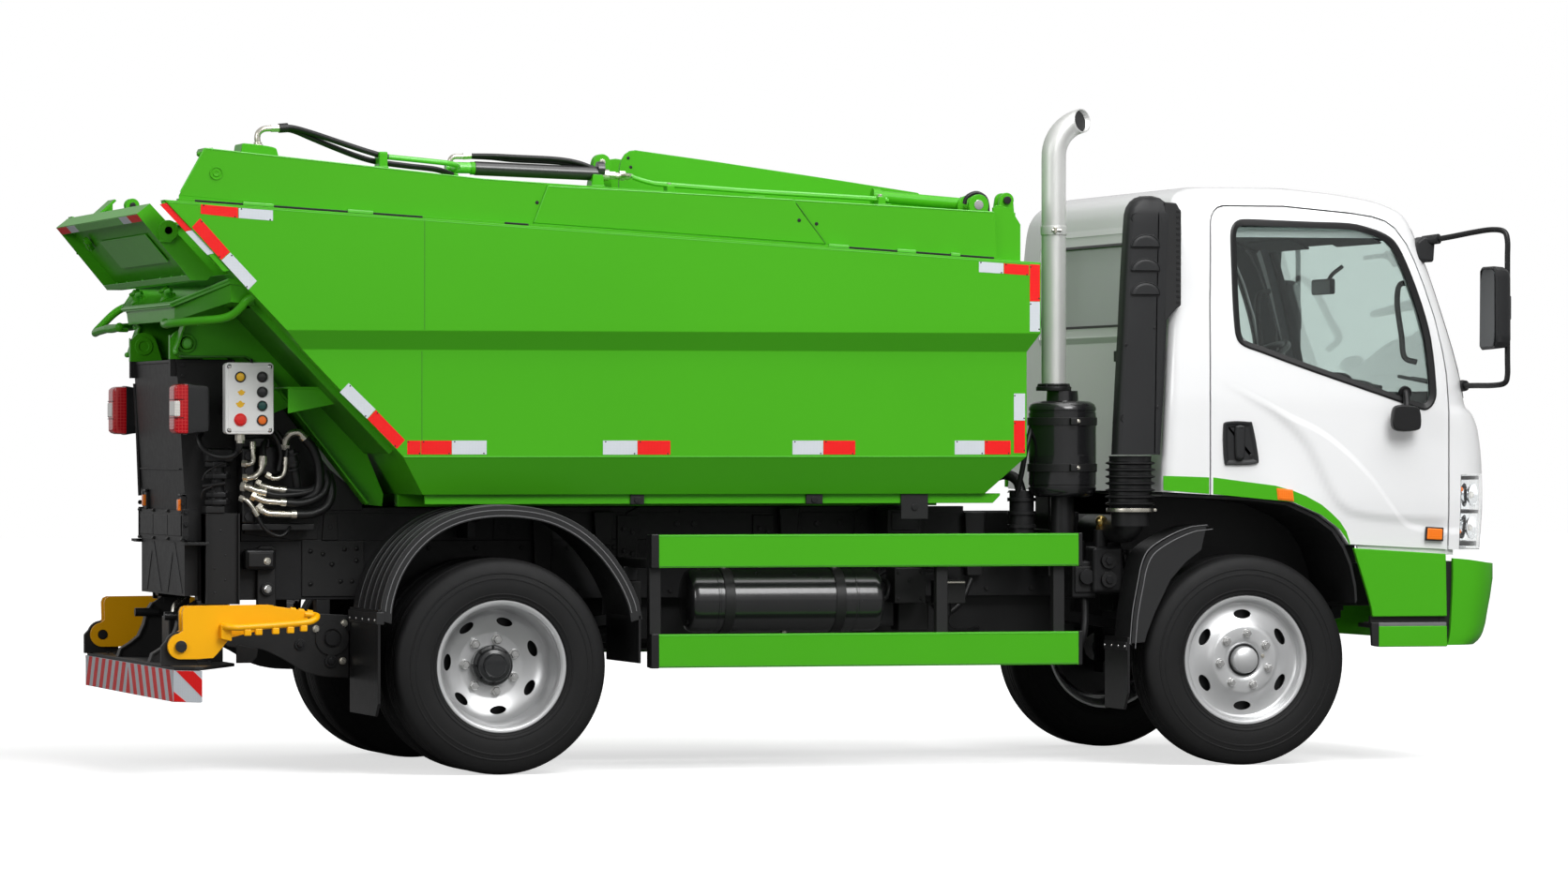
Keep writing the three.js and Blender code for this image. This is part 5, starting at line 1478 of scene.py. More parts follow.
def frame_ring(piece, outline, out_by, in_by, paint):
    """A rubber that laps an opening in the side wall and follows the wall's lean."""
    smooth = smooth_outline(outline, step=3)
    outer, inner = offset_outline(smooth, out_by), offset_outline(smooth, -in_by)
    rings = []
    for (ox, oz), (ix, iz) in zip(outer, inner):
        rings.append([(ox, cab_half(oz) - 4, oz), (ox, cab_half(oz) + 2.0, oz),
                      (ox * 0.7 + ix * 0.3, cab_half(oz) + 4.5, oz * 0.7 + iz * 0.3),
                      (ix, cab_half(iz) - 1.5, iz), (ix, cab_half(iz) - 22, iz)])
    piece.add(*stitched(rings), paint)


# ---------------------------------------------------------------- glass, seats and dashboard


def thin_pane(name, body, node, paint, opening, slot="glass"):
    """A pane between two insets of the cab's skin, cut to an opening."""
    wall = combine(cab_solid(18), [cab_solid(23)])
    shape = combine(wall, [opening], "INTERSECT")
    piece = Piece(name)
    piece.take(shape, paint)
    piece.make(body, slot, node, angle=60)


def build_glazing():
    """Windscreen, rear window, door glass and their rubbers."""
    thin_pane("windscreen_pane", "cab", "windscreen", "cab_glass",
              prism_solid("x", offset_outline(WINDSCREEN, -1), 3380, 3900))
    thin_pane("rear_pane", "cab", "rear_window", "back_glass",
              prism_solid("x", offset_outline(REAR_WINDOW, -1), 2400, 2700))
    for word, side in SIDES:
        thin_pane(f"door_pane_{word}", f"door_{word}", f"door_glass_{word}", "cab_glass",
                  side_cut(offset_outline(DOOR_WINDOW, -1), side))
    piece = Piece("window_rubbers")
    screen = [(-856, 1380), (856, 1380), (866, 1398), (786, 1987), (764, 2005), (-764, 2005),
              (-786, 1987), (-866, 1398)]
    wrapped = []
    for (y0, z0), (y1, z1) in zip(screen, screen[1:] + screen[:1]):
        count = max(2, int(math.hypot(y1 - y0, z1 - z0) / 70))
        wrapped += [(y0 + (y1 - y0) * i / count, z0 + (z1 - z0) * i / count) for i in range(count)]
    rings = []
    for outer, inner in zip(offset_outline(wrapped, 14), offset_outline(wrapped, -14)):
        rings.append([(nose_x(*outer) - 4, *outer), (nose_x(*outer) + 2.5, *outer),
                      (nose_x(*inner) + 3, *inner), (nose_x(*inner) - 26, *inner)])
    piece.add(*stitched(rings), "seal_rubber")
    rings = []
    for outer, inner in zip(offset_outline(REAR_WINDOW, 4), offset_outline(REAR_WINDOW, -5)):
        back_o, back_i = cab_section(outer[1], 0)[0], cab_section(inner[1], 0)[0]
        rings.append([(back_o + 4, *outer), (back_o - 3, *outer), (back_i - 4, *inner),
                      (back_i + 22, *inner)])
    piece.add(*stitched(rings), "seal_rubber")
    rings = []
    for outer, inner in zip(offset_outline(REAR_WINDOW, 62), offset_outline(REAR_WINDOW, 40)):
        back_o, back_i = cab_section(outer[1], 0)[0], cab_section(inner[1], 0)[0]
        rings.append([(back_o + 4, *outer), (back_o - 1, *outer),
                      (back_i - 4, inner[0] * 1.01, inner[1]), (back_i + 4, *inner)])
    piece.add(*stitched(rings), "cab_paint")
    piece.make("cab", "white_paint")


def nose_x(y, z):
    """The cab's skin ahead of a point in the front view."""
    _, front, half, corner = cab_section(z, 0)
    start = front - NOSE_BOW - NOSE_CORNER
    flat = half - corner
    reach = abs(y)
    if reach <= flat:
        return front - NOSE_BOW * (reach / flat) ** 2.2
    share = min(1.0, (reach - flat) / corner)
    return start + NOSE_CORNER * math.sqrt(max(0.0, 1 - share * share))


def stitched(rings):
    """Points and faces of a closed band through rings."""
    size, count = len(rings[0]), len(rings)
    points = [p for ring in rings for p in ring]
    faces = [(a * size + i, a * size + (i + 1) % size, (a + 1) % count * size + (i + 1) % size,
              (a + 1) % count * size + i) for a in range(count) for i in range(size)]
    return points, faces


def cushion(piece, low, high, paint="seat_cloth", crown=14, axis=2):
    """A crowned pad whose sides pull in between its corners."""
    low, high = Vector(low), Vector(high)
    size, middle = high - low, (low + high) / 2
    solid = bmesh.new()
    bmesh.ops.create_cube(solid, size=1.0)
    bmesh.ops.subdivide_edges(solid, edges=solid.edges, cuts=7, use_grid_fill=True)
    for vert in solid.verts:
        unit = vert.co * 2
        swell = [1.0, 1.0, 1.0]
        for k in range(3):
            others = [unit[j] for j in range(3) if j != k]
            fullness = (1 - others[0] ** 2) * (1 - others[1] ** 2)
            swell[k] = 1 + (crown * (2 if k == axis else 0.6) / size[k]) * (fullness - 0.45)
        corner = Vector([unit[k] / max(1.0, abs(unit[k])) for k in range(3)])
        round_off = 1 - 0.035 * sum(abs(c) ** 6 for c in corner) / 3
        spot = Vector([middle[k] + unit[k] / 2 * size[k] * swell[k] * round_off for k in range(3)])
        vert.co = place(spot, piece.side)
    bmesh.ops.smooth_vert(solid, verts=solid.verts, factor=0.5, use_axis_x=True, use_axis_y=True,
                          use_axis_z=True)
    bmesh.ops.recalc_face_normals(solid, faces=solid.faces)
    piece.take(solid, paint)


def build_interior():
    """Seats, engine cover, dashboard, headlining and grab handles."""
    trim = Piece("cab_trim")
    trim.box((2640, -850, 1061), (3100, 850, 1110), "trim_plastic", 6)
    trim.slab([(3092, 1066), (3092, 1196), (3376, 1196), (3376, 1010), (3205, 1010)], -168, 168,
              "trim_plastic", 14, 3)
    dash = [(3372, 1130), (3332, 1290), (3346, 1330), (3384, 1372), (3424, 1390), (3500, 1386),
            (3560, 1378), (3640, 1356), (3720, 1333), (3790, 1300), (3790, 1130)]
    form = prism_solid("y", dash, -890, 890)
    form = combine(form, [cab_solid(CAB_WALL + 13)], "INTERSECT")
    round_edges(form, 8, 3, 40)
    trim.take(form, "trim_plastic")
    hood = [(3372, 1376), (3398, 1438), (3440, 1452), (3520, 1440), (3560, 1400), (3560, 1378)]
    trim.slab(hood, 370, 620, "trim_plastic", 12, 3)
    for y in (-700, -420, -60, 120):
        trim.box((3330, y - 62, 1298), (3346, y + 62, 1362), "dark_metal", 5, 2)
        for i in range(5):
            trim.box((3324, y - 56, 1304 + i * 11), (3338, y + 56, 1307 + i * 11), "trim_plastic",
                     0.8, 1)
    trim.tube([(3345, -700, 1420), (3338, -640, 1446), (3334, -520, 1452), (3336, -400, 1444),
               (3350, -350, 1412)], 13, "seal_rubber")
    down = Vector((math.sin(STEERING_TILT), 0, -math.cos(STEERING_TILT)))
    trim.rod(STEERING_HUB + down * 66, STEERING_HUB + down * 300, 40, "trim_plastic", 46)
    liner = [(2640, 2040), (2660, 2062), (3300, 2052), (3440, 2010), (3500, 1975), (3480, 1960),
             (3400, 1992), (3300, 2024), (2680, 2036)]
    form = prism_solid("y", liner, -850, 850)
    trim.take(combine(form, [cab_solid(CAB_WALL + 4)], "INTERSECT"), "headlining")
    trim.slab([(3040, 2018), (3140, 2018), (3140, 2034), (3040, 2034)], -60, 60, "clear_lens", 4)
    for handle in trim.sides():
        handle.tube([(3560, 812, 1500), (3515, 800, 1520), (3505, 796, 1600), (3490, 790, 1720),
                     (3500, 792, 1790), (3545, 800, 1800)], 11, "seal_rubber")
        handle.slab([(3480, 1950), (3360, 1998), (3352, 2008), (3488, 1966)], 760, 800,
                    "headlining", 3)
        visor = [(3400, 1986), (3480, 1948), (3484, 1956), (3404, 1996)]
        handle.slab(visor, 160, 640, "headlining", 3)
    trim.tube([(3560, 0, 1880), (3520, 0, 1850), (3500, 0, 1820)], 8, "seal_rubber")
    trim.box((3470, -110, 1770), (3492, 110, 1830), "seal_rubber", 8, 3)
    trim.make("cab", "trim", "cab_interior")
    for i, (start, end) in enumerate(((-840, -340), (-300, 240), (300, 840))):
        seat = Piece(f"seat_{i + 1}")
        cushion(seat, (2690, start, 1112), (3150, end, 1238))
        for edge in (start, end - 70):
            cushion(seat, (2700, edge, 1180), (3140, edge + 70, 1262), crown=10)
        for low, high in ((1225, 1400), (1385, 1560)):
            x = 2700 - 0.16 * (low - 1225)
            cushion(seat, (x - 62, start + 12, low), (x + 44, end - 12, high), crown=16, axis=0)
        made = seat.make("cab", "trim", angle=60)


def build_steering_wheel():
    """Rim, hub, spokes and column top."""
    hub = STEERING_HUB
    axis = Vector((-math.sin(STEERING_TILT), 0, math.cos(STEERING_TILT)))
    wheel = Piece("steering_rim")
    section = [(205 + 14 * math.cos(math.tau * i / 14), 13 * math.sin(math.tau * i / 14))
               for i in range(14)]
    wheel.lathe(hub, axis, section, "seal_rubber", 72)
    _, across, up = turned(axis)
    wheel.lathe(hub, axis, [(0, -20), (50, -20), (58, -8), (58, 8), (48, 17), (20, 20), (0, 20)],
                "trim_plastic", 32)
    for degrees in (90, 210, 330):
        angle = math.radians(degrees)
        way = across * math.cos(angle) + up * math.sin(angle)
        wheel.tube([hub + way * 30 - axis * 4, hub + way * 110 - axis * 8, hub + way * 200], 10,
                   "seal_rubber", wide=1.5)
    wheel.rod(hub - axis * 18, hub - axis * 62, 24, "trim_plastic")
    wheel.make("steering_wheel", "black_plastic", "steering_wheel")


# ---------------------------------------------------------------- lamps, mirrors, intake, exhaust


def skin_point(t, z, inset):
    """A point on the cab's front corner: t runs from the side (0) round to the nose (1)."""
    _, front, half, corner = cab_section(z, inset)
    start = front - NOSE_BOW - NOSE_CORNER
    angle = math.pi / 2 * t
    return start + NOSE_CORNER * math.sin(angle), half - corner * (1 - math.cos(angle))


def headlight_block(inset, side, shrink, start, end):
    """The cab's form at an inset, kept only inside the headlight's outline."""
    outline = offset_outline(HEADLIGHT, -shrink)
    return combine(cab_solid(inset), [prism_solid("y", outline, start, end, side)], "INTERSECT")


def build_headlights():
    """Corner headlights: a clear cover over two chambers with small amber bulbs."""
    for word, side in SIDES:
        lamp = Piece(f"headlight_{word}", side)
        lamp.take(combine(headlight_block(0, side, 1, 650, 1100), [cab_solid(7)]), "lamp_glass")
        lamp.take(combine(headlight_block(34, side, 3, 655, 1095), [cab_solid(CAB_WALL - 3)]),
                  "reflector")
        for low, high in ((812, 828), (934, 946), (1060, 1074)):
            strip = []
            for t in [i / 14 for i in range(15)]:
                (x0, y0), (x1, y1) = skin_point(t, low, 9), skin_point(t, low, 30)
                strip.append([(x0, y0, low), (x0, y0, high), (x1, y1, high), (x1, y1, low)])
            lamp.loft(strip, "seal_rubber")
        aim = Vector((math.sin(math.pi / 4), math.cos(math.pi / 4), 0))
        for z in (880, 1002):
            x, y = skin_point(0.5, z, 34)
            lamp.lathe((x, y, z), aim, [(0, -4), (20, 0), (40, 12), (46, 20), (44, 20), (38, 13),
                                        (18, 3), (0, 1)], "reflector", 32)
            lamp.ball((x + 6, y + 6, z), 13, "clear_lens")
        for z in (866, 1024):
            x, y = skin_point(0.14, z, 20)
            lamp.ball((x, y, z), 11, "amber_lens")
            x, y = skin_point(0.12, z, 24)
            lamp.rod((x - 4, y - 8, z), (x, y, z), 16, "reflector", 18)
        lamp.make("cab", "headlight", f"headlight_{word}", angle=35)
        marker = Piece(f"corner_marker_{word}", side)
        half = cab_half(930)
        marker.slab([(3535, 838), (3596, 835), (3598, 876), (3538, 880)], half - 6, half + 6,
                    "amber_lens", 4, 3)
        marker.slab([(3530, 833), (3601, 830), (3603, 881), (3533, 885)], half - 8, half + 2,
                    "seal_rubber", 2)
        marker.make(f"door_{word}", "white_paint")


def build_nose_trim():
    """Wipers and the slim inlet lines on the nose."""
    trim = Piece("nose_trim")
    for start in (-640, 80):
        arm = [(nose_x(y, z) + rise, y, z)
               for y, z, rise in ((start, 1386, 10), (start + 200, 1430, 16),
                                  (start + 420, 1448, 12))]
        trim.tube(arm, 6, "seal_rubber")
        blade = [(y, 1410 + (y - start) * 0.08) for y in range(start + 60, start + 561, 100)]
        trim.tube([(nose_x(y, z) + 9, y, z) for y, z in blade], 7, "seal_rubber")
        foot = nose_x(start, 1380)
        trim.rod((foot - 6, start, 1380), (foot + 16, start, 1380), 13, "seal_rubber")
    for z in (1012, 1052, 1092):
        trim.tube([(nose_x(y, z) - 2, y, z) for y in range(-480, 481, 80)], 7, "seal_rubber")
    trim.make("cab", "white_paint")


def build_mirrors():
    """Arm, bracket and head of each mirror, and the small convex ones on the doors."""
    for word, side in SIDES:
        mirror = Piece(f"mirror_set_{word}", side)
        run = [(3578, 872, 1955), (3640, 950, 1968), (3705, 1030, 1984), (3752, 1095, 1992),
               (3783, 1138, 1984), (3792, 1150, 1950), (3792, 1150, 1880), (3792, 1150, 1700),
               (3792, 1150, 1520), (3792, 1150, 1450), (3784, 1140, 1420), (3762, 1080, 1412),
               (3735, 980, 1412), (3712, 885, 1412)]
        mirror.tube(run, 10.5, "seal_rubber", steps=5)
        mirror.slab([(3528, 1880), (3598, 1874), (3604, 1960), (3560, 1972), (3530, 1950)], 806,
                    896, "grained_plastic", 10, 3)
        mirror.rod((3568, 860, 1955), (3610, 915, 1962), 19, "grained_plastic")
        mirror.rod((3704, 858, 1412), (3720, 905, 1412), 20, "grained_plastic")
        mirror.ball((3716, 884, 1412), 22, "grained_plastic")
        head = [(1066, 1556), (1072, 1838), (1090, 1852), (1206, 1852), (1232, 1838), (1238, 1812),
                (1240, 1600), (1240, 1572), (1224, 1548), (1084, 1544)]
        rings = []
        for x, inset in ((3712, 4), (3718, -1), (3728, 0), (3752, 2), (3770, 12), (3780, 28),
                         (3784, 52)):
            rings.append([(x, y, z) for y, z in offset_outline(head, -inset)])
        mirror.loft(rings, "grained_plastic")
        face = offset_outline(head, -9)
        mirror.beam(face, 3709.5, 3714, "mirror_glass", 1.5)
        mirror.box((3776, 1136, 1655), (3803, 1164, 1745), "grained_plastic", 5, 3)
        for z in (1672, 1728):
            fix("cab", "screw", "bright_steel", (3802.5, 1150, z), (1, 0, 0), 8, 4, side)
        mirror.make("cab", "black_plastic", f"mirror_{word}")
        small = Piece(f"convex_mirror_{word}", side)
        oval = smooth_outline([(3372, 1262), (3376, 1320), (3396, 1338), (3452, 1336), (3482, 1322),
                               (3487, 1262), (3468, 1243), (3396, 1241)], step=3)
        rings = []
        for y, inset in ((1012, 26), (1018, 12), (1030, 3), (1046, 0), (1058, 2), (1062, 6)):
            rings.append([(x, y, z) for x, z in offset_outline(oval, -inset)])
        small.loft(rings, "seal_rubber")
        small.tube([(3440, 1030, 1330), (3446, 1010, 1360), (3450, 990, 1384), (3450, 972, 1390)],
                   13, "seal_rubber")
        small.rod((3450, 974, 1388), (3450, 988, 1384), 24, "seal_rubber")
        small.make(f"door_{word}", "black_plastic")


def build_snorkel():
    """Air intake behind the cab with its seam, louvres, grille and bellows."""
    piece = Piece("intake_tower", RIGHT)
    spine = [(1154, 2319, 2494), (1240, 2323, 2500), (1400, 2331, 2510), (1600, 2342, 2523),
             (1640, 2344, 2526), (1700, 2347, 2548), (1800, 2352, 2556), (1900, 2358, 2556),
             (2000, 2364, 2552), (2040, 2367, 2546), (2066, 2374, 2534), (2088, 2386, 2520),
             (2102, 2404, 2500), (2110, 2428, 2478)]
    rings = []
    for z, rear, front in spine:
        skin = 985 - (3 if z > 2060 else 0) - (6 if z > 2085 else 0) - (14 if z > 2105 else 0)
        back = 897
        w = 22 if z < 2080 else 30
        far = min(front, 2498 + (z - 1154) * 0.048)
        rings.append([(rear + w, back, z), (rear, back + w, z), (rear, skin - w, z),
                      (rear + w * 0.4, skin - w * 0.3, z), (rear + w, skin, z),
                      ((rear + far) / 2, skin, z), (far - w, skin, z),
                      (far - w * 0.3, skin - w * 0.3, z), (far, skin - w, z), (far, back + 8, z),
                      (far - 10, back, z)])
    piece.loft(rings, "grained_plastic")
    lip = [(2505, 1640), (2548, 1690), (2570, 1706), (2571, 2052), (2552, 2084), (2505, 2088)]
    piece.slab(lip, 964, 984, "guard_plastic", 5, 3)
    for i in range(bpy.context.scene.truck_sizes.louvres):
        z = 1712 + i * 21
        piece.box((2550, 981, z), (2568, 985.5, z + 11), "seal_rubber", 1, 1)
    for x0, z0, x1, z1 in ((2466, 1160, 2474, 1660), (2474, 1660, 2482, 2050)):
        piece.slab([(x0 - 3, z0), (x0 + 3, z0), (x1 + 3, z1), (x1 - 3, z1)], 982, 985,
                   "seal_rubber", 1, 1)
    for z in (1922, 1834, 1746):
        angles = [math.pi * k / 16 for k in range(17)]
        hood = [(2430 + 56 * math.cos(a), z + 44 * math.sin(a)) for a in angles]
        rings = []
        for part, out in ((1.0, -2), (1.0, 3), (0.95, 8), (0.86, 11), (0.7, 12)):
            rings.append([(2430 + (x - 2430) * part, 983 + out, z + 2 + (h - z - 2) * part) for x,
                          h in hood])
        piece.loft(rings, "grained_plastic")
        piece.tube([(x, 990, h) for x, h in hood], 2.0, "grained_plastic")
        piece.slab([(2376, z - 9), (2484, z - 9), (2484, z + 1), (2376, z + 1)], 982, 986,
                   "seal_rubber", 1)
    for x, z in ((2392, 2030), (2421, 1656), (2352, 1289)):
        piece.lathe((x, 979, z), OUT, [(0, 0), (11, 0), (11, 5), (16, 6), (17, 5), (17, 0),
                                       (17, -4), (0, -4)],
                    "dark_metal", 20)
    for x, z in ((2462, 1960), (2466, 1622), (2356, 1560), (2478, 1330)):
        fix("cab", "screw", "dark_metal", (x, 984, z), OUT, 12, 4, RIGHT)
    piece.slab([(2400, 1500), (2508, 1500), (2512, 1540), (2400, 1540)], 700, 898, "black_plate", 2)
    piece.box((2480, 700, 1500), (2530, 730, 1540), "black_plate", 2)
    piece.make("cab", "black_plastic", "snorkel", angle=35)
    duct = Piece("intake_bellows", RIGHT)
    profile = []
    for i in range(8):
        z = 966 + i * 25
        profile += [(78, z), (92, z + 5), (92, z + 9), (78, z + 14)]
    profile = [p for p in profile if p[1] < 1145] + [(80, 1149), (0, 1149)]
    base = [(0, 890), (70, 890), (72, 940), (86, 942), (86, 958), (76, 960)]
    duct.lathe((2400, 897, 0), UP, base + profile, "hose_rubber", 48)
    duct.ring((2400, 897, 942), UP, 74, 89, 14, "zinc", 48)
    duct.rod((2489, 897, 949), (2489, 925, 949), 6, "zinc")
    duct.tube([(2400, 897, 950), (2400, 893, 905), (2400, 860, 882), (2400, 780, 878),
               (2400, 600, 878), (2400, 426, 878)], 52, "hose_rubber", sides=24)
    duct.make("chassis", "rubber", "intake_duct", angle=50)


def build_exhaust():
    """Stack with its clamp and cut mouth, and the can below it."""
    y = 700
    stack = Piece("stack", RIGHT)
    straight = [(2166, y, z) for z in (1391, 1500, 1650, 1800, 1900, 2000, 2080, 2150, 2200, 2240)]
    bend = [(x, y, z) for x, z in arc((2304, 2262), 138, 180, 101, 14)]
    path = [Vector(p) for p in straight + bend[1:]]
    rings_out, rings_in = [], []
    for i, spot in enumerate(path):
        before, after = path[max(i - 1, 0)], path[min(i + 1, len(path) - 1)]
        along = (after - before).normalized()
        up = along.cross(OUT)
        slant = max(0, i - len(straight)) / (len(path) - 1 - len(straight))
        for rings, radius in ((rings_out, 45.5), (rings_in, 41.5)):
            rings.append([spot + OUT * (radius * math.cos(math.tau * k / 40))
                          + up * (radius * math.sin(math.tau * k / 40))
                          - along * (radius * math.cos(math.tau * k / 40) * slant)
                          for k in range(40)])
    stack.loft(rings_out + rings_in[:8:-1], "stack_steel")
    # painted shade: a dark sleeve just inside the stack's mouth
    mouth_shade = []
    for ring in (rings_in[-4], rings_in[-2]):
        middle = sum(ring, Vector()) / len(ring)
        mouth_shade.append([middle + (p - middle) * 0.985 for p in ring])
    stack.loft(mouth_shade, "seal_rubber")
    for z, high, out, paint in ((1970, 34, 49, "stack_steel"), (1391, 16, 66, "dark_metal"),
                                (1408, 10, 60, "dark_metal")):
        stack.ring((2166, y, z), UP, 44, out, high, paint, 48, 2)
    for angle in range(0, 360, 45):
        turn = math.radians(angle)
        spot = (2166 + 58 * math.cos(turn), y + 58 * math.sin(turn), 1407)
        fix("chassis", "bolt", "dark_metal", spot, UP, 10, 8, RIGHT)
    stack.box((2150, y + 44, 1976), (2160, y + 60, 1998), "zinc", 1.5)
    stack.rod((2142, y + 53, 1987), (2180, y + 53, 1987), 4, "zinc")
    stack.make("chassis", "stainless", "exhaust_stack", angle=50)
    can = Piece("silencer", RIGHT)
    can.lathe((2199, y, 997), UP,
              [(0, 0), (96, 0), (112, 6), (122, 16), (126, 30), (126, 36), (123, 38), (123, 44),
               (126, 46), (126, 312), (123, 314), (123, 320), (126, 322), (126, 330), (120, 344),
               (104, 354), (60, 358), (58, 394), (0, 394)], "silencer_black", 64)
    for z in (1090, 1262):
        can.ring((2199, y, z), UP, 124, 130, 30, "black_plate", 64)
        can.box((2186, y + 128, z + 2), (2212, y + 150, z + 28), "black_plate", 3)
        fix("chassis", "bolt", "zinc", (2212, y + 139, z + 15), (1, 0, 0), 15, 12, RIGHT)
    can.slab([(2180, 700), (2222, 700), (2222, 1300), (2180, 1300)], RAIL_OUT + 1, 590,
             "black_plate", 3)
    can.box((2140, 560, 1096), (2258, 590, 1118), "black_plate", 3)
    can.box((2140, 560, 1264), (2258, 590, 1288), "black_plate", 3)
    can.rod((2199, y, 860), (2199, y, 1000), 44, "dark_metal")
    can.tube([(2199, y, 880), (2199, y - 20, 830), (2199, y - 120, 800), (2199, 440, 790)], 44,
             "dark_metal", sides=24)
    can.make("chassis", "black_paint", "exhaust_silencer", angle=40)


# ---------------------------------------------------------------- bumper, guards and mudguards

BUMPER_CURVE = [(3640, 985), (3741, 968), (3806, 925), (3842, 870), (3862, 790), (3884, 560),
                (3892, 330)]
BUMPER_LEVELS = [  # height, how far the curve is drawn back
    (442, 92), (456, 70), (470, 56), (487, 46), (520, 34), (564, 25), (620, 12), (688, 0), (780, 0),
]


def bumper_solid(inset):
    """The bumper's form, moved inwards and open to the rear when it is moved."""
    smooth = smooth_path([(x, y, 0) for x, y in BUMPER_CURVE], 6)
    rings = []
    for level, (z, back) in enumerate(BUMPER_LEVELS):
        half = [(p.x - back * (0.25 + 0.75 * (p.x - 3640) / 252), p.y) for p in smooth]
        ring = half + [(x, -y) for x, y in half[::-1]]
        last = len(ring) - 1
        up = 0 if not inset else (-5 if level == 0 else 5 if level == len(BUMPER_LEVELS) - 1 else 0)
        moved = offset_outline(ring, -inset) if inset else ring
        rings.append([(3500 if inset and i in (0, last) else x, y, z + up)
                      for i, (x, y) in enumerate(moved)])
    shape = Piece("bumper_form")
    shape.loft(rings, "green_paint")
    return gathered(shape)


def build_bumper():
    """Green bumper, side panels, steps and lower grille."""
    piece = Piece("bumper_shell")
    above = [(3500, 778), (3700, 762), (3790, 750), (3850, 745), (3900, 744), (3900, 900),
             (3500, 900)]
    cutters = [bumper_solid(18), prism_solid("y", above, -1100, 1100)]
    shell = combine(bumper_solid(0), cutters)
    round_edges(shell, 4, 3, 45)
    piece.take(shell, "green_paint")
    for part in piece.sides():
        part.slab([(3246, 806), (3612, 783), (3616, 550), (3322, 550), (3316, 585), (3300, 640),
                   (3272, 728)],
                  965, 985, "green_paint", 4, 3)
        part.slab([(3346, 437), (3618, 437), (3616, 515), (3346, 515)], 965, 985, "green_paint", 4,
                  3)
        part.slab([(3320, 442), (3347, 437), (3347, 529), (3316, 529)], 962, 984, "black_plate", 4,
                  3)
        part.slab([(3320, 516), (3614, 516), (3614, 552), (3320, 552)], 940, 962, "black_plate", 3)
        part.box((3330, 800, 508), (3614, 966, 524), "black_plate", 3)
        # the step's front edge and tread slats in light grey: painted highlights
        part.box((3346, 962, 514), (3614, 984, 528), "edge_plastic", 2)
        for i in range(10):
            part.box((3348, 815 + i * 14, 523), (3606, 820 + i * 14, 528), "edge_plastic", 1, 1)
        part.box((3592, 946, 462), (3690, 964, 752), "black_plate", 2)
        part.box((3815, 365, 612), (3870, 425, 687), "black_plate", 2)
    piece.beam([(-330, 560), (330, 560), (330, 640), (-330, 640)], 3860, 3876, "seal_rubber", 4)
    piece.make("chassis", "green_paint", "front_bumper", angle=35)


def build_side_guards():
    """Two green rails on posts each side, with black end caps."""
    for word, side in SIDES:
        guard = Piece(f"guard_rails_{word}", side)
        for low, high in ((745, 865), (382, 504)):
            channel = [(945, low), (945, low + 4), (970, low + 4), (970, high - 4), (945, high - 4),
                       (945, high), (975, high), (975, low)]
            guard.beam(channel, 577, 2176, "green_paint", 1.6)
            for end, length_in in ((551, 30), (2174, 16)):
                guard.box((end, 941, low - 2), (end + length_in, 977, high + 2), "seal_rubber", 4,
                          3)
            # painted highlight along each rail's top and painted shade along its bottom
            guard.box((579, 975, high - 7), (2172, 976.2, high - 3), "green_light", 0.5, 1)
            guard.box((579, 975, low + 3), (2172, 976.2, low + 6), "green_shadow", 0.5, 1)
        for x in (551, 1637, 2086):
            guard.beam([(906, 382), (946, 382), (946, 865), (906, 865)], x, x + 44, "black_plate",
                       4, 3)
            guard.beam([(RAIL_OUT + 1, 742), (907, 742), (907, 776), (RAIL_OUT + 1, 776)], x,
                       x + 40, "black_plate", 4, 3)
            for z in (442, 805):
                fix("chassis", "bolt", "dark_metal", (x + 22, 906, z), (0, -1, 0), 16, 10, side)
        guard.make("chassis", "green_paint", f"side_guard_{word}")


GUARD_LINE = [(512, 560), (497, 630), (452, 722), (382, 815), (290, 893), (180, 945), (60, 967),
              (-60, 967), (-170, 945), (-265, 900), (-345, 830), (-405, 740), (-440, 640),
              (-450, 560)]


GUARD_CENTRE = 424  # height of the point that the guard's line is drawn about


def inwards(points, by):
    """A line over the tyre moved towards the axle."""
    moved = []
    for x, z in points:
        scale = 1 - by / math.hypot(x, z - GUARD_CENTRE)
        moved.append((x * scale, GUARD_CENTRE + (z - GUARD_CENTRE) * scale))
    return moved


def ribbon(piece, line, outer, inner, y0, y1, paint, edge=0.0):
    """A band that follows a line over a tyre, between two depths below it."""
    rings = []
    for (ax, az), (bx, bz) in zip(inwards(line, outer), inwards(line, inner)):
        rings.append([(ax, y0, az), (ax, y1, az), (bx, y1, bz), (bx, y0, bz)])
    piece.loft(rings, paint, edge)


def flap_rivets(x, z, spots, side):
    """The row of rivets along a flap's head."""
    for y in spots:
        fix("chassis", "rivet", "bright_steel", (x, y, z), (-1, 0, 0), 11, 4, side)


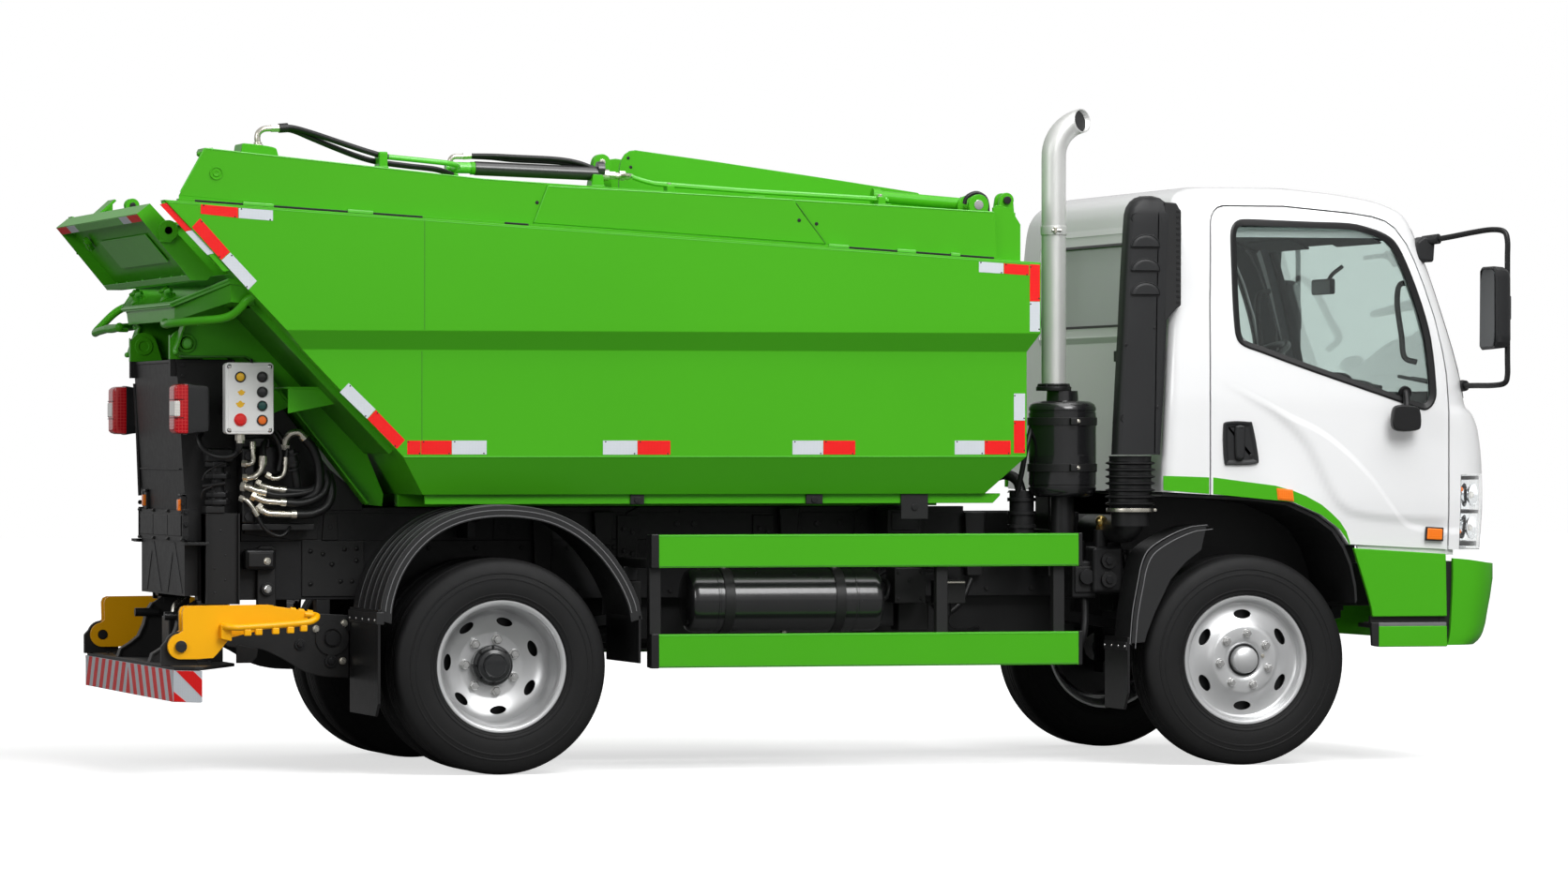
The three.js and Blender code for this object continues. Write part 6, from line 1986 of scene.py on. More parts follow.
def rear_guard(word, side, line):
    """Guard over the twin rear wheels, with its ribs, pressed lines drawn in light grey as painted
    highlights, and flaps.
    """
    low = 216 if side == RIGHT else 370
    guard = Piece(f"rear_guard_{word}", side)
    ribbon(guard, line, 0, 9, 495, 983, "guard_plastic")
    ribbon(guard, line, -3, 40, 973, 985, "guard_plastic", 2)
    for y in (600, 700, 800, 890):
        ribbon(guard, line[1:-1], -4, 4, y, y + 26, "guard_plastic", 2)
        # thin light grey ribbons on the ribs: painted highlight lines
        ribbon(guard, line[1:-1], -5.5, 0, y + 2, y + 6, "edge_plastic")
    # light grey lines along the guard's edge and face: painted highlights
    ribbon(guard, line, -4, 0, 974, 979, "edge_plastic")
    for depth in (12, 32):
        ribbon(guard, line[2:-2], depth, depth + 3, 984, 986.5, "edge_plastic")
    flap = [(500, low), (940, low), (985, low + 46), (985, 600), (500, 600)]
    guard.beam(flap, -462, -452, "seal_rubber", 2)
    guard.box((-468, 500, 545), (-438, 986, 592), "guard_plastic", 4, 3)
    flap_rivets(-468, 562, (530, 640, 750, 860, 960), side)
    guard.beam([(500, 400), (985, 400), (985, 575), (500, 575)], 501, 510, "seal_rubber", 2)
    guard.box((-45, RAIL_OUT + 1, 850), (-15, 600, 955), "black_plate", 2)
    guard.tube([(-20, RAIL_OUT + 4, 900), (-20, 700, 930), (-22, 820, 952)], 12, "black_plate")
    guard.make("chassis", "black_plastic", f"rear_mudguard_{word}", angle=35)


def front_guard(word, side):
    """Guard behind a front wheel, with its flap."""
    low = 211 if side == RIGHT else 370
    guard = Piece(f"front_guard_{word}", side)
    outer = smooth_outline([(2682, 895), (2622, 889), (2560, 868), (2500, 838), (2449, 800),
                            (2424, 748), (2412, 690), (2398, 620), (2388, 555), (2380, 455)],
                           skip=(9, 0), step=3)
    outer = [p for p in outer if p[0] <= 2682]
    inner = [(x + 9.6, z - 7.2) for x, z in outer[::-1]]
    guard.slab(outer + inner, 765, 950, "guard_plastic", 3)
    face = outer + [(2440, 460), (2449, 493), (2480, 570), (2540, 690), (2600, 756), (2660, 800)]
    guard.slab(face, 938, 950, "guard_plastic", 3)
    # two light grey lines along the guard's edge: painted highlights
    for shift, y in ((0, 945), (26, 948)):
        line = [(x + shift * 0.8, z - shift * 0.6) for x, z in outer]
        back = [(x + 3, z - 2.5) for x, z in line[::-1]]
        guard.slab(line + back, y, 951.5, "edge_plastic", 0.7)
    flap = [(680, low), (905, low), (950, low + 62), (950, 480), (680, 480)]
    guard.beam(flap, 2372, 2382, "seal_rubber", 2)
    guard.box((2366, 682, 430), (2374, 948, 462), "guard_plastic", 2)
    flap_rivets(2366, 446, (700, 780, 860, 935), side)
    guard.box((2440, RAIL_OUT + 1, 765), (2480, 770, 800), "black_plate", 3)
    guard.make("chassis", "black_plastic", f"front_mudguard_{word}", angle=35)


def arch_liner(word, side):
    """Liner in the cab's wheel arch."""
    liner = Piece(f"arch_liner_{word}", side)
    curve = [(2500, 1000), (2690, 992), (2850, 984), (2990, 966), (3100, 918), (3170, 868),
             (3212, 806), (3240, 740), (3258, 660), (3262, 600)]
    rings = [[(x, 470, z), (x, 955, z), (x + 8, 955, z + 10), (x + 8, 470, z + 10)] for x,
             z in curve]
    liner.loft(rings, "guard_plastic")
    wall = curve + [(3262, 560), (2960, 560), (2960, 640), (2500, 640)]
    liner.slab(wall[::-1], 470, 480, "guard_plastic", 1)
    liner.make("cab", "black_plastic")


def build_mudguards():
    """Plastic guards with pressed lines drawn in light grey as painted highlights, flaps and
    riveted flap heads.
    """
    line = [(p.x, p.z) for p in smooth_path([(x, 0, z) for x, z in GUARD_LINE], 4)]
    for word, side in SIDES:
        rear_guard(word, side, line)
        front_guard(word, side)
        arch_liner(word, side)


# ---------------------------------------------------------------- cover and its hydraulics

COVER_HALF = 975
COVER_GAPS = ((-1130, -956), (-844, -576), (-483, -302), (-1, 88), (1287, 1470), (1542, 1675),
              (1711, 1840))
COVER_TABS = ((-956, -844), (-576, -483), (1211, 1287), (1470, 1542), (1675, 1711))


def cover_top(x):
    """Height of the cover's top along the truck."""
    line = [(-1089, 2248), (-70, 2148), (1082, 2084), (1851, 2046)]
    for (x0, z0), (x1, z1) in zip(line, line[1:]):
        if x <= x1:
            return z0 + (z1 - z0) * (x - x0) / (x1 - x0)
    return line[-1][1]


def build_cover():
    """Tub cover with its side sheets, lap plates, weld tabs, bosses and hinge plates."""
    piece = rounded(Piece("cover_panels"), "tub_cover", "green_paint", 3.0, 2)
    for part in piece.sides():
        rear = -1181 if part.side == RIGHT else -560
        tops = [(x, z - 1) for x, z in ((-1089, 2248), (-560, cover_top(-560)), (-70, 2148),
                                        (1082, 2084), (1851, 2046)) if x >= rear]
        low = [(x, tub_top(x) + 2) for x in (1861, 1000, 200, -500, -1181) if x > rear]
        if part.side == RIGHT:
            sheet = [(rear, 2078)] + tops + low
        else:
            sheet = tops + low + [(rear, tub_top(rear) + 2)]
        part.slab(sheet, COVER_HALF - 6, COVER_HALF + 1, "green_paint", 2.5)
        lap = [(163, 2126), (1082, 2084), (1116, 2036), (1207, 1922), (111, 1990)]
        part.slab(lap, COVER_HALF - 3, COVER_HALF + 9, "green_paint", 3, 3)
        # rubber gaps, and weld tabs in the painted-highlight green
        for spans, high, y0, y1, paint, edge in ((COVER_GAPS, 8, 990, 1005.5, "seal_rubber", 1),
                                                 (COVER_TABS, 13, 985, 1006, "green_light", 2)):
            for start, end in (span for span in spans if span[0] >= rear):
                strip = [(start, tub_top(start) + 1), (end, tub_top(end) + 1),
                         (end, tub_top(end) + high), (start, tub_top(start) + high)]
                part.slab(strip, y0, y1, paint, edge)
        if part.side == RIGHT:
            part.lathe((-1047, 974, 2158), OUT, [(0, 4), (5, 4), (8, 6), (12, 6), (14, 3), (18, 3),
                                                 (20, 6), (23, 6), (24, 3), (24, -2), (0, -2)],
                       "green_paint", 32)
            part.tube([(-1176, 974, 2090), (-1090, 974, 2244), (-1060, 974, 2246)], 3,
                      "green_light", smooth=False)
            part.ball((-1086, 930, 2226), 24, "green_paint", squash=0.5)
        for x, z, depth in ((1104, 2008, 985.4), (1172, 1996, 977), (126, 2064, 977)):
            part.rod((x, depth - 4, z), (x, depth, z), 7, "seal_rubber")
        # thin light tubes along the cover's edges and the lap plate's rear edge: painted
        # highlights; the lap plate's front edge gets painted shade
        edge = [(x, cover_top(x) - 2) for x in (max(rear, -1085), -70, 150)]
        for (x0, z0), (x1, z1) in zip(edge, edge[1:]):
            part.tube([(x0, COVER_HALF, z0), (x1, COVER_HALF, z1)], 2.6, "green_light",
                      smooth=False)
        part.tube([(170, 983, 2123), (1082, 983, 2082)], 2.2, "green_light", smooth=False)
        part.tube([(1090, COVER_HALF, 2081), (1848, COVER_HALF, 2044)], 2.6, "green_light",
                  smooth=False)
        part.tube([(164, 983.5, 2122), (114, 983.5, 1994)], 1.8, "green_light", smooth=False)
        part.tube([(1092, 983.5, 2072), (1204, 983.5, 1924)], 1.8, "green_shadow", smooth=False)
        plate_form = smooth_outline([(1868, 1886), (1956, 1882), (1960, 1990), (1946, 2030),
                                     (1926, 2060), (1866, 2060)], skip=(0, 1), step=4)
        part.slab(plate_form, 896, 908, "green_paint", 3)
        part.rod((1936, 880, 1980), (1936, 922, 1980), 13, "zinc")
        part.rod((1926, 890, 1917), (1926, 916, 1917), 10, "dark_metal")
        hinge = [(1890, 2040), (1896, 2080)] + arc((1926, 2092), 28, 160, -20, 10) + [(1956, 2040)]
        for y in (812, 868):
            part.slab(hinge, y, y + 16, "green_paint", 3)
        part.slab([(1840, 2030), (1956, 2024), (1956, 2046), (1840, 2046)], 800, 896, "green_paint",
                  2)
        part.rod((1926, 800, 2092), (1926, 896, 2092), 14, "dark_metal")
    raised = smooth_outline([(-921, 2222), (-914, 2268), (-896, 2274), (-800, 2262), (-784, 2244),
                             (-776, 2214)], skip=(0, 5), step=4)
    piece.slab(raised, -770, -630, "green_paint", 5, 3)
    for x in (-460, 340, 940, 1420):
        piece.box((x, -930, cover_top(x) - 8), (x + 50, 930, cover_top(x) + 6), "green_paint", 3)
    piece.make("tub", "green_paint", "tub_cover", angle=32)


def clamp_band(piece, x, y, z, width, high, paint="green_paint"):
    """A small bent clamp that holds pipes to the cover."""
    piece.box((x - 15, y - width / 2, z), (x + 15, y + width / 2, z + high), paint, 4, 3)
    piece.box((x - 22, y - width / 2 - 16, z), (x + 22, y - width / 2 + 2, z + 8), paint, 2)
    fix("tub", "bolt", "zinc", (x, y, z + high), UP, 16, 10)


def build_cover_hydraulics():
    """Packing ram, fin, hoses and pipes on the cover."""
    piece = Piece("cover_ram")
    low = [(x, cover_top(x) - 3) for x in (1850, 1400, 1082, 640)]
    fin = [(636, cover_top(636) - 3), (636, 2190), (638, 2226), (645, 2254), (659, 2276),
           (678, 2289), (700, 2292), (1000, 2254), (1500, 2186), (1800, 2143),
           (1850, 2110)] + low[:-1]
    piece.slab(fin, -158, -146, "green_paint", 3)
    piece.slab([(x, z - 20) if z > 2200 else (x, z) for x, z in fin], 146, 158, "green_paint", 3)
    for x, z in ((672, 2262), (682, 2228)):
        piece.rod((x, -159.5, z), (x, -145, z), 6, "seal_rubber")
    for x in (760, 1100, 1500):
        piece.box((x, -150, cover_top(x) - 3), (x + 12, 150, cover_top(x) + 34), "green_paint", 2)
    y = -300
    piece.rod((50, y, 2212), (528, y, 2196), 26, "ram_black", sides=32)
    # the ram's rear end in the painted-highlight green
    piece.rod((-60, y, 2214), (52, y, 2213), 21, "green_light")
    for x, radius, paint in ((34, 24, "green_paint"), (516, 30, "ram_black")):
        piece.rod((x, y, 2212), (x + 26, y, 2212), radius, paint)
    piece.rod((526, y, 2193), (560, y, 2191), 22, "zinc")
    piece.rod((560, y, 2191), (585, y, 2190), 16, "zinc", sides=6)
    piece.rod((585, y, 2190), (640, y, 2187), 13, "zinc")
    piece.rod((600, y, 2190), (622, y, 2189), 20, "zinc", sides=6)
    seat = [(-90, cover_top(-90) - 2), (700, cover_top(700) - 2), (700, cover_top(700) + 18),
            (-90, cover_top(-90) + 22)]
    piece.slab(seat, y - 46, y + 46, "green_paint", 3)
    for x in (-70, 480):
        foot = [(x, cover_top(x)), (x + 60, cover_top(x) - 3), (x + 50, 2192), (x + 12, 2194)]
        piece.slab(foot, y - 40, y + 40, "green_paint", 4)
    lug = [(514, 2150), (518, 2240)] + arc((552, 2240), 33, 175, 5, 10) + [(588, 2150)]
    for start in (-236, -205):
        piece.slab(lug, start, start + 16, "green_paint", 3)
    piece.rod((552, -242, 2242), (552, -184, 2242), 12, "zinc")
    over = y + 4
    piece.tube([(-40, over, 2222), (-40, over, 2242), (-26, over, 2254), (0, over, 2255),
                (16, over, 2256)], 10, "zinc")
    piece.rod((-40, over, 2214), (-40, over, 2232), 16, "zinc", sides=6)
    piece.rod((8, over, 2256), (38, over, 2258), 14, "zinc", sides=6)
    for shift, rise in ((0, 0), (18, -12)):
        path = [(34, over + shift, 2259 + rise * 0.3), (120, y + shift, 2259 + rise * 0.6),
                (205, y + shift, 2256 + rise), (358, y + shift, 2250 + rise),
                (440, y + shift, 2238 + rise * 0.8), (500, y + shift, 2218 + rise * 0.5),
                (548, y + shift * 0.3, 2200)]
        piece.tube(path, 8.5, "hose_rubber")
    pipes = [(620, -404, 2186), (650, -404, 2176), (693, -404, 2165), (744, -404, 2159),
             (1073, -404, 2137), (1300, -404, 2126), (1580, -404, 2112), (1600, -404, 2109)]
    # two pipes: the upper one in the painted-highlight green, the lower one in plain paint
    piece.tube(pipes, 6, "green_light")
    piece.tube([(x, yy - 22, z - 8) for x, yy, z in pipes], 6, "green_paint")
    piece.tube([(600, y, 2189), (620, -340, 2190), (622, -404, 2186)], 8, "zinc")
    for x, high in ((764, 52), (1578, 60)):
        clamp_band(piece, x, -410, cover_top(x) - 2, 56, high)
    piece.tube([(1600, y, 2122), (1700, y, 2114), (1950, y, 2095)], 23, "green_paint", sides=24)
    piece.rod((1578, y, 2124), (1608, y, 2121), 29, "green_paint")
    piece.rod((1925, y, 2096), (1960, y, 2094), 28, "green_paint")
    hoop = [(1900, 2046)] + arc((1943, 2088), 40, 205, -25, 16) + [(1985, 2046)]
    for y0 in (-470, -330, 330, 470):
        piece.slab(hoop, y0 - 8, y0 + 8, "green_paint", 3)
    bar = [(-480, -320, 18, "bright_steel"), (320, 480, 18, "bright_steel"),
           (-320, 320, 12, "green_paint")]
    for start, end, radius, paint in bar:
        piece.rod((1943, start, 2088), (1943, end, 2088), radius, paint)
    piece.tube([(1898, -440, 2092), (1908, -440, 2118), (1943, -440, 2134), (1976, -440, 2120),
                (1988, -440, 2092), (1990, -440, 2050)], 8, "hose_rubber")
    x, z = -842, 2258
    piece.rod((x, -700, z - 10), (x, -700, z + 16), 19, "zinc", sides=6)
    piece.rod((x, -700, z + 14), (x, -700, z + 24), 15, "zinc")
    piece.tube([(x, -700, z + 20), (x - 2, -700, z + 42), (x + 4, -700, z + 60),
                (x + 24, -700, z + 72), (x + 60, -700, z + 74)], 11, "zinc")
    piece.rod((x + 48, -700, z + 74), (x + 82, -700, z + 75), 15, "zinc", sides=6)
    top = [(-762, -700, 2333), (-716, -690, 2336), (-637, -660, 2319), (-538, -630, 2291),
           (-459, -612, 2268), (-379, -600, 2246), (-340, -596, 2238)]
    piece.tube(top, 10.5, "hose_rubber")
    under = [(-762, -694, 2331), (-708, -672, 2327), (-629, -640, 2300), (-550, -605, 2273),
             (-450, -575, 2240), (-371, -560, 2221), (-260, -550, 2208), (-150, -540, 2197),
             (-80, -500, 2180)]
    piece.tube(under, 10.5, "hose_rubber")
    # this pipe in the painted-highlight green
    piece.tube([(-340, -596, 2238), (-200, -590, 2226), (-90, -560, 2216), (-40, -420, 2208),
                (-40, -320, 2208)], 10, "green_light")
    piece.rod((-766, -700, 2333), (-732, -696, 2336), 17, "hose_rubber")
    piece.box((-380, -630, cover_top(-364) - 4), (-348, -545, 2256), "green_paint", 5, 3)
    piece.make("tub", "green_paint", "cover_fittings", angle=35)


# ---------------------------------------------------------------- rear of the tub

TRAY_HALF = 860


def flap_tape(piece, start, end, paint):
    """A strip on the flange above the flap's tray, from y start to end."""
    top, foot = Vector((-1312, 2015)), Vector((-1288, 1988))
    out = Vector((-27, -24)).normalized()
    low, high = top + (foot - top) * 0.08, top + (foot - top) * 0.95
    piece.slab([low + out * 0.9, high + out * 0.9, high - out * 0.5, low - out * 0.5], start, end,
               paint, 0.3, 1)


def build_flap():
    """The rear flap: a recessed tray with its flange, panel, lugs and strips."""
    piece = rounded(Piece("flap_tray"), "tailgate", "green_paint", 2.5, 2)
    px, pz = FLAP_PIN
    for part in piece.sides():
        ear = arc(FLAP_PIN, 37, -60, 190, 24) + [(px - 30, pz - 42), (px + 10, pz - 44)]
        part.slab(ear, TRAY_HALF - 2, TRAY_HALF + 16, "green_paint", 3, 3)
        part.rod((px, TRAY_HALF + 14, pz), (px, TRAY_HALF + 18, pz), 15, "green_shadow")
        part.rod((px, TRAY_HALF + 12, pz), (px, TRAY_HALF + 17.5, pz), 11, "seal_rubber", sides=6)
    # the flange's strips: red and white tape, and in the middle a painted highlight
    for start, end, paint in ((-856, -640, "red_tape"), (-639, -470, "white_tape"),
                              (640, 856, "red_tape"), (470, 639, "white_tape"),
                              (-466, 466, "green_light")):
        flap_tape(piece, start, end, paint)
    # a lit band on the tray, a light line along its lower edge and light bolt heads: painted
    # highlights
    top, foot = Vector((-1264, 2006)), Vector((-1090, 1800))
    way = (foot - top).normalized()
    out = Vector((way.y, -way.x))
    start, end = top + way * 70, top + way * 200
    piece.slab([start - out, end - out, end + out * 3, start + out * 3], -520, 430, "green_light",
               1)
    start, end = Vector((-1130, 1797)), Vector((-1116, 1779))
    face = Vector((-0.79, -0.61))
    piece.slab([start + face * 1.2, end + face * 1.2, end - face, start - face], -852, 852,
               "green_light", 0.4, 1)
    for y in (-640, -420, -200, 160, 480, 700):
        piece.ball((-1105, y, 1800), 6, "green_light", sides=10)
    knob = [(0, 0), (20, 0), (20, 14), (12, 16), (12, 20), (0, 20)]
    for x, y, z in ((-1230, 600, 1960), (-1215, 640, 1945)):
        piece.lathe((x, y, z), (-0.7, 0, -0.6), knob, "green_paint", 20)
    piece.make("tailgate", "green_paint", "tailgate", angle=32)


def build_mouth_plates():
    """Wing, hinge ears, ledge and striped bands at the tub's mouth."""
    piece = Piece("tub_mouth_plates")
    wing = [(-1262, 2006), (-1140, 2116), (-1124, 2116), (-1124, 2050), (-1150, 2010)]
    piece.slab(wing, 690, 702, "green_paint", 2)
    piece.slab([(-1262, 2006), (-1140, 2116), (-1132, 2110), (-1254, 2000)], 560, 700,
               "green_paint", 2)
    ear = [(-1150, 2020), (-1142, 2072)] + arc((-1118, 2084), 26, 175, 10, 10) + [(-1088, 2030)]
    for y in (300, 340):
        piece.slab(ear, y, y + 12, "green_paint", 3)
    piece.rod((-1118, 296, 2084), (-1118, 356, 2084), 11, "dark_metal")
    piece.slab([(-1180, 2040), (-1100, 2066), (-1094, 2058), (-1176, 2030)], 250, 690,
               "green_paint", 2)
    for part in piece.sides():
        band = [(-1250, 2052), (-1226, 2056), (-1000, 1812), (-1026, 1806)]
        part.slab(band, 984, 1004, "green_paint", 1.5)
        for paint, start, end in (("red_tape", (-1256, 2044), (-1165, 1949)),
                                  ("white_tape", (-1164, 1948), (-1085, 1866))):
            outline = [start, (start[0] + 26, start[1] + 6), (end[0] + 26, end[1] + 6), end]
            part.slab(outline, 1003, 1005.2, paint, 0.3, 1)
    piece.make("tub", "green_paint")


def strip_outline(points, width):
    """A band of a given width along a line of (x, z) points."""
    left, right = [], []
    for i, point in enumerate(points):
        a = Vector(points[max(i - 1, 0)])
        b = Vector(points[min(i + 1, len(points) - 1)])
        way = (b - a).normalized()
        across = Vector((-way.y, way.x)) * width / 2
        left.append(tuple(Vector(point) + across))
        right.append(tuple(Vector(point) - across))
    return left + right[::-1]


CHEEK = [(-1110, 1692), (-1070, 1631), (-1104, 1535), (-1100, 1519), (-1085, 1511), (-842, 1511),
         (-797, 1479), (-396, 972), (-335, 966), (-330, 1010), (-392, 1160), (-905, 1695)]


def pivot_side(part):
    """One side's cheek plate with its flanges, shelf, guard tube and slanted beam."""
    px, pz = TIP_PIN
    solid = combine(prism_solid("y", CHEEK, 440, 470, part.side),
                    [prism_solid("y", arc(TIP_PIN, 22, 0, 345, 23), 430, 480, part.side)])
    round_edges(solid, 2.5, 2, 30)
    part.take(solid, "green_paint")
    spine = [(-1106, 1692), (-1068, 1631), (-1100, 1537), (-1094, 1519)]
    slope = [(-797, 1483), (-596, 1229), (-396, 976)]
    sill = [(-1085, 1511), (-842, 1511), (-797, 1481)]
    part.slab(strip_outline(spine, 9), 424, 500, "green_paint", 3)
    part.slab(strip_outline(slope, 9), 424, 512, "green_paint", 3)
    part.slab(strip_outline(sill, 8), 432, 484, "green_shadow", 2)
    part.ring((px, 468, pz), OUT, 23, 35, 9, "green_paint", 40, 2)
    # light bolt heads: painted highlights
    for y in (492, 500):
        for x, z in ((-1104, 1528), (-1072, 1632)):
            part.ball((x, y, z), 10, "green_light", sides=12)
    part.slab([(-743, 1392), (-515, 1392), (-515, 1400), (-743, 1400)], 468, 760, "green_paint", 2)
    part.slab([(-743, 1304), (-743, 1392), (-530, 1392)], 470, 480, "green_paint", 2)
    part.slab([(-743, 1304), (-560, 1340), (-515, 1392), (-743, 1392)], 750, 760, "green_paint", 2)
    part.tube([(-1140, 470, 1631), (-1150, 560, 1626), (-1155, 650, 1628), (-1120, 740, 1632),
               (-1060, 820, 1637), (-1010, 872, 1642), (-975, 905, 1656), (-950, 935, 1682),
               (-932, 952, 1706), (-905, 960, 1722)], 15, "green_paint", sides=18)
    # painted highlight on the guard tube's end
    part.ball((-905, 960, 1722), 18, "green_light", squash=0.6, sides=16)
    if part.side == LEFT:
        part.tube([(-1136, 690, 1631), (-1142, 900, 1622), (-1140, 980, 1618), (-1120, 986, 1640),
                   (-1050, 986, 1704), (-960, 975, 1740)], 15, "green_paint", sides=18)
    part.ball((-1138, 468, 1631), 18, "green_paint", sides=16)
    part.box((-1080, 770, 1618), (-1050, 800, 1634), "green_paint", 3)
    beam_line = [(-905, 1700), (-640, 1424), (-392, 1166)]
    part.slab(strip_outline(beam_line, 26), 880, 900, "green_paint", 3)
    part.slab(strip_outline([(-900, 1682), (-400, 1162)], 8), 470, 884, "green_shadow", 1)


def build_pivot_frame():
    """Cheek plates on the tipping pins, flanges, beams, chute lip and guard tubes."""
    piece = Piece("pivot_plates")
    for part in piece.sides():
        pivot_side(part)
    lip = [(-1120, 500, 0), (-1120, -500, 0), (-994, -950, 76), (-900, -955, 66), (-900, 955, 66),
           (-994, 950, 76)]
    piece.loft([[(x, y, base + rise) for x, y, rise in lip] for base in (1688, 1709)],
               "green_paint", 2)
    low = [(-1104, 470, 1640), (-1104, -470, 1640), (-985, -930, 1700), (-900, -930, 1690),
           (-900, 930, 1690), (-985, 930, 1700)]
    high = [(-1108, 490, 1692), (-1108, -490, 1692), (-990, -944, 1766), (-900, -944, 1756),
            (-900, 944, 1756), (-990, 944, 1766)]
    piece.loft([low, high], "green_paint", 2)
    # light tubes along the chute lip's edges: painted highlights
    piece.tube([(-1121, -500, 1699), (-1121, 500, 1699)], 6, "green_light", smooth=False)
    for side in (RIGHT, LEFT):
        piece.tube([(-1121, side * 500, 1704), (-995, side * 951, 1780)], 5, "green_light",
                   smooth=False)
    nozzle = [(0, 0), (30, 0), (32, 12), (20, 20), (16, 34), (22, 40), (20, 48), (0, 48)]
    for y in (-250, 350):
        piece.lathe((-1082, y, 1722), (-0.5, 0, 0.86), nozzle, "green_paint", 20)
        # small pipes in the painted-highlight green
        piece.tube([(-1082, y - 20, 1725), (-1100, y - 40, 1748), (-1086, y - 60, 1756)], 9,
                   "green_light")
    piece.make("tub", "green_paint", "pivot_frame", angle=35)


# ---------------------------------------------------------------- pedestal, valves, hoses and lamps


def build_pedestal():
    """Black rear pedestal with its collar, posts, shelves and markers."""
    piece = rounded(Piece("pedestal_box"), "rear_pedestal", "black_plate", 2.5, 2)
    px, pz = TIP_PIN
    for part in piece.sides():
        ears = [(-1111, 1502), (-1111, 1590)] + arc(TIP_PIN, 51, 160, 20, 12) + [(-989, 1502)]
        part.slab(ears, 390, 420, "green_paint", 4)
        part.ring((px, 386, pz), OUT, 18, 34, 6, "green_paint", 40, 2)
        part.rod((px, 470, pz), (px, 487, pz), 20.5, "green_paint")
        # pin cap in the painted-highlight green
        part.rod((px, 484, pz), (px, 490, pz), 15, "green_light")
        part.box((-1070, 441, 840), (-1046, 452, 958), "black_plate", 2)
        for z in (850, 900, 945):
            fix("chassis", "bolt", "dark_metal", (-1058, 452, z), OUT, 14, 10, part.side)
        for z in (1480, 1442, 1240, 975):
            fix("chassis", "bolt", "dark_metal", (-1066, 433, z), OUT, 13, 8, part.side)
        part.box((-1072, 434, 826), (-990, 542, 838), "black_plate", 2)
        post = [(436, 612), (540, 612), (540, 942), (436, 942)]
        for start in (-1000, -882):
            part.beam(post, start, start + 6, "black_plate", 2)
        part.box((-1000, 516, 612), (-876, 522, 942), "black_plate", 1)
        for x, z in ((-966, 742), (-926, 790), (-926, 700), (-944, 880), (-966, 655)):
            fix("chassis", "rivet", "dark_metal", (x, 521, z), OUT, 9, 3, part.side)
    for y, z in ((-410, 975), (300, 987)):
        piece.box((-1072, y - 26, z - 36), (-1052, y + 26, z + 38), "seal_rubber", 4, 3)
        piece.box((-1082, y - 16, z - 24), (-1068, y + 16, z + 18), "amber_lens", 3)
        piece.box((-1076, y - 26, z + 26), (-1052, y + 26, z + 38), "seal_rubber", 3)
    for start, end in ((-410, -150), (-140, 140), (150, 410)):
        piece.beam([(start, 858), (start, 934), (end, 934), (end, 858)], -1070, -1064,
                   "black_plate", 2)
    for y in (-430, -145, 145, 430):
        for z in (846, 948):
            piece.rod((-1068, y - 14, z), (-1068, y + 14, z), 6, "black_plate")
    for start in (-400, 20):
        chevron = [(start + y, z) for y, z in ((0, 650), (90, 650), (190, 800), (290, 650),
                                               (380, 650), (230, 834), (150, 834))]
        piece.beam(chevron, -1062, -1059, "grained_plastic", 0.8, 1)
    piece.box((-1092, -435, 1488), (-874, 435, 1501), "black_plate", 3)
    piece.box((-1074, -400, 1100), (-1068, 400, 1104), "black_plate", 1)
    piece.tube([(-1086, 436, 1420), (-1078, 438, 1300), (-1066, 438, 1000)], 7, "seal_rubber")
    for y in (-300, 300):
        piece.rod((-1110, y, 566), (-1020, y, 566), 16, "dark_metal")
    piece.make("chassis", "black_paint", "rear_pedestal", angle=35)


def elbow(piece, points, radius, paint="zinc", collar=True):
    """A bent fitting with a hexagon collar at its start and a ferrule at its end."""
    piece.tube(points, radius, paint, sides=18)
    first = Vector(points[1]) - Vector(points[0])
    last = Vector(points[-1]) - Vector(points[-2])
    if collar:
        start = Vector(points[0])
        piece.rod(start - first.normalized() * 4, start + first.normalized() * 14, radius * 1.5,
                  paint, sides=6)
    end = Vector(points[-1])
    piece.rod(end - last.normalized() * 22, end + last.normalized() * 6, radius * 1.28, paint)


def build_valves():
    """Valve stack beside the pedestal."""
    valves = Piece("valve_stack", RIGHT)
    x, y = -950, 500
    valves.rod((x, y, 944), (x, y, 1150), 24, "dark_metal")
    valves.box((-1000, 443, 943), (-930, 530, 968), "black_plate", 3)
    for z, wide in ((982, 44), (1009, 40), (1077, 44), (1120, 44)):
        reaches = [wide + (4 if k % 3 == 0 else 0) for k in range(18)]
        outline = [(x + reach * math.cos(math.tau * k / 18),
                    y + reach * math.sin(math.tau * k / 18))
                   for k, reach in enumerate(reaches)]
        valves.plate(outline, z - 9, z + 9, "dark_metal", 3)
        valves.ring((x, y, z + 9), UP, 20, 34, 7, "seal_rubber")
        for turn in (0.6, 2.2, 3.9, 5.2):
            spot = (x + 34 * math.cos(turn), y + 34 * math.sin(turn), z + 9)
            fix("chassis", "bolt", "dark_metal", spot, UP, 12, 9, RIGHT)
    valves.box((-1000, 470, 1128), (-900, 540, 1178), "dark_metal", 8, 3)
    valves.rod((-1010, 520, 1040), (-930, 540, 1052), 8, "dark_metal")
    for pipe in ([(-1012, 530, 1062), (-1000, 540, 1090), (-960, 548, 1116), (-930, 548, 1124)],
                 [(-1016, 530, 1000), (-1010, 545, 1026), (-980, 550, 1040)]):
        valves.tube(pipe, 4, "dark_metal")
    valves.make("chassis", "black_paint", "hydraulic_valves", angle=35)


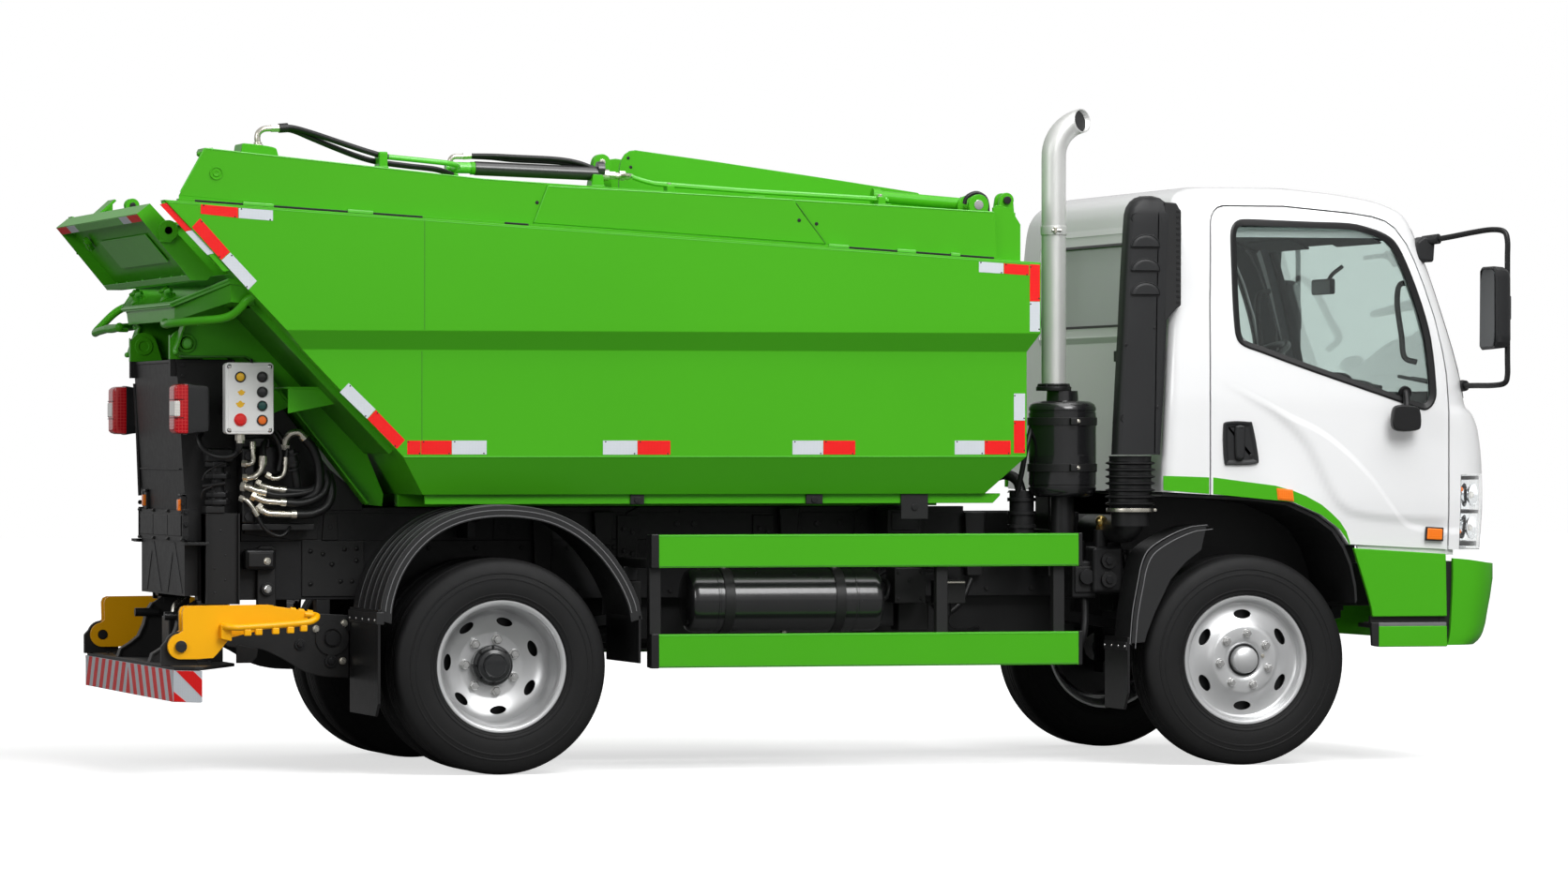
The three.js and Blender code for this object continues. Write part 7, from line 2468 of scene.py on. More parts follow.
def build_hydraulics():
    """Manifold, zinc fittings and hoses in front of the pedestal."""
    piece = Piece("hose_bundle", RIGHT)
    piece.box((-868, 440, 905), (-820, 536, 1180), "dark_metal", 8, 3)
    piece.box((-868, 440, 880), (-600, 536, 904), "black_plate", 4)
    piece.box((-800, 440, 1080), (-720, 500, 1190), "dark_metal", 10, 3)
    piece.box((-880, 450, 1180), (-760, 520, 1216), "dark_metal", 6, 3)
    for z in (930, 985, 1040, 1095, 1150):
        piece.rod((-844, 530, z), (-844, 548, z), 17, "dark_metal", sides=6)
    y = 560
    elbow(piece, [(-862, y - 12, 1070), (-836, y, 1072), (-812, y, 1088), (-800, y, 1108),
                  (-797, y, 1134)], 11)
    piece.rod((-797, y, 1118), (-795, y, 1150), 16, "zinc")
    piece.tube([(-795, y, 1148), (-790, y - 20, 1180), (-770, y - 60, 1215)], 11, "hose_rubber")
    elbows = [
        # radius, points
        (9, [(-866, y - 10, 1124), (-846, y, 1121), (-832, y, 1132), (-832, y, 1160),
             (-832, y - 4, 1196)]),
        (12, [(-870, y - 8, 1040), (-850, y + 4, 1036), (-826, y + 6, 1026), (-792, y + 4, 1018)]),
        (11, [(-814, y - 20, 1052), (-790, y - 10, 1040), (-760, y - 6, 1032),
              (-713, y - 6, 1026)]),
        (12, [(-836, y + 4, 1006), (-810, y + 10, 994), (-780, y + 12, 986), (-712, y + 12, 981)]),
        (13, [(-812, y + 4, 966), (-796, y + 14, 950), (-770, y + 16, 941), (-674, y + 16, 938)]),
        (8, [(-778, y - 6, 1082), (-760, y, 1070), (-734, y, 1072), (-716, y, 1092),
             (-711, y, 1140)]),
        (13, [(-712, y - 16, 1180), (-710, y - 8, 1208), (-694, y, 1230), (-662, y, 1234),
              (-638, y, 1210)]),
    ]
    for radius, points in elbows:
        elbow(piece, points, radius)
    hoses = [
        # radius, points
        (17, [(-640, y, 1212), (-612, y, 1178), (-592, y, 1126), (-586, y, 1070), (-592, y, 1030),
              (-620, y, 1000), (-660, y - 20, 985)]),
        (12, [(-794, y + 4, 1019), (-760, y + 4, 1010), (-715, y + 2, 1008), (-640, y, 1016),
              (-586, y - 6, 1040), (-560, y - 12, 1080)]),
        (14, [(-715, y - 6, 1026), (-670, y - 4, 1022), (-620, y - 6, 1026), (-580, y - 14, 1052),
              (-566, y - 24, 1090)]),
        (16, [(-714, y + 12, 981), (-660, y + 12, 979), (-610, y + 8, 992), (-572, y, 1018),
              (-556, y - 10, 1056), (-562, y - 24, 1092)]),
        (17, [(-676, y + 16, 938), (-620, y + 16, 940), (-570, y + 10, 962), (-546, y, 996),
              (-540, y - 12, 1036), (-548, y - 28, 1080)]),
        (9, [(-711, y, 1138), (-706, y - 10, 1180), (-712, y - 30, 1220)]),
        (15, [(-690, y - 4, 1170), (-684, y, 1130), (-676, y - 4, 1090), (-668, y - 10, 1046),
              (-664, y - 30, 1000)]),
        (10, [(-760, y - 20, 1240), (-736, y - 14, 1196), (-726, y - 16, 1150),
              (-734, y - 20, 1096)]),
        (10, [(-742, y - 30, 1240), (-716, y - 20, 1200), (-700, y - 20, 1160),
              (-690, y - 24, 1110)]),
    ]
    for radius, points in hoses:
        piece.tube(points, radius, "hose_rubber", sides=18)
    piece.rod((-690, y, 1150), (-682, y, 1112), 21, "hose_rubber")
    for z in (1160, 1132, 1104):
        piece.ring((-684, y, z), (0.2, 0, -1), 12, 23, 8, "dark_metal")
    elbow(piece, [(-876, y - 6, 998), (-858, y + 6, 990), (-838, y + 10, 968), (-820, y + 10, 938)],
          8)
    piece.tube([(-820, y + 10, 940), (-808, y + 10, 912), (-788, y + 8, 884), (-760, y + 4, 866),
                (-728, y, 860), (-704, y - 10, 876), (-690, y - 30, 892)], 7, "hose_rubber")
    piece.tube([(-901, 640, 1212), (-899, 640, 1184), (-912, 640, 1158), (-944, 636, 1146),
                (-982, 620, 1150), (-1012, 590, 1168), (-1024, 560, 1192), (-1020, 500, 1216),
                (-1000, 440, 1230)], 9,
               "hose_rubber")
    piece.make("chassis", "rubber", "hydraulic_hoses", angle=40)


def build_control_box():
    """Grey control box with two rows of buttons, corner screws and a cable gland."""
    piece = Piece("button_box", RIGHT)
    face = smooth_outline([(-962, 1238), (-954, 1230), (-795, 1230), (-787, 1238), (-787, 1478),
                           (-795, 1486), (-954, 1486), (-962, 1478)], skip=(0, 1, 2, 3, 4, 5, 6, 7),
                          step=1)
    piece.slab(face, 650, 694, "grey_housing", 5, 3)
    piece.slab(offset_outline(face, 1.5), 692, 712, "grey_housing", 5, 3)
    piece.slab(offset_outline(face, -9), 708, 714, "grey_housing", 3, 2)
    piece.slab([(-930, 1300), (-880, 1300), (-880, 1360), (-930, 1360)], 435, 652, "black_plate", 3)
    buttons = [
        # x, z, rim, cap radius, rim finish, cap finish, height
        (-909, 1435, 20, 15, "button_black", "button_yellow", 10),
        (-909, 1281, 23, 19, "button_red", "button_red", 12),
        (-829, 1435, 20, 16, "button_black", "button_black", 9),
        (-829, 1381, 20, 16, "button_black", "button_black", 9),
        (-829, 1331, 19, 15, "button_black", "button_teal", 10),
        (-829, 1279, 20, 15, "button_black", "button_orange", 10),
    ]
    for x, z, rim, cap, rim_paint, cap_paint, high in buttons:
        piece.ring((x, 712, z), OUT, cap - 1, rim, 7, rim_paint, 32, 2)
        piece.lathe((x, 711, z), OUT, [(0, 0), (cap, 0), (cap, high - 3), (cap - 3, high),
                                       (cap * 0.5, high + 0.6), (0, high + 0.8)], cap_paint, 32)
    for x, z, wide in ((-905, 1379, 13), (-909, 1337, 15)):
        outline = [(x + wide * (1 + 0.22 * math.sin(5 * a)) * math.cos(a),
                    z + wide * 0.72 * (1 + 0.2 * math.cos(4 * a)) * math.sin(a))
                   for a in [math.tau * k / 22 for k in range(22)]]
        piece.slab(outline, 713, 715, "button_yellow", 0.6, 1)
    for x, z in ((-948, 1472), (-801, 1472), (-948, 1244), (-801, 1244)):
        piece.rod((x, 708, z), (x, 713.5, z), 9, "dark_metal")
        fix("chassis", "screw", "bright_steel", (x, 713, z), OUT, 12, 4, RIGHT)
    piece.rod((-903, 682, 1206), (-903, 682, 1232), 19, "zinc", sides=8)
    piece.rod((-903, 682, 1196), (-903, 682, 1210), 14, "zinc")
    piece.tube([(-903, 682, 1200), (-903, 676, 1176), (-905, 660, 1170), (-903, 646, 1196)], 9,
               "hose_rubber")
    piece.rod((-866, 712, 1487), (-866, 700, 1498), 5, "dark_metal")
    piece.make("chassis", "grey_box", "control_box", angle=35)


def lamp_rings(depths):
    """The tail lamp's outline at each (x, inset)."""
    outline = smooth_outline([(568, 1250), (574, 1234), (600, 1230), (656, 1230), (682, 1234),
                              (688, 1250), (688, 1390), (682, 1406), (656, 1410), (600, 1410),
                              (574, 1406), (568, 1390)],
                             step=4)
    rings = []
    for x, inset in depths:
        wide, tall = 1 - inset / 60, 1 - inset / 90
        rings.append([(x, 628 + (y - 628) * wide, 1320 + (z - 1320) * tall) for y, z in outline])
    return rings


def build_tail_lamps():
    """Round-cornered tail lamps: red with a clear centre, in black housings on arms."""
    for word, side in SIDES:
        lamp = Piece(f"tail_light_{word}", side)
        lamp.loft(lamp_rings([(-1090, 2), (-1096, 0), (-1126, 1), (-1136, 4), (-1142, 10),
                              (-1144, 18)]),
                  "red_lens")
        lamp.box((-1145.5, 590, 1292), (-1122, 690, 1350), "clear_lens", 6, 3)
        for z in (1288, 1354):
            lamp.box((-1144.6, 576, z - 1.5), (-1110, 689, z + 1.5), "seal_rubber", 0.8, 1)
        for i in range(5):
            lamp.box((-1145.2, 600 + i * 16, 1300), (-1144, 603 + i * 16, 1342), "reflector", 0.3,
                     1)
        lamp.loft(lamp_rings([(-1014, 16), (-1020, 8), (-1030, 5), (-1060, 3), (-1086, -1.5),
                              (-1094, -2)]),
                  "grained_plastic")
        lamp.box((-1066, 500, 1260), (-1010, 585, 1385), "black_plate", 5, 3)
        lamp.box((-1060, 436, 1286), (-1008, 585, 1352), "black_plate", 4, 3)
        lamp.box((-1064, 512, 1290), (-1062, 560, 1350), "dark_metal", 2)
        for z in (1268, 1376):
            fix("chassis", "bolt", "dark_metal", (-1034, 583, z), OUT, 12, 8, side)
        lamp.make("chassis", "red_lens", f"tail_lamp_{word}", angle=35)


# ---------------------------------------------------------------- rear bar and arms


def clip_band(points, limit):
    """Cuts a (y, z) polygon at y = limit."""
    kept = []
    for a, b in zip(points, points[1:] + points[:1]):
        if a[0] <= limit:
            kept.append(a)
        if (a[0] <= limit) != (b[0] <= limit):
            t = (limit - a[0]) / (b[0] - a[0])
            kept.append((limit, a[1] + t * (b[1] - a[1])))
    return kept


def end_tape(part, corners, paint, rise):
    """A strip on the bar's slanted end; corners are (124ths of its width, z)."""
    start, end = Vector((-1188, 912)), Vector((-1102, 996))
    along = (end - start).normalized()
    out = Vector((-along.y, along.x))
    unit = (end - start).length / 124
    rings = []
    for depth in (-1.0, rise):
        spots = [(start + along * (s * unit) + out * depth, z) for s, z in corners]
        rings.append([(spot.x, spot.y, z) for spot, z in spots])
    part.loft(rings, paint)


def bar_stripes(part):
    """Red and white stripes on half of the bar."""
    part.beam([(0, 274), (912, 274), (912, 388), (0, 388)], -1189.4, -1187, "white_tape", 0.4, 1)
    for k in range(bpy.context.scene.truck_sizes.stripes):
        start = 46 + 143 * k
        band = clip_band([(start, 387), (start + 71, 387), (start + 143, 275), (start + 72, 275)],
                         911)
        if len(band) > 2:
            part.beam(band, -1190, -1187.5, "red_tape", 0.3, 1)
    part.beam([(0, 372), (46, 275), (0, 275)], -1190, -1187.5, "red_tape", 0.3, 1)
    end_tape(part, [(0, 275), (124, 275), (124, 387), (0, 387)], "white_tape", 0.8)
    end_tape(part, [(10, 386), (86, 386), (124, 356), (124, 294)], "red_tape", 1.6)
    end_tape(part, [(0, 312), (0, 276), (54, 276)], "red_tape", 1.6)


def build_rear_bar():
    """Striped bar with its deck, gussets and lugs."""
    piece = Piece("striped_bar")
    piece.plate([(-1188, -912), (-1102, -996), (-1102, 996), (-1188, 912)], 274, 388, "black_plate",
                3)
    half = [(-1186, -900), (-1120, -960), (-1090, -960), (-900, -560)]
    piece.plate(half + [(x, -y) for x, y in half[::-1]], 388, 400, "black_plate", 2)
    px, pz = ARM_PIN
    for part in piece.sides():
        deck = [(-1184, 560), (-1184, 898), (-1120, 958), (-1092, 958), (-1040, 850), (-1070, 560)]
        part.plate(deck, 399.5, 401.5, "deck_paint", 0.6, 1)
        bar_stripes(part)
        web = [(-1170, 399), (-1160, 428), (-1124, 450), (-1092, 476), (-1072, 520), (-1060, 570),
               (-1040, 600), (-1000, 624), (-900, 624), (-900, 399)]
        part.slab(web, 312, 342, "black_plate", 3)
        part.slab(strip_outline(web[:7], 7), 300, 354, "black_plate", 2)
        ears = [(-1215, 399), (-1215, 470)] + arc(ARM_PIN, 52, 160, 20, 12) + [(-1080, 399)]
        part.slab(ears, 786, 814, "black_plate", 3)
        part.rod((px, 756, pz), (px, 844, pz), 17, "dark_metal")
        part.rod((px, 841, pz), (px, 852, pz), 21, "button_black")
        part.box((-1000, 311, 600), (-900, 425, 624), "black_plate", 3)
        for x, y in ((-1150, 640), (-1130, 600), (-1060, 380), (-980, 500)):
            fix("chassis", "bolt", "dark_metal", (x, y, 400), UP, 14, 8, part.side)
        part.slab([(-895, 400), (-895, 468), (-816, 450), (-819, 422), (-840, 400)], 560, 572,
                  "black_plate", 2)
    piece.box((-1060, -120, 410), (-960, 20, 560), "dark_metal", 6, 3)
    piece.tube([(-1040, -100, 560), (-1030, -90, 600), (-990, -60, 630)], 10, "zinc")
    piece.make("chassis", "black_paint", "rear_bumper", angle=35)


def build_arms():
    """Yellow folding arms: two plates with a roller, grab handle and gripping ribs."""
    px, pz = ARM_PIN
    plate = [(px + 8, pz + 56), (px + 6, pz + 124), (px + 12, pz + 138), (px + 26, pz + 144),
             (px + 330, pz + 146), (px + 352, pz + 138), (px + 450, pz + 126), (px + 466, pz + 116),
             (px + 462, pz + 96), (px + 180, pz + 30), (px + 130, pz - 30), (px + 118, pz - 42),
             (px + 60, pz - 46)] + arc(ARM_PIN, 46, 270, 100, 18)
    handle = [(150, 842, 72), (156, 868, 70), (176, 886, 68), (210, 890, 68), (340, 890, 75),
              (445, 890, 84), (478, 880, 94), (492, 858, 104), (488, 838, 108), (452, 834, 112)]
    handle = [(px + x, y, pz + z) for x, y, z in handle]
    for word, side in SIDES:
        arm = Piece(f"folding_arm_{word}", side)
        for start, end in ((822, 840), (760, 778)):
            solid = combine(prism_solid("y", plate, start, end, side),
                            [prism_solid("y", arc(ARM_PIN, 19, 0, 345, 23), start - 5, end + 5,
                                         side)])
            round_edges(solid, 4, 3, 30)
            arm.take(solid, "yellow_paint")
        arm.slab([(px + 96, pz + 92), (px + 90, pz + 144), (px + 330, pz + 144),
                  (px + 455, pz + 126), (px + 455, pz + 92)], 777, 823, "yellow_paint", 4)
        arm.rod((px + 12, 778, pz + 4), (px + 12, 822, pz + 4), 33, "hose_rubber")
        arm.tube(handle, 12, "yellow_paint", sides=18)
        for x, z in ((233, 42), (273, 44), (335, 47), (389, 50), (437, 56)):
            arm.box((px + x - 13, 878, pz + z - 5), (px + x + 13, 900, pz + z + 20), "yellow_paint",
                    5, 3)
        arm.slab([(px + 141, pz + 78), (px + 180, pz + 68), (px + 180, pz + 18),
                  (px + 141, pz + 26)], 840,
                 872, "yellow_paint", 4)
        for x in (400, 430, 462):
            high = pz + 128 - (x - 400) * 0.15
            arm.rod((px + x, 826, high), (px + x + 20, 826, high - 4), 11, "yellow_paint")
        arm.make(f"lift_arm_{word}", "yellow_paint", f"lift_arm_{word}", angle=35)


# ---------------------------------------------------------------- frame, axles and tanks


def build_skirt():
    """Lower edge plates under the tub's floor."""
    skirt = Piece("tub_floor_edges")
    for part in skirt.sides():
        part.slab([(-262, 976), (1880, 976), (1908, 1004), (1908, 1012), (-262, 1012)], 848, 860,
                  "green_paint", 2)
        for x in (-120, 560, 1250, 1700):
            part.slab([(x, 980), (x + 14, 980), (x + 14, 1012), (x, 1012)], 760, 850,
                      "green_shadow", 1)
        for x0, x1, z in ((500, 552, 974), (1162, 1226, 974), (1524, 1628, 917)):
            part.box((x0, 861, z), (x1, 871, 1012), "black_plate", 3)
            middle, high = (x0 + x1) / 2, (z + 1006) / 2
            part.rod((middle, 870, high), (middle, 876, high), 12, "seal_rubber")
    skirt.make("tub", "green_paint")


def spring_plate(part):
    """Hanger plates, spring bracket and slotted plate behind the rear axle."""
    side = part.side
    part.slab([(-625, 637), (-395, 637), (-395, 838), (-535, 838), (-562, 843), (-625, 843)], 426,
              434, "black_plate", 2)
    for x, z in ((-594, 802), (-548, 792), (-514, 754), (-468, 809), (-423, 812), (-594, 683),
                 (-482, 692), (-440, 692), (-423, 767)):
        fix("chassis", "rivet", "black_plate", (x, 434, z), OUT, 18, 7, side)
    part.slab([(-841, 866), (-667, 846), (-569, 845), (-562, 936), (-834, 926)], 426, 436,
              "black_plate", 2)
    part.slab([(-796, 600), (-726, 600), (-726, 812), (-740, 822), (-784, 822), (-796, 812)], 426,
              456, "black_plate", 5, 3)
    for z in (762, 666):
        part.rod((-760, 454, z), (-760, 470, z), 24, "dark_metal")
        fix("chassis", "nut", "bright_steel", (-760, 470, z), OUT, 24, 16, side)
    part.box((-850, 440, 735), (-735, 500, 812), "dark_metal", 12, 3)
    part.box((-840, 500, 745), (-745, 512, 802), "black_plate", 8, 3)
    fix("chassis", "bolt", "zinc", (-770, 512, 768), OUT, 20, 10, side)
    plate = smooth_outline([(-931, 566), (-931, 470), (-860, 452), (-792, 448), (-716, 415),
                            (-626, 363), (-540, 344), (-465, 341), (-465, 570), (-619, 578)],
                           skip=(0, 7, 8, 9), step=3)
    part.slab(plate, 484, 500, "black_plate", 3)
    part.ring((-528, 500, 485), OUT, 34, 62, 8, "black_plate", 40)
    part.rod((-528, 496, 485), (-528, 514, 485), 26, "dark_metal")
    for x, z, size in ((-532, 403, 24), (-647, 464, 20)):
        part.rod((x, 498, z), (x, 508, z), size, "dark_metal")
        fix("chassis", "nut", "dark_metal", (x, 508, z), OUT, size, 14, side)
    for x, z in ((-482, 540), (-488, 403), (-587, 520)):
        fix("chassis", "nut", "zinc", (x, 500, z), OUT, 22, 18, side)


def rail_plates(part):
    """Bolt rows, splice plates and outriggers along a rail."""
    side = part.side
    for x in range(-150, 2300, 175):
        fix("chassis", "bolt", "black_plate", (x, RAIL_OUT, 812), OUT, 16, 9, side)
        fix("chassis", "bolt", "black_plate", (x + 40, RAIL_OUT, 652), OUT, 16, 9, side)
    for x in (560, 1080, 1560, 2250):
        part.slab([(x, 640), (x + 80, 640), (x + 80, 930), (x, 930)], RAIL_OUT, 437, "black_plate",
                  3)
        for z in (670, 730, 800, 880):
            fix("chassis", "bolt", "dark_metal", (x + 25, 437, z), OUT, 17, 10, side)
            fix("chassis", "bolt", "dark_metal", (x + 57, 437, z - 12), OUT, 17, 10, side)
    for x, low, high in ((240, 700, 940), (470, 820, 945), (1180, 820, 958), (1560, 868, 958),
                         (1900, 700, 940)):
        part.slab([(x, low), (x + 60, low), (x + 72, high), (x - 8, high)], 436, 470, "black_plate",
                  6)
    part.box((1540, 470, 862), (1670, 640, 952), "black_plate", 4)
    part.box((1556, 638, 874), (1654, 646, 940), "dark_metal", 3)


def rail_shade_sheets_and_boxes(part):
    """Dark sheets of painted shade inside the rails and behind the hoses, and the small boxes and
    drain ahead of the rear wheels.
    """
    # painted shade: dark sheets inside the frame rails
    part.slab([(-850, 938), (1900, 938), (1900, 961), (-850, 961)], 372, 421, "hose_rubber", 2)
    part.slab([(-900, 645), (2380, 645), (2380, 936), (-900, 936)], 330, 342, "hose_rubber", 2)
    part.box((1532, 640, 606), (1652, 760, 738), "black_plate", 5)
    for x, z in ((1548, 622), (1636, 622), (1548, 722), (1636, 722), (1592, 690)):
        part.rod((x, 758, z), (x, 765, z), 7, "dark_metal", sides=6)
    part.box((1700, 660, 604), (1794, 800, 690), "black_plate", 5)
    part.box((1706, 795, 680), (1790, 803, 686), "zinc", 1)
    part.rod((1745, 720, 560), (1745, 720, 606), 16, "dark_metal")
    part.tube([(1745, 720, 562), (1750, 712, 520), (1800, 680, 500), (1900, 600, 505)], 10,
              "hose_rubber")
    for x, z in ((790, 897), (856, 897), (1200, 905), (1330, 897), (1420, 897)):
        part.rod((x, 420, z), (x, 430, z), 11, "dark_metal", sides=6)
    behind = [(-890, 951), (-890, 1400), (-760, 1400), (-640, 1250), (-520, 1100), (-400, 1000),
              # painted shade: a dark sheet behind the hoses at the pedestal
              (-400, 951)]
    part.slab(behind, RAIL_OUT, 432, "hose_rubber", 2)
    # painted shade: low dark sheets inside the frame
    part.slab([(560, 470), (1500, 470), (1500, 640), (560, 640)], 340, 350, "hose_rubber", 2)
    part.slab([(1500, 420), (2360, 420), (2360, 640), (1500, 640)], 340, 350, "hose_rubber", 2)


def rail_equipment():
    """Valves, filters, hoses and brackets along the right rail."""
    part = Piece("equipment", RIGHT)
    part.box((1480, 560, 520), (1560, 660, 640), "dark_metal", 8, 3)
    part.box((1580, 540, 500), (1700, 640, 610), "black_plate", 8, 3)
    part.rod((1640, 600, 610), (1640, 600, 680), 26, "dark_metal")
    part.tube([(1640, 600, 680), (1660, 590, 740), (1760, 560, 760), (1880, 520, 740)], 11,
              "hose_rubber")
    part.tube([(1500, 600, 640), (1510, 600, 700), (1600, 560, 730), (1800, 500, 720)], 9,
              "hose_rubber")
    part.tube([(1740, 560, 600), (1780, 560, 560), (1850, 540, 600), (1900, 520, 690)], 12,
              "hose_rubber")
    part.box((2232, 600, 620), (2330, 720, 760), "dark_metal", 10, 3)
    part.box((2240, 716, 640), (2320, 730, 740), "black_plate", 6, 3)
    part.rod((2282, 730, 700), (2282, 750, 700), 28, "dark_metal")
    part.rod((2285, 640, 760), (2285, 640, 830), 20, "dark_metal")
    part.ball((2350, 705, 906), 22, "brass")
    part.rod((2350, 705, 872), (2350, 705, 888), 20, "brass", sides=6)
    part.rod((2350, 700, 800), (2350, 700, 874), 26, "dark_metal")
    part.box((2300, 640, 640), (2420, 760, 812), "dark_metal", 14, 3)
    for z in (690, 760):
        part.rod((2360, 758, z), (2360, 776, z), 30, "black_plate")
        part.rod((2360, 774, z), (2360, 784, z), 16, "dark_metal", sides=6)
    part.rod((2420, 720, 760), (2500, 700, 770), 34, "dark_metal")
    part.tube([(2290, 680, 640), (2292, 690, 560), (2280, 700, 470), (2260, 660, 400)], 14,
              "hose_rubber")
    part.tube([(2250, 680, 820), (2200, 640, 860), (2120, 560, 870)], 9, "hose_rubber")
    part.rod((2060, 640, 850), (2060, 640, 1020), 46, "dark_metal")
    for z in (880, 930, 980):
        part.ring((2060, 640, z), UP, 44, 54, 14, "dark_metal")
    part.box((2010, 540, 820), (2110, 700, 852), "black_plate", 4)
    part.tube([(2060, 640, 1010), (2050, 610, 1060), (2020, 560, 1080), (2000, 480, 1070)], 20,
              "hose_rubber")
    part.tube([(2030, 655, 980), (2040, 700, 1080), (2050, 730, 1180), (2080, 700, 1260)], 10,
              "hose_rubber")
    part.tube([(560, 600, 690), (590, 620, 640), (600, 600, 560)], 10, "hose_rubber")
    part.box((556, 520, 600), (600, 640, 690), "black_plate", 4)
    part.box((536, 560, 690), (590, 620, 745), "dark_metal", 4)
    return part


def build_rails():
    """Chassis rails with everything that is bolted to them."""
    rails = rounded(Piece("chassis_rails"), "chassis_frame", "black_paint", 2.5)
    for part in rails.sides():
        spring_plate(part)
        rail_plates(part)
    for part in rails.sides():
        rail_shade_sheets_and_boxes(part)
    rails.join(rail_equipment())
    rails.make("chassis", "black_paint", "chassis_frame", angle=35)


def build_subframe():
    """Tipping subframe with its tie plates."""
    piece = rounded(Piece("subframe_rails"), "tipping_subframe", "black_paint", 3.0)
    for x in (-640, -520, 120, 620, 1240, 1500, 1720):
        for part in piece.sides():
            fix("chassis", "bolt", "dark_metal", (x, RAIL_OUT, 890), OUT, 18, 10, part.side)
            part.slab([(x - 30, 842), (x + 30, 842), (x + 24, 962 if x > -200 else 940),
                       (x - 24, 938)],
                      RAIL_OUT, 433, "black_plate", 2)
    piece.make("chassis", "black_paint", "tipping_subframe", angle=35)


def build_axles():
    """Rear axle with its spring bolts, front axle, engine, fuel tank and hub carriers."""
    piece = rounded(Piece("rear_axle_beam"), "rear_axle", "black_paint", 3.0)
    for part in piece.sides():
        for x in (-45, 45):
            bow = [(x, 368, 500), (x, 368, 330), (x, 395, 318), (x, 422, 330), (x, 422, 500)]
            part.tube(bow, 9, "dark_metal")
        part.rod((-120, 470, 391), (-60, 470, 391), 60, "dark_metal")
    piece.make("chassis", "black_paint", "rear_axle", angle=35)
    for name, node, paint in (("front_axle_beam", "front_axle", "black_paint"),
                              ("engine_block", "powertrain", "dark_metal"),
                              ("left_fuel_tank", "fuel_tank", "black_plate")):
        rounded(Piece(name), node, paint, 3.0).make("chassis", "black_paint", node, angle=35)
    for word in ("right", "left"):
        node = f"steering_knuckle_{word}"
        piece = rounded(Piece(f"hub_carrier_{word}"), node, "dark_metal", 3)
        piece.make(f"knuckle_{word}", "black_paint", node)


def build_air_tank():
    """Black air tank with its straps and pipes."""
    tank = Piece("brake_tank", RIGHT)
    y, z = 785, 622
    half = [(0, 721), (60, 722), (94, 726), (108, 733), (114, 744), (116, 758), (116, 826),
            (118, 828), (118, 834), (116, 836)]
    profile = half + [(r, 2184 - h) for r, h in half[::-1]]
    tank.lathe((0, y, z), (1, 0, 0), profile, "silencer_black", 64)
    for x in (850, 1270):
        tank.ring((x, y, z), (1, 0, 0), 115, 120, 38, "black_plate", 64)
        tank.box((x, 430, 600), (x + 38, 700, 660), "black_plate", 4)
        tank.rod((x + 19, y + 20, z + 122), (x + 19, y - 20, z + 126), 7, "zinc")
    tank.rod((1450, y, z), (1476, y, z), 22, "zinc", sides=6)
    tank.tube([(1470, y, z), (1500, y - 20, z + 10), (1520, y - 80, z + 60), (1500, 560, 700)], 9,
              "hose_rubber")
    tank.rod((1100, y, z - 126), (1100, y, z - 112), 14, "zinc", sides=6)
    tank.make("chassis", "black_paint", "air_tank", angle=40)


# ---------------------------------------------------------------- stage


def stage_material(name, lit, glow, bounce):
    """Pale surround: catches shadows and shows white to the camera and through glass, and sends
    little light back up under the truck."""
    material = bpy.data.materials.new(name)
    material.use_nodes = True
    tree = material.node_tree
    shader = tree.nodes["Principled BSDF"]
    shader.inputs["Roughness"].default_value = 0.9
    shader.inputs["Specular IOR Level"].default_value = 0.0
    shader.inputs["Emission Color"].default_value = (1, 1, 1, 1)
    path = tree.nodes.new("ShaderNodeLightPath")
    seen = maths(tree, "MAXIMUM", path.outputs["Is Camera Ray"],
                 path.outputs["Is Transmission Ray"])
    where = tree.nodes.new("ShaderNodeTexCoord")
    reach = tree.nodes.new("ShaderNodeVectorMath")
    reach.operation = "LENGTH"
    tree.links.new(where.outputs["Object"], reach.inputs[0])
    even = remap(tree, reach.outputs["Value"], 3.0, 9.0, glow, glow + 0.24)
    tree.links.new(maths(tree, "MULTIPLY", seen, even), shader.inputs["Emission Strength"])
    tree.links.new(remap(tree, seen, 0.0, 1.0, bounce, lit), shader.inputs["Base Color"])
    return material


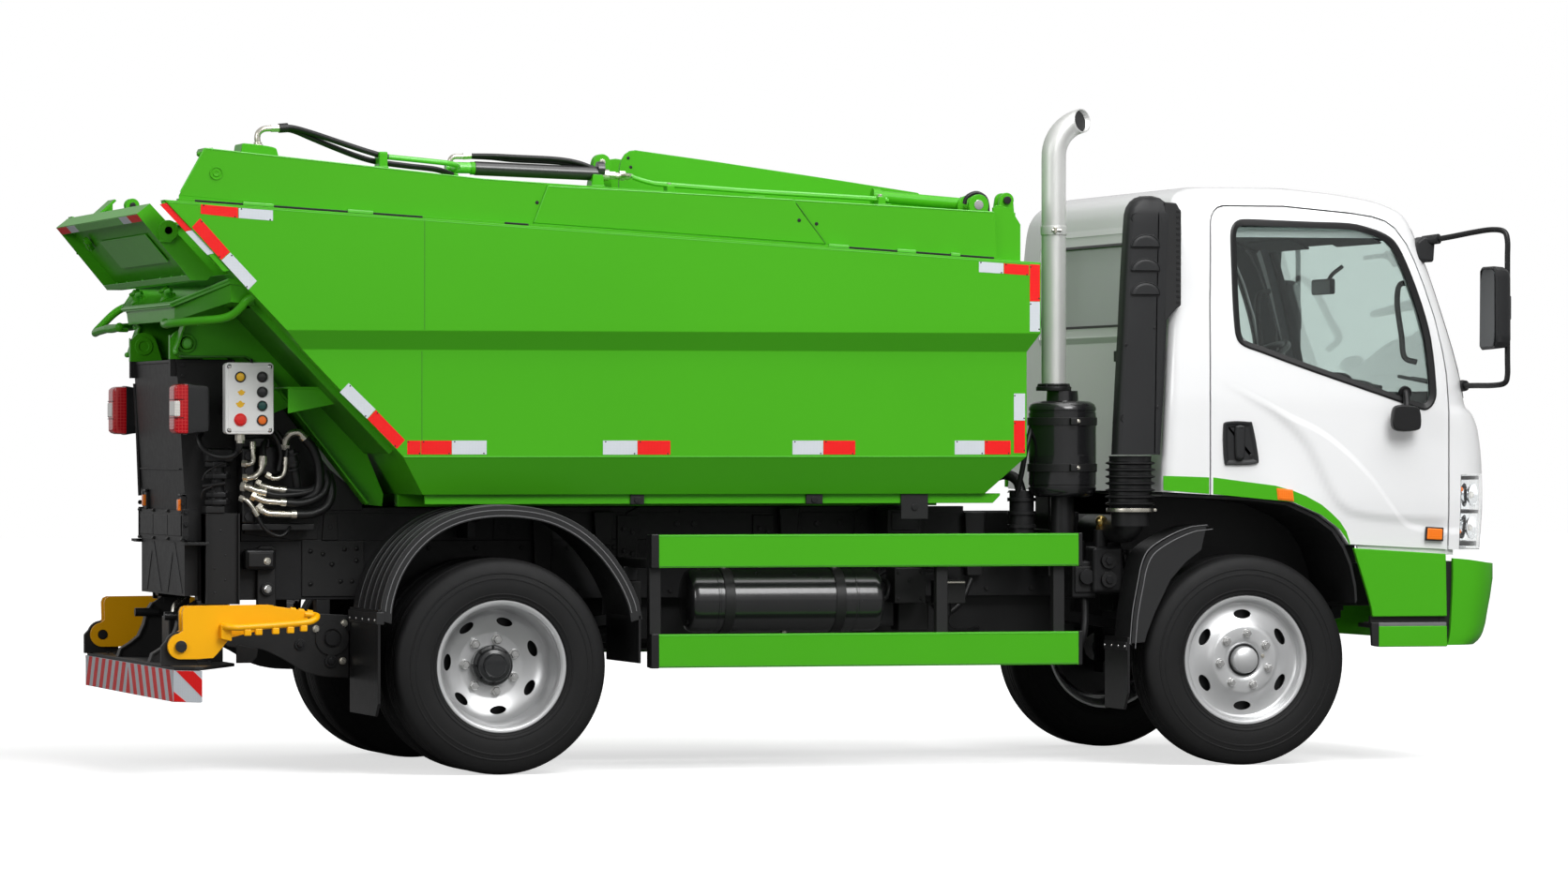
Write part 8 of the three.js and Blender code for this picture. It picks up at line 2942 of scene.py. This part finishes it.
def build_stage():
    """Floor, surround, lamps and camera."""
    scene = bpy.context.scene
    settings = scene.truck_stage
    floor = bpy.data.meshes.new("floor")
    floor.from_pydata([(-60, -60, 0), (60, -60, 0), (60, 60, 0), (-60, 60, 0)], [], [(0, 1, 2, 3)])
    floor.materials.append(stage_material("floor_white", 0.72, 0.66, 0.22))
    ground = bpy.data.objects.new("floor", floor)
    scene.collection.objects.link(ground)
    world = bpy.data.worlds.new("surround")
    scene.world = world
    world.use_nodes = True
    tree = world.node_tree
    back = tree.nodes["Background"]
    back.inputs["Color"].default_value = (1, 1, 1, 1)
    path = tree.nodes.new("ShaderNodeLightPath")
    seen = maths(tree, "MAXIMUM", path.outputs["Is Camera Ray"],
                 path.outputs["Is Transmission Ray"])
    glossy = maths(tree, "MULTIPLY", path.outputs["Is Glossy Ray"], 0.3)
    shown = maths(tree, "MAXIMUM", seen, glossy)
    strength = remap(tree, shown, 0.0, 1.0, settings.sky, 1.0)
    tree.links.new(strength, back.inputs["Strength"])
    lamps = [
        # name, place, aim, size, power
        ("overhead", (2.0, -3.5, 8.5), (0, 0, 0.8), 8.0, settings.key),
        ("side_fill", (2.0, -12.0, 9.0), (0, 0, 1.2), 6.0, settings.fill),
        ("rear_fill", (-10.0, -7.0, 4.5), (-1.5, 0, 1.4), 4.0, settings.fill * 0.22),
    ]
    for name, spot, aim, size, power in lamps:
        data = bpy.data.lights.new(name, "AREA")
        data.shape = "SQUARE"
        data.size = size
        data.energy = power
        lamp = bpy.data.objects.new(name, data)
        lamp.location = spot
        lamp.rotation_euler = (Vector(aim) - Vector(spot)).to_track_quat("-Z", "Y").to_euler()
        scene.collection.objects.link(lamp)
    data = bpy.data.cameras.new("camera")
    data.lens = settings.lens
    data.sensor_width = 36
    data.clip_end = 200
    camera = bpy.data.objects.new("camera", data)
    camera.location = (-5.789 + AXLE_X, -25.633, settings.height)
    camera.rotation_euler = (math.pi / 2, 0, -settings.turn)
    scene.collection.objects.link(camera)
    scene.camera = camera
    scene.view_settings.view_transform = "Standard"


# ---------------------------------------------------------------- operators


class TRUCK_OT_stage(bpy.types.Operator):
    """Floor, surround, lamps and camera"""

    bl_idname = "truck.stage"
    bl_label = "Stage"

    def execute(self, context):
        build_stage()
        return {"FINISHED"}


class TRUCK_OT_wheels(bpy.types.Operator):
    """Tyres and disc wheels"""

    bl_idname = "truck.wheels"
    bl_label = "Wheels"

    def execute(self, context):
        for word, side in SIDES:
            build_front_wheel(word, side)
            build_rear_wheel(word, side)
        return {"FINISHED"}


class TRUCK_OT_tub(bpy.types.Operator):
    """Tub with its seams and reflective strips"""

    bl_idname = "truck.tub"
    bl_label = "Tub"

    def execute(self, context):
        build_tub()
        return {"FINISHED"}


class TRUCK_OT_cab(bpy.types.Operator):
    """Cab shell and doors"""

    bl_idname = "truck.cab"
    bl_label = "Cab and doors"

    def execute(self, context):
        build_cab()
        return {"FINISHED"}


class TRUCK_OT_glazing(bpy.types.Operator):
    """Glass and window rubbers"""

    bl_idname = "truck.glazing"
    bl_label = "Glazing"

    def execute(self, context):
        build_glazing()
        return {"FINISHED"}


class TRUCK_OT_interior(bpy.types.Operator):
    """Seats, dashboard and steering wheel"""

    bl_idname = "truck.interior"
    bl_label = "Cab interior"

    def execute(self, context):
        build_interior()
        build_steering_wheel()
        return {"FINISHED"}


class TRUCK_OT_headlights(bpy.types.Operator):
    """Headlights and corner markers"""

    bl_idname = "truck.headlights"
    bl_label = "Headlights"

    def execute(self, context):
        build_headlights()
        return {"FINISHED"}


class TRUCK_OT_mirrors(bpy.types.Operator):
    """Mirrors and their arms"""

    bl_idname = "truck.mirrors"
    bl_label = "Mirrors"

    def execute(self, context):
        build_nose_trim()
        build_mirrors()
        return {"FINISHED"}


class TRUCK_OT_intake(bpy.types.Operator):
    """Air intake tower and bellows"""

    bl_idname = "truck.intake"
    bl_label = "Air intake"

    def execute(self, context):
        build_snorkel()
        return {"FINISHED"}


class TRUCK_OT_exhaust(bpy.types.Operator):
    """Exhaust stack and silencer"""

    bl_idname = "truck.exhaust"
    bl_label = "Exhaust"

    def execute(self, context):
        build_exhaust()
        return {"FINISHED"}


class TRUCK_OT_bumper(bpy.types.Operator):
    """Front bumper and steps"""

    bl_idname = "truck.bumper"
    bl_label = "Bumper"

    def execute(self, context):
        build_bumper()
        return {"FINISHED"}


class TRUCK_OT_side_guards(bpy.types.Operator):
    """Green rails between the wheels"""

    bl_idname = "truck.side_guards"
    bl_label = "Side guards"

    def execute(self, context):
        build_side_guards()
        return {"FINISHED"}


class TRUCK_OT_mudguards(bpy.types.Operator):
    """Mudguards and flaps"""

    bl_idname = "truck.mudguards"
    bl_label = "Mudguards"

    def execute(self, context):
        build_mudguards()
        return {"FINISHED"}


class TRUCK_OT_cover(bpy.types.Operator):
    """Tub cover"""

    bl_idname = "truck.cover"
    bl_label = "Cover"

    def execute(self, context):
        build_cover()
        return {"FINISHED"}


class TRUCK_OT_cover_hydraulics(bpy.types.Operator):
    """Packing ram, fin, hoses and pipes on the cover"""

    bl_idname = "truck.cover_hydraulics"
    bl_label = "Cover hydraulics"

    def execute(self, context):
        build_cover_hydraulics()
        return {"FINISHED"}


class TRUCK_OT_flap(bpy.types.Operator):
    """Rear flap and the plates round it"""

    bl_idname = "truck.flap"
    bl_label = "Rear flap"

    def execute(self, context):
        build_flap()
        build_mouth_plates()
        return {"FINISHED"}


class TRUCK_OT_pivot(bpy.types.Operator):
    """Pivot frame, chute lip and guard tubes"""

    bl_idname = "truck.pivot"
    bl_label = "Pivot frame"

    def execute(self, context):
        build_pivot_frame()
        return {"FINISHED"}


class TRUCK_OT_pedestal(bpy.types.Operator):
    """Rear pedestal"""

    bl_idname = "truck.pedestal"
    bl_label = "Pedestal"

    def execute(self, context):
        build_pedestal()
        return {"FINISHED"}


class TRUCK_OT_hydraulics(bpy.types.Operator):
    """Valve stack, manifold, fittings and hoses"""

    bl_idname = "truck.hydraulics"
    bl_label = "Hydraulics"

    def execute(self, context):
        build_valves()
        build_hydraulics()
        return {"FINISHED"}


class TRUCK_OT_control_box(bpy.types.Operator):
    """Control box and its buttons"""

    bl_idname = "truck.control_box"
    bl_label = "Control box"

    def execute(self, context):
        build_control_box()
        return {"FINISHED"}


class TRUCK_OT_tail_lamps(bpy.types.Operator):
    """Tail lamps"""

    bl_idname = "truck.tail_lamps"
    bl_label = "Tail lamps"

    def execute(self, context):
        build_tail_lamps()
        return {"FINISHED"}


class TRUCK_OT_rear_bar(bpy.types.Operator):
    """Striped rear bar and deck"""

    bl_idname = "truck.rear_bar"
    bl_label = "Rear bar"

    def execute(self, context):
        build_rear_bar()
        return {"FINISHED"}


class TRUCK_OT_arms(bpy.types.Operator):
    """Yellow folding arms"""

    bl_idname = "truck.arms"
    bl_label = "Arms"

    def execute(self, context):
        build_arms()
        return {"FINISHED"}


class TRUCK_OT_skirt(bpy.types.Operator):
    """Lower edge plates of the tub"""

    bl_idname = "truck.skirt"
    bl_label = "Tub edges"

    def execute(self, context):
        build_skirt()
        return {"FINISHED"}


class TRUCK_OT_frame(bpy.types.Operator):
    """Frame, axles, engine and tanks"""

    bl_idname = "truck.frame"
    bl_label = "Frame"

    def execute(self, context):
        build_rails()
        build_subframe()
        build_axles()
        build_air_tank()
        return {"FINISHED"}


class TRUCK_OT_fixings(bpy.types.Operator):
    """Rivets, bolts, screws and nuts booked by the other pieces"""

    bl_idname = "truck.fixings"
    bl_label = "Fixings"

    def execute(self, context):
        make_fixings()
        return {"FINISHED"}


OPERATORS = (
    TRUCK_OT_stage, TRUCK_OT_wheels, TRUCK_OT_tub, TRUCK_OT_cab, TRUCK_OT_glazing,
    TRUCK_OT_interior, TRUCK_OT_headlights, TRUCK_OT_mirrors, TRUCK_OT_intake, TRUCK_OT_exhaust,
    TRUCK_OT_bumper, TRUCK_OT_side_guards, TRUCK_OT_mudguards, TRUCK_OT_cover,
    TRUCK_OT_cover_hydraulics, TRUCK_OT_flap, TRUCK_OT_pivot, TRUCK_OT_pedestal,
    TRUCK_OT_hydraulics, TRUCK_OT_control_box, TRUCK_OT_tail_lamps, TRUCK_OT_rear_bar,
    TRUCK_OT_arms, TRUCK_OT_skirt, TRUCK_OT_frame, TRUCK_OT_fixings,
)


class TRUCK_PT_panel(bpy.types.Panel):
    """Lists the truck's settings and pieces"""

    bl_idname = "TRUCK_PT_panel"
    bl_label = "Refuse truck"
    bl_space_type = "VIEW_3D"
    bl_region_type = "UI"
    bl_category = "Truck"

    def draw(self, context):
        column = self.layout.column()
        for group in (context.scene.truck_colours, context.scene.truck_sizes,
                      context.scene.truck_stage):
            for name in group.__annotations__:
                column.prop(group, name)
        for made in OPERATORS:
            column.operator(made.bl_idname)


CLASSES = (TruckColours, TruckSizes, StageSettings, *OPERATORS, TRUCK_PT_panel)


def register():
    """Registers the classes and the scene's settings."""
    for made in CLASSES:
        bpy.utils.register_class(made)
    bpy.types.Scene.truck_colours = PointerProperty(type=TruckColours)
    bpy.types.Scene.truck_sizes = PointerProperty(type=TruckSizes)
    bpy.types.Scene.truck_stage = PointerProperty(type=StageSettings)


def unregister():
    """Takes them away again."""
    for name in ("truck_colours", "truck_sizes", "truck_stage"):
        delattr(bpy.types.Scene, name)
    for made in reversed(CLASSES):
        bpy.utils.unregister_class(made)


def main():
    """Registers the settings and builds every piece in order."""
    register()
    for made in OPERATORS:
        getattr(bpy.ops.truck, made.bl_idname.split(".")[1])()
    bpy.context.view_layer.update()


if __name__ == "__main__":
    main()
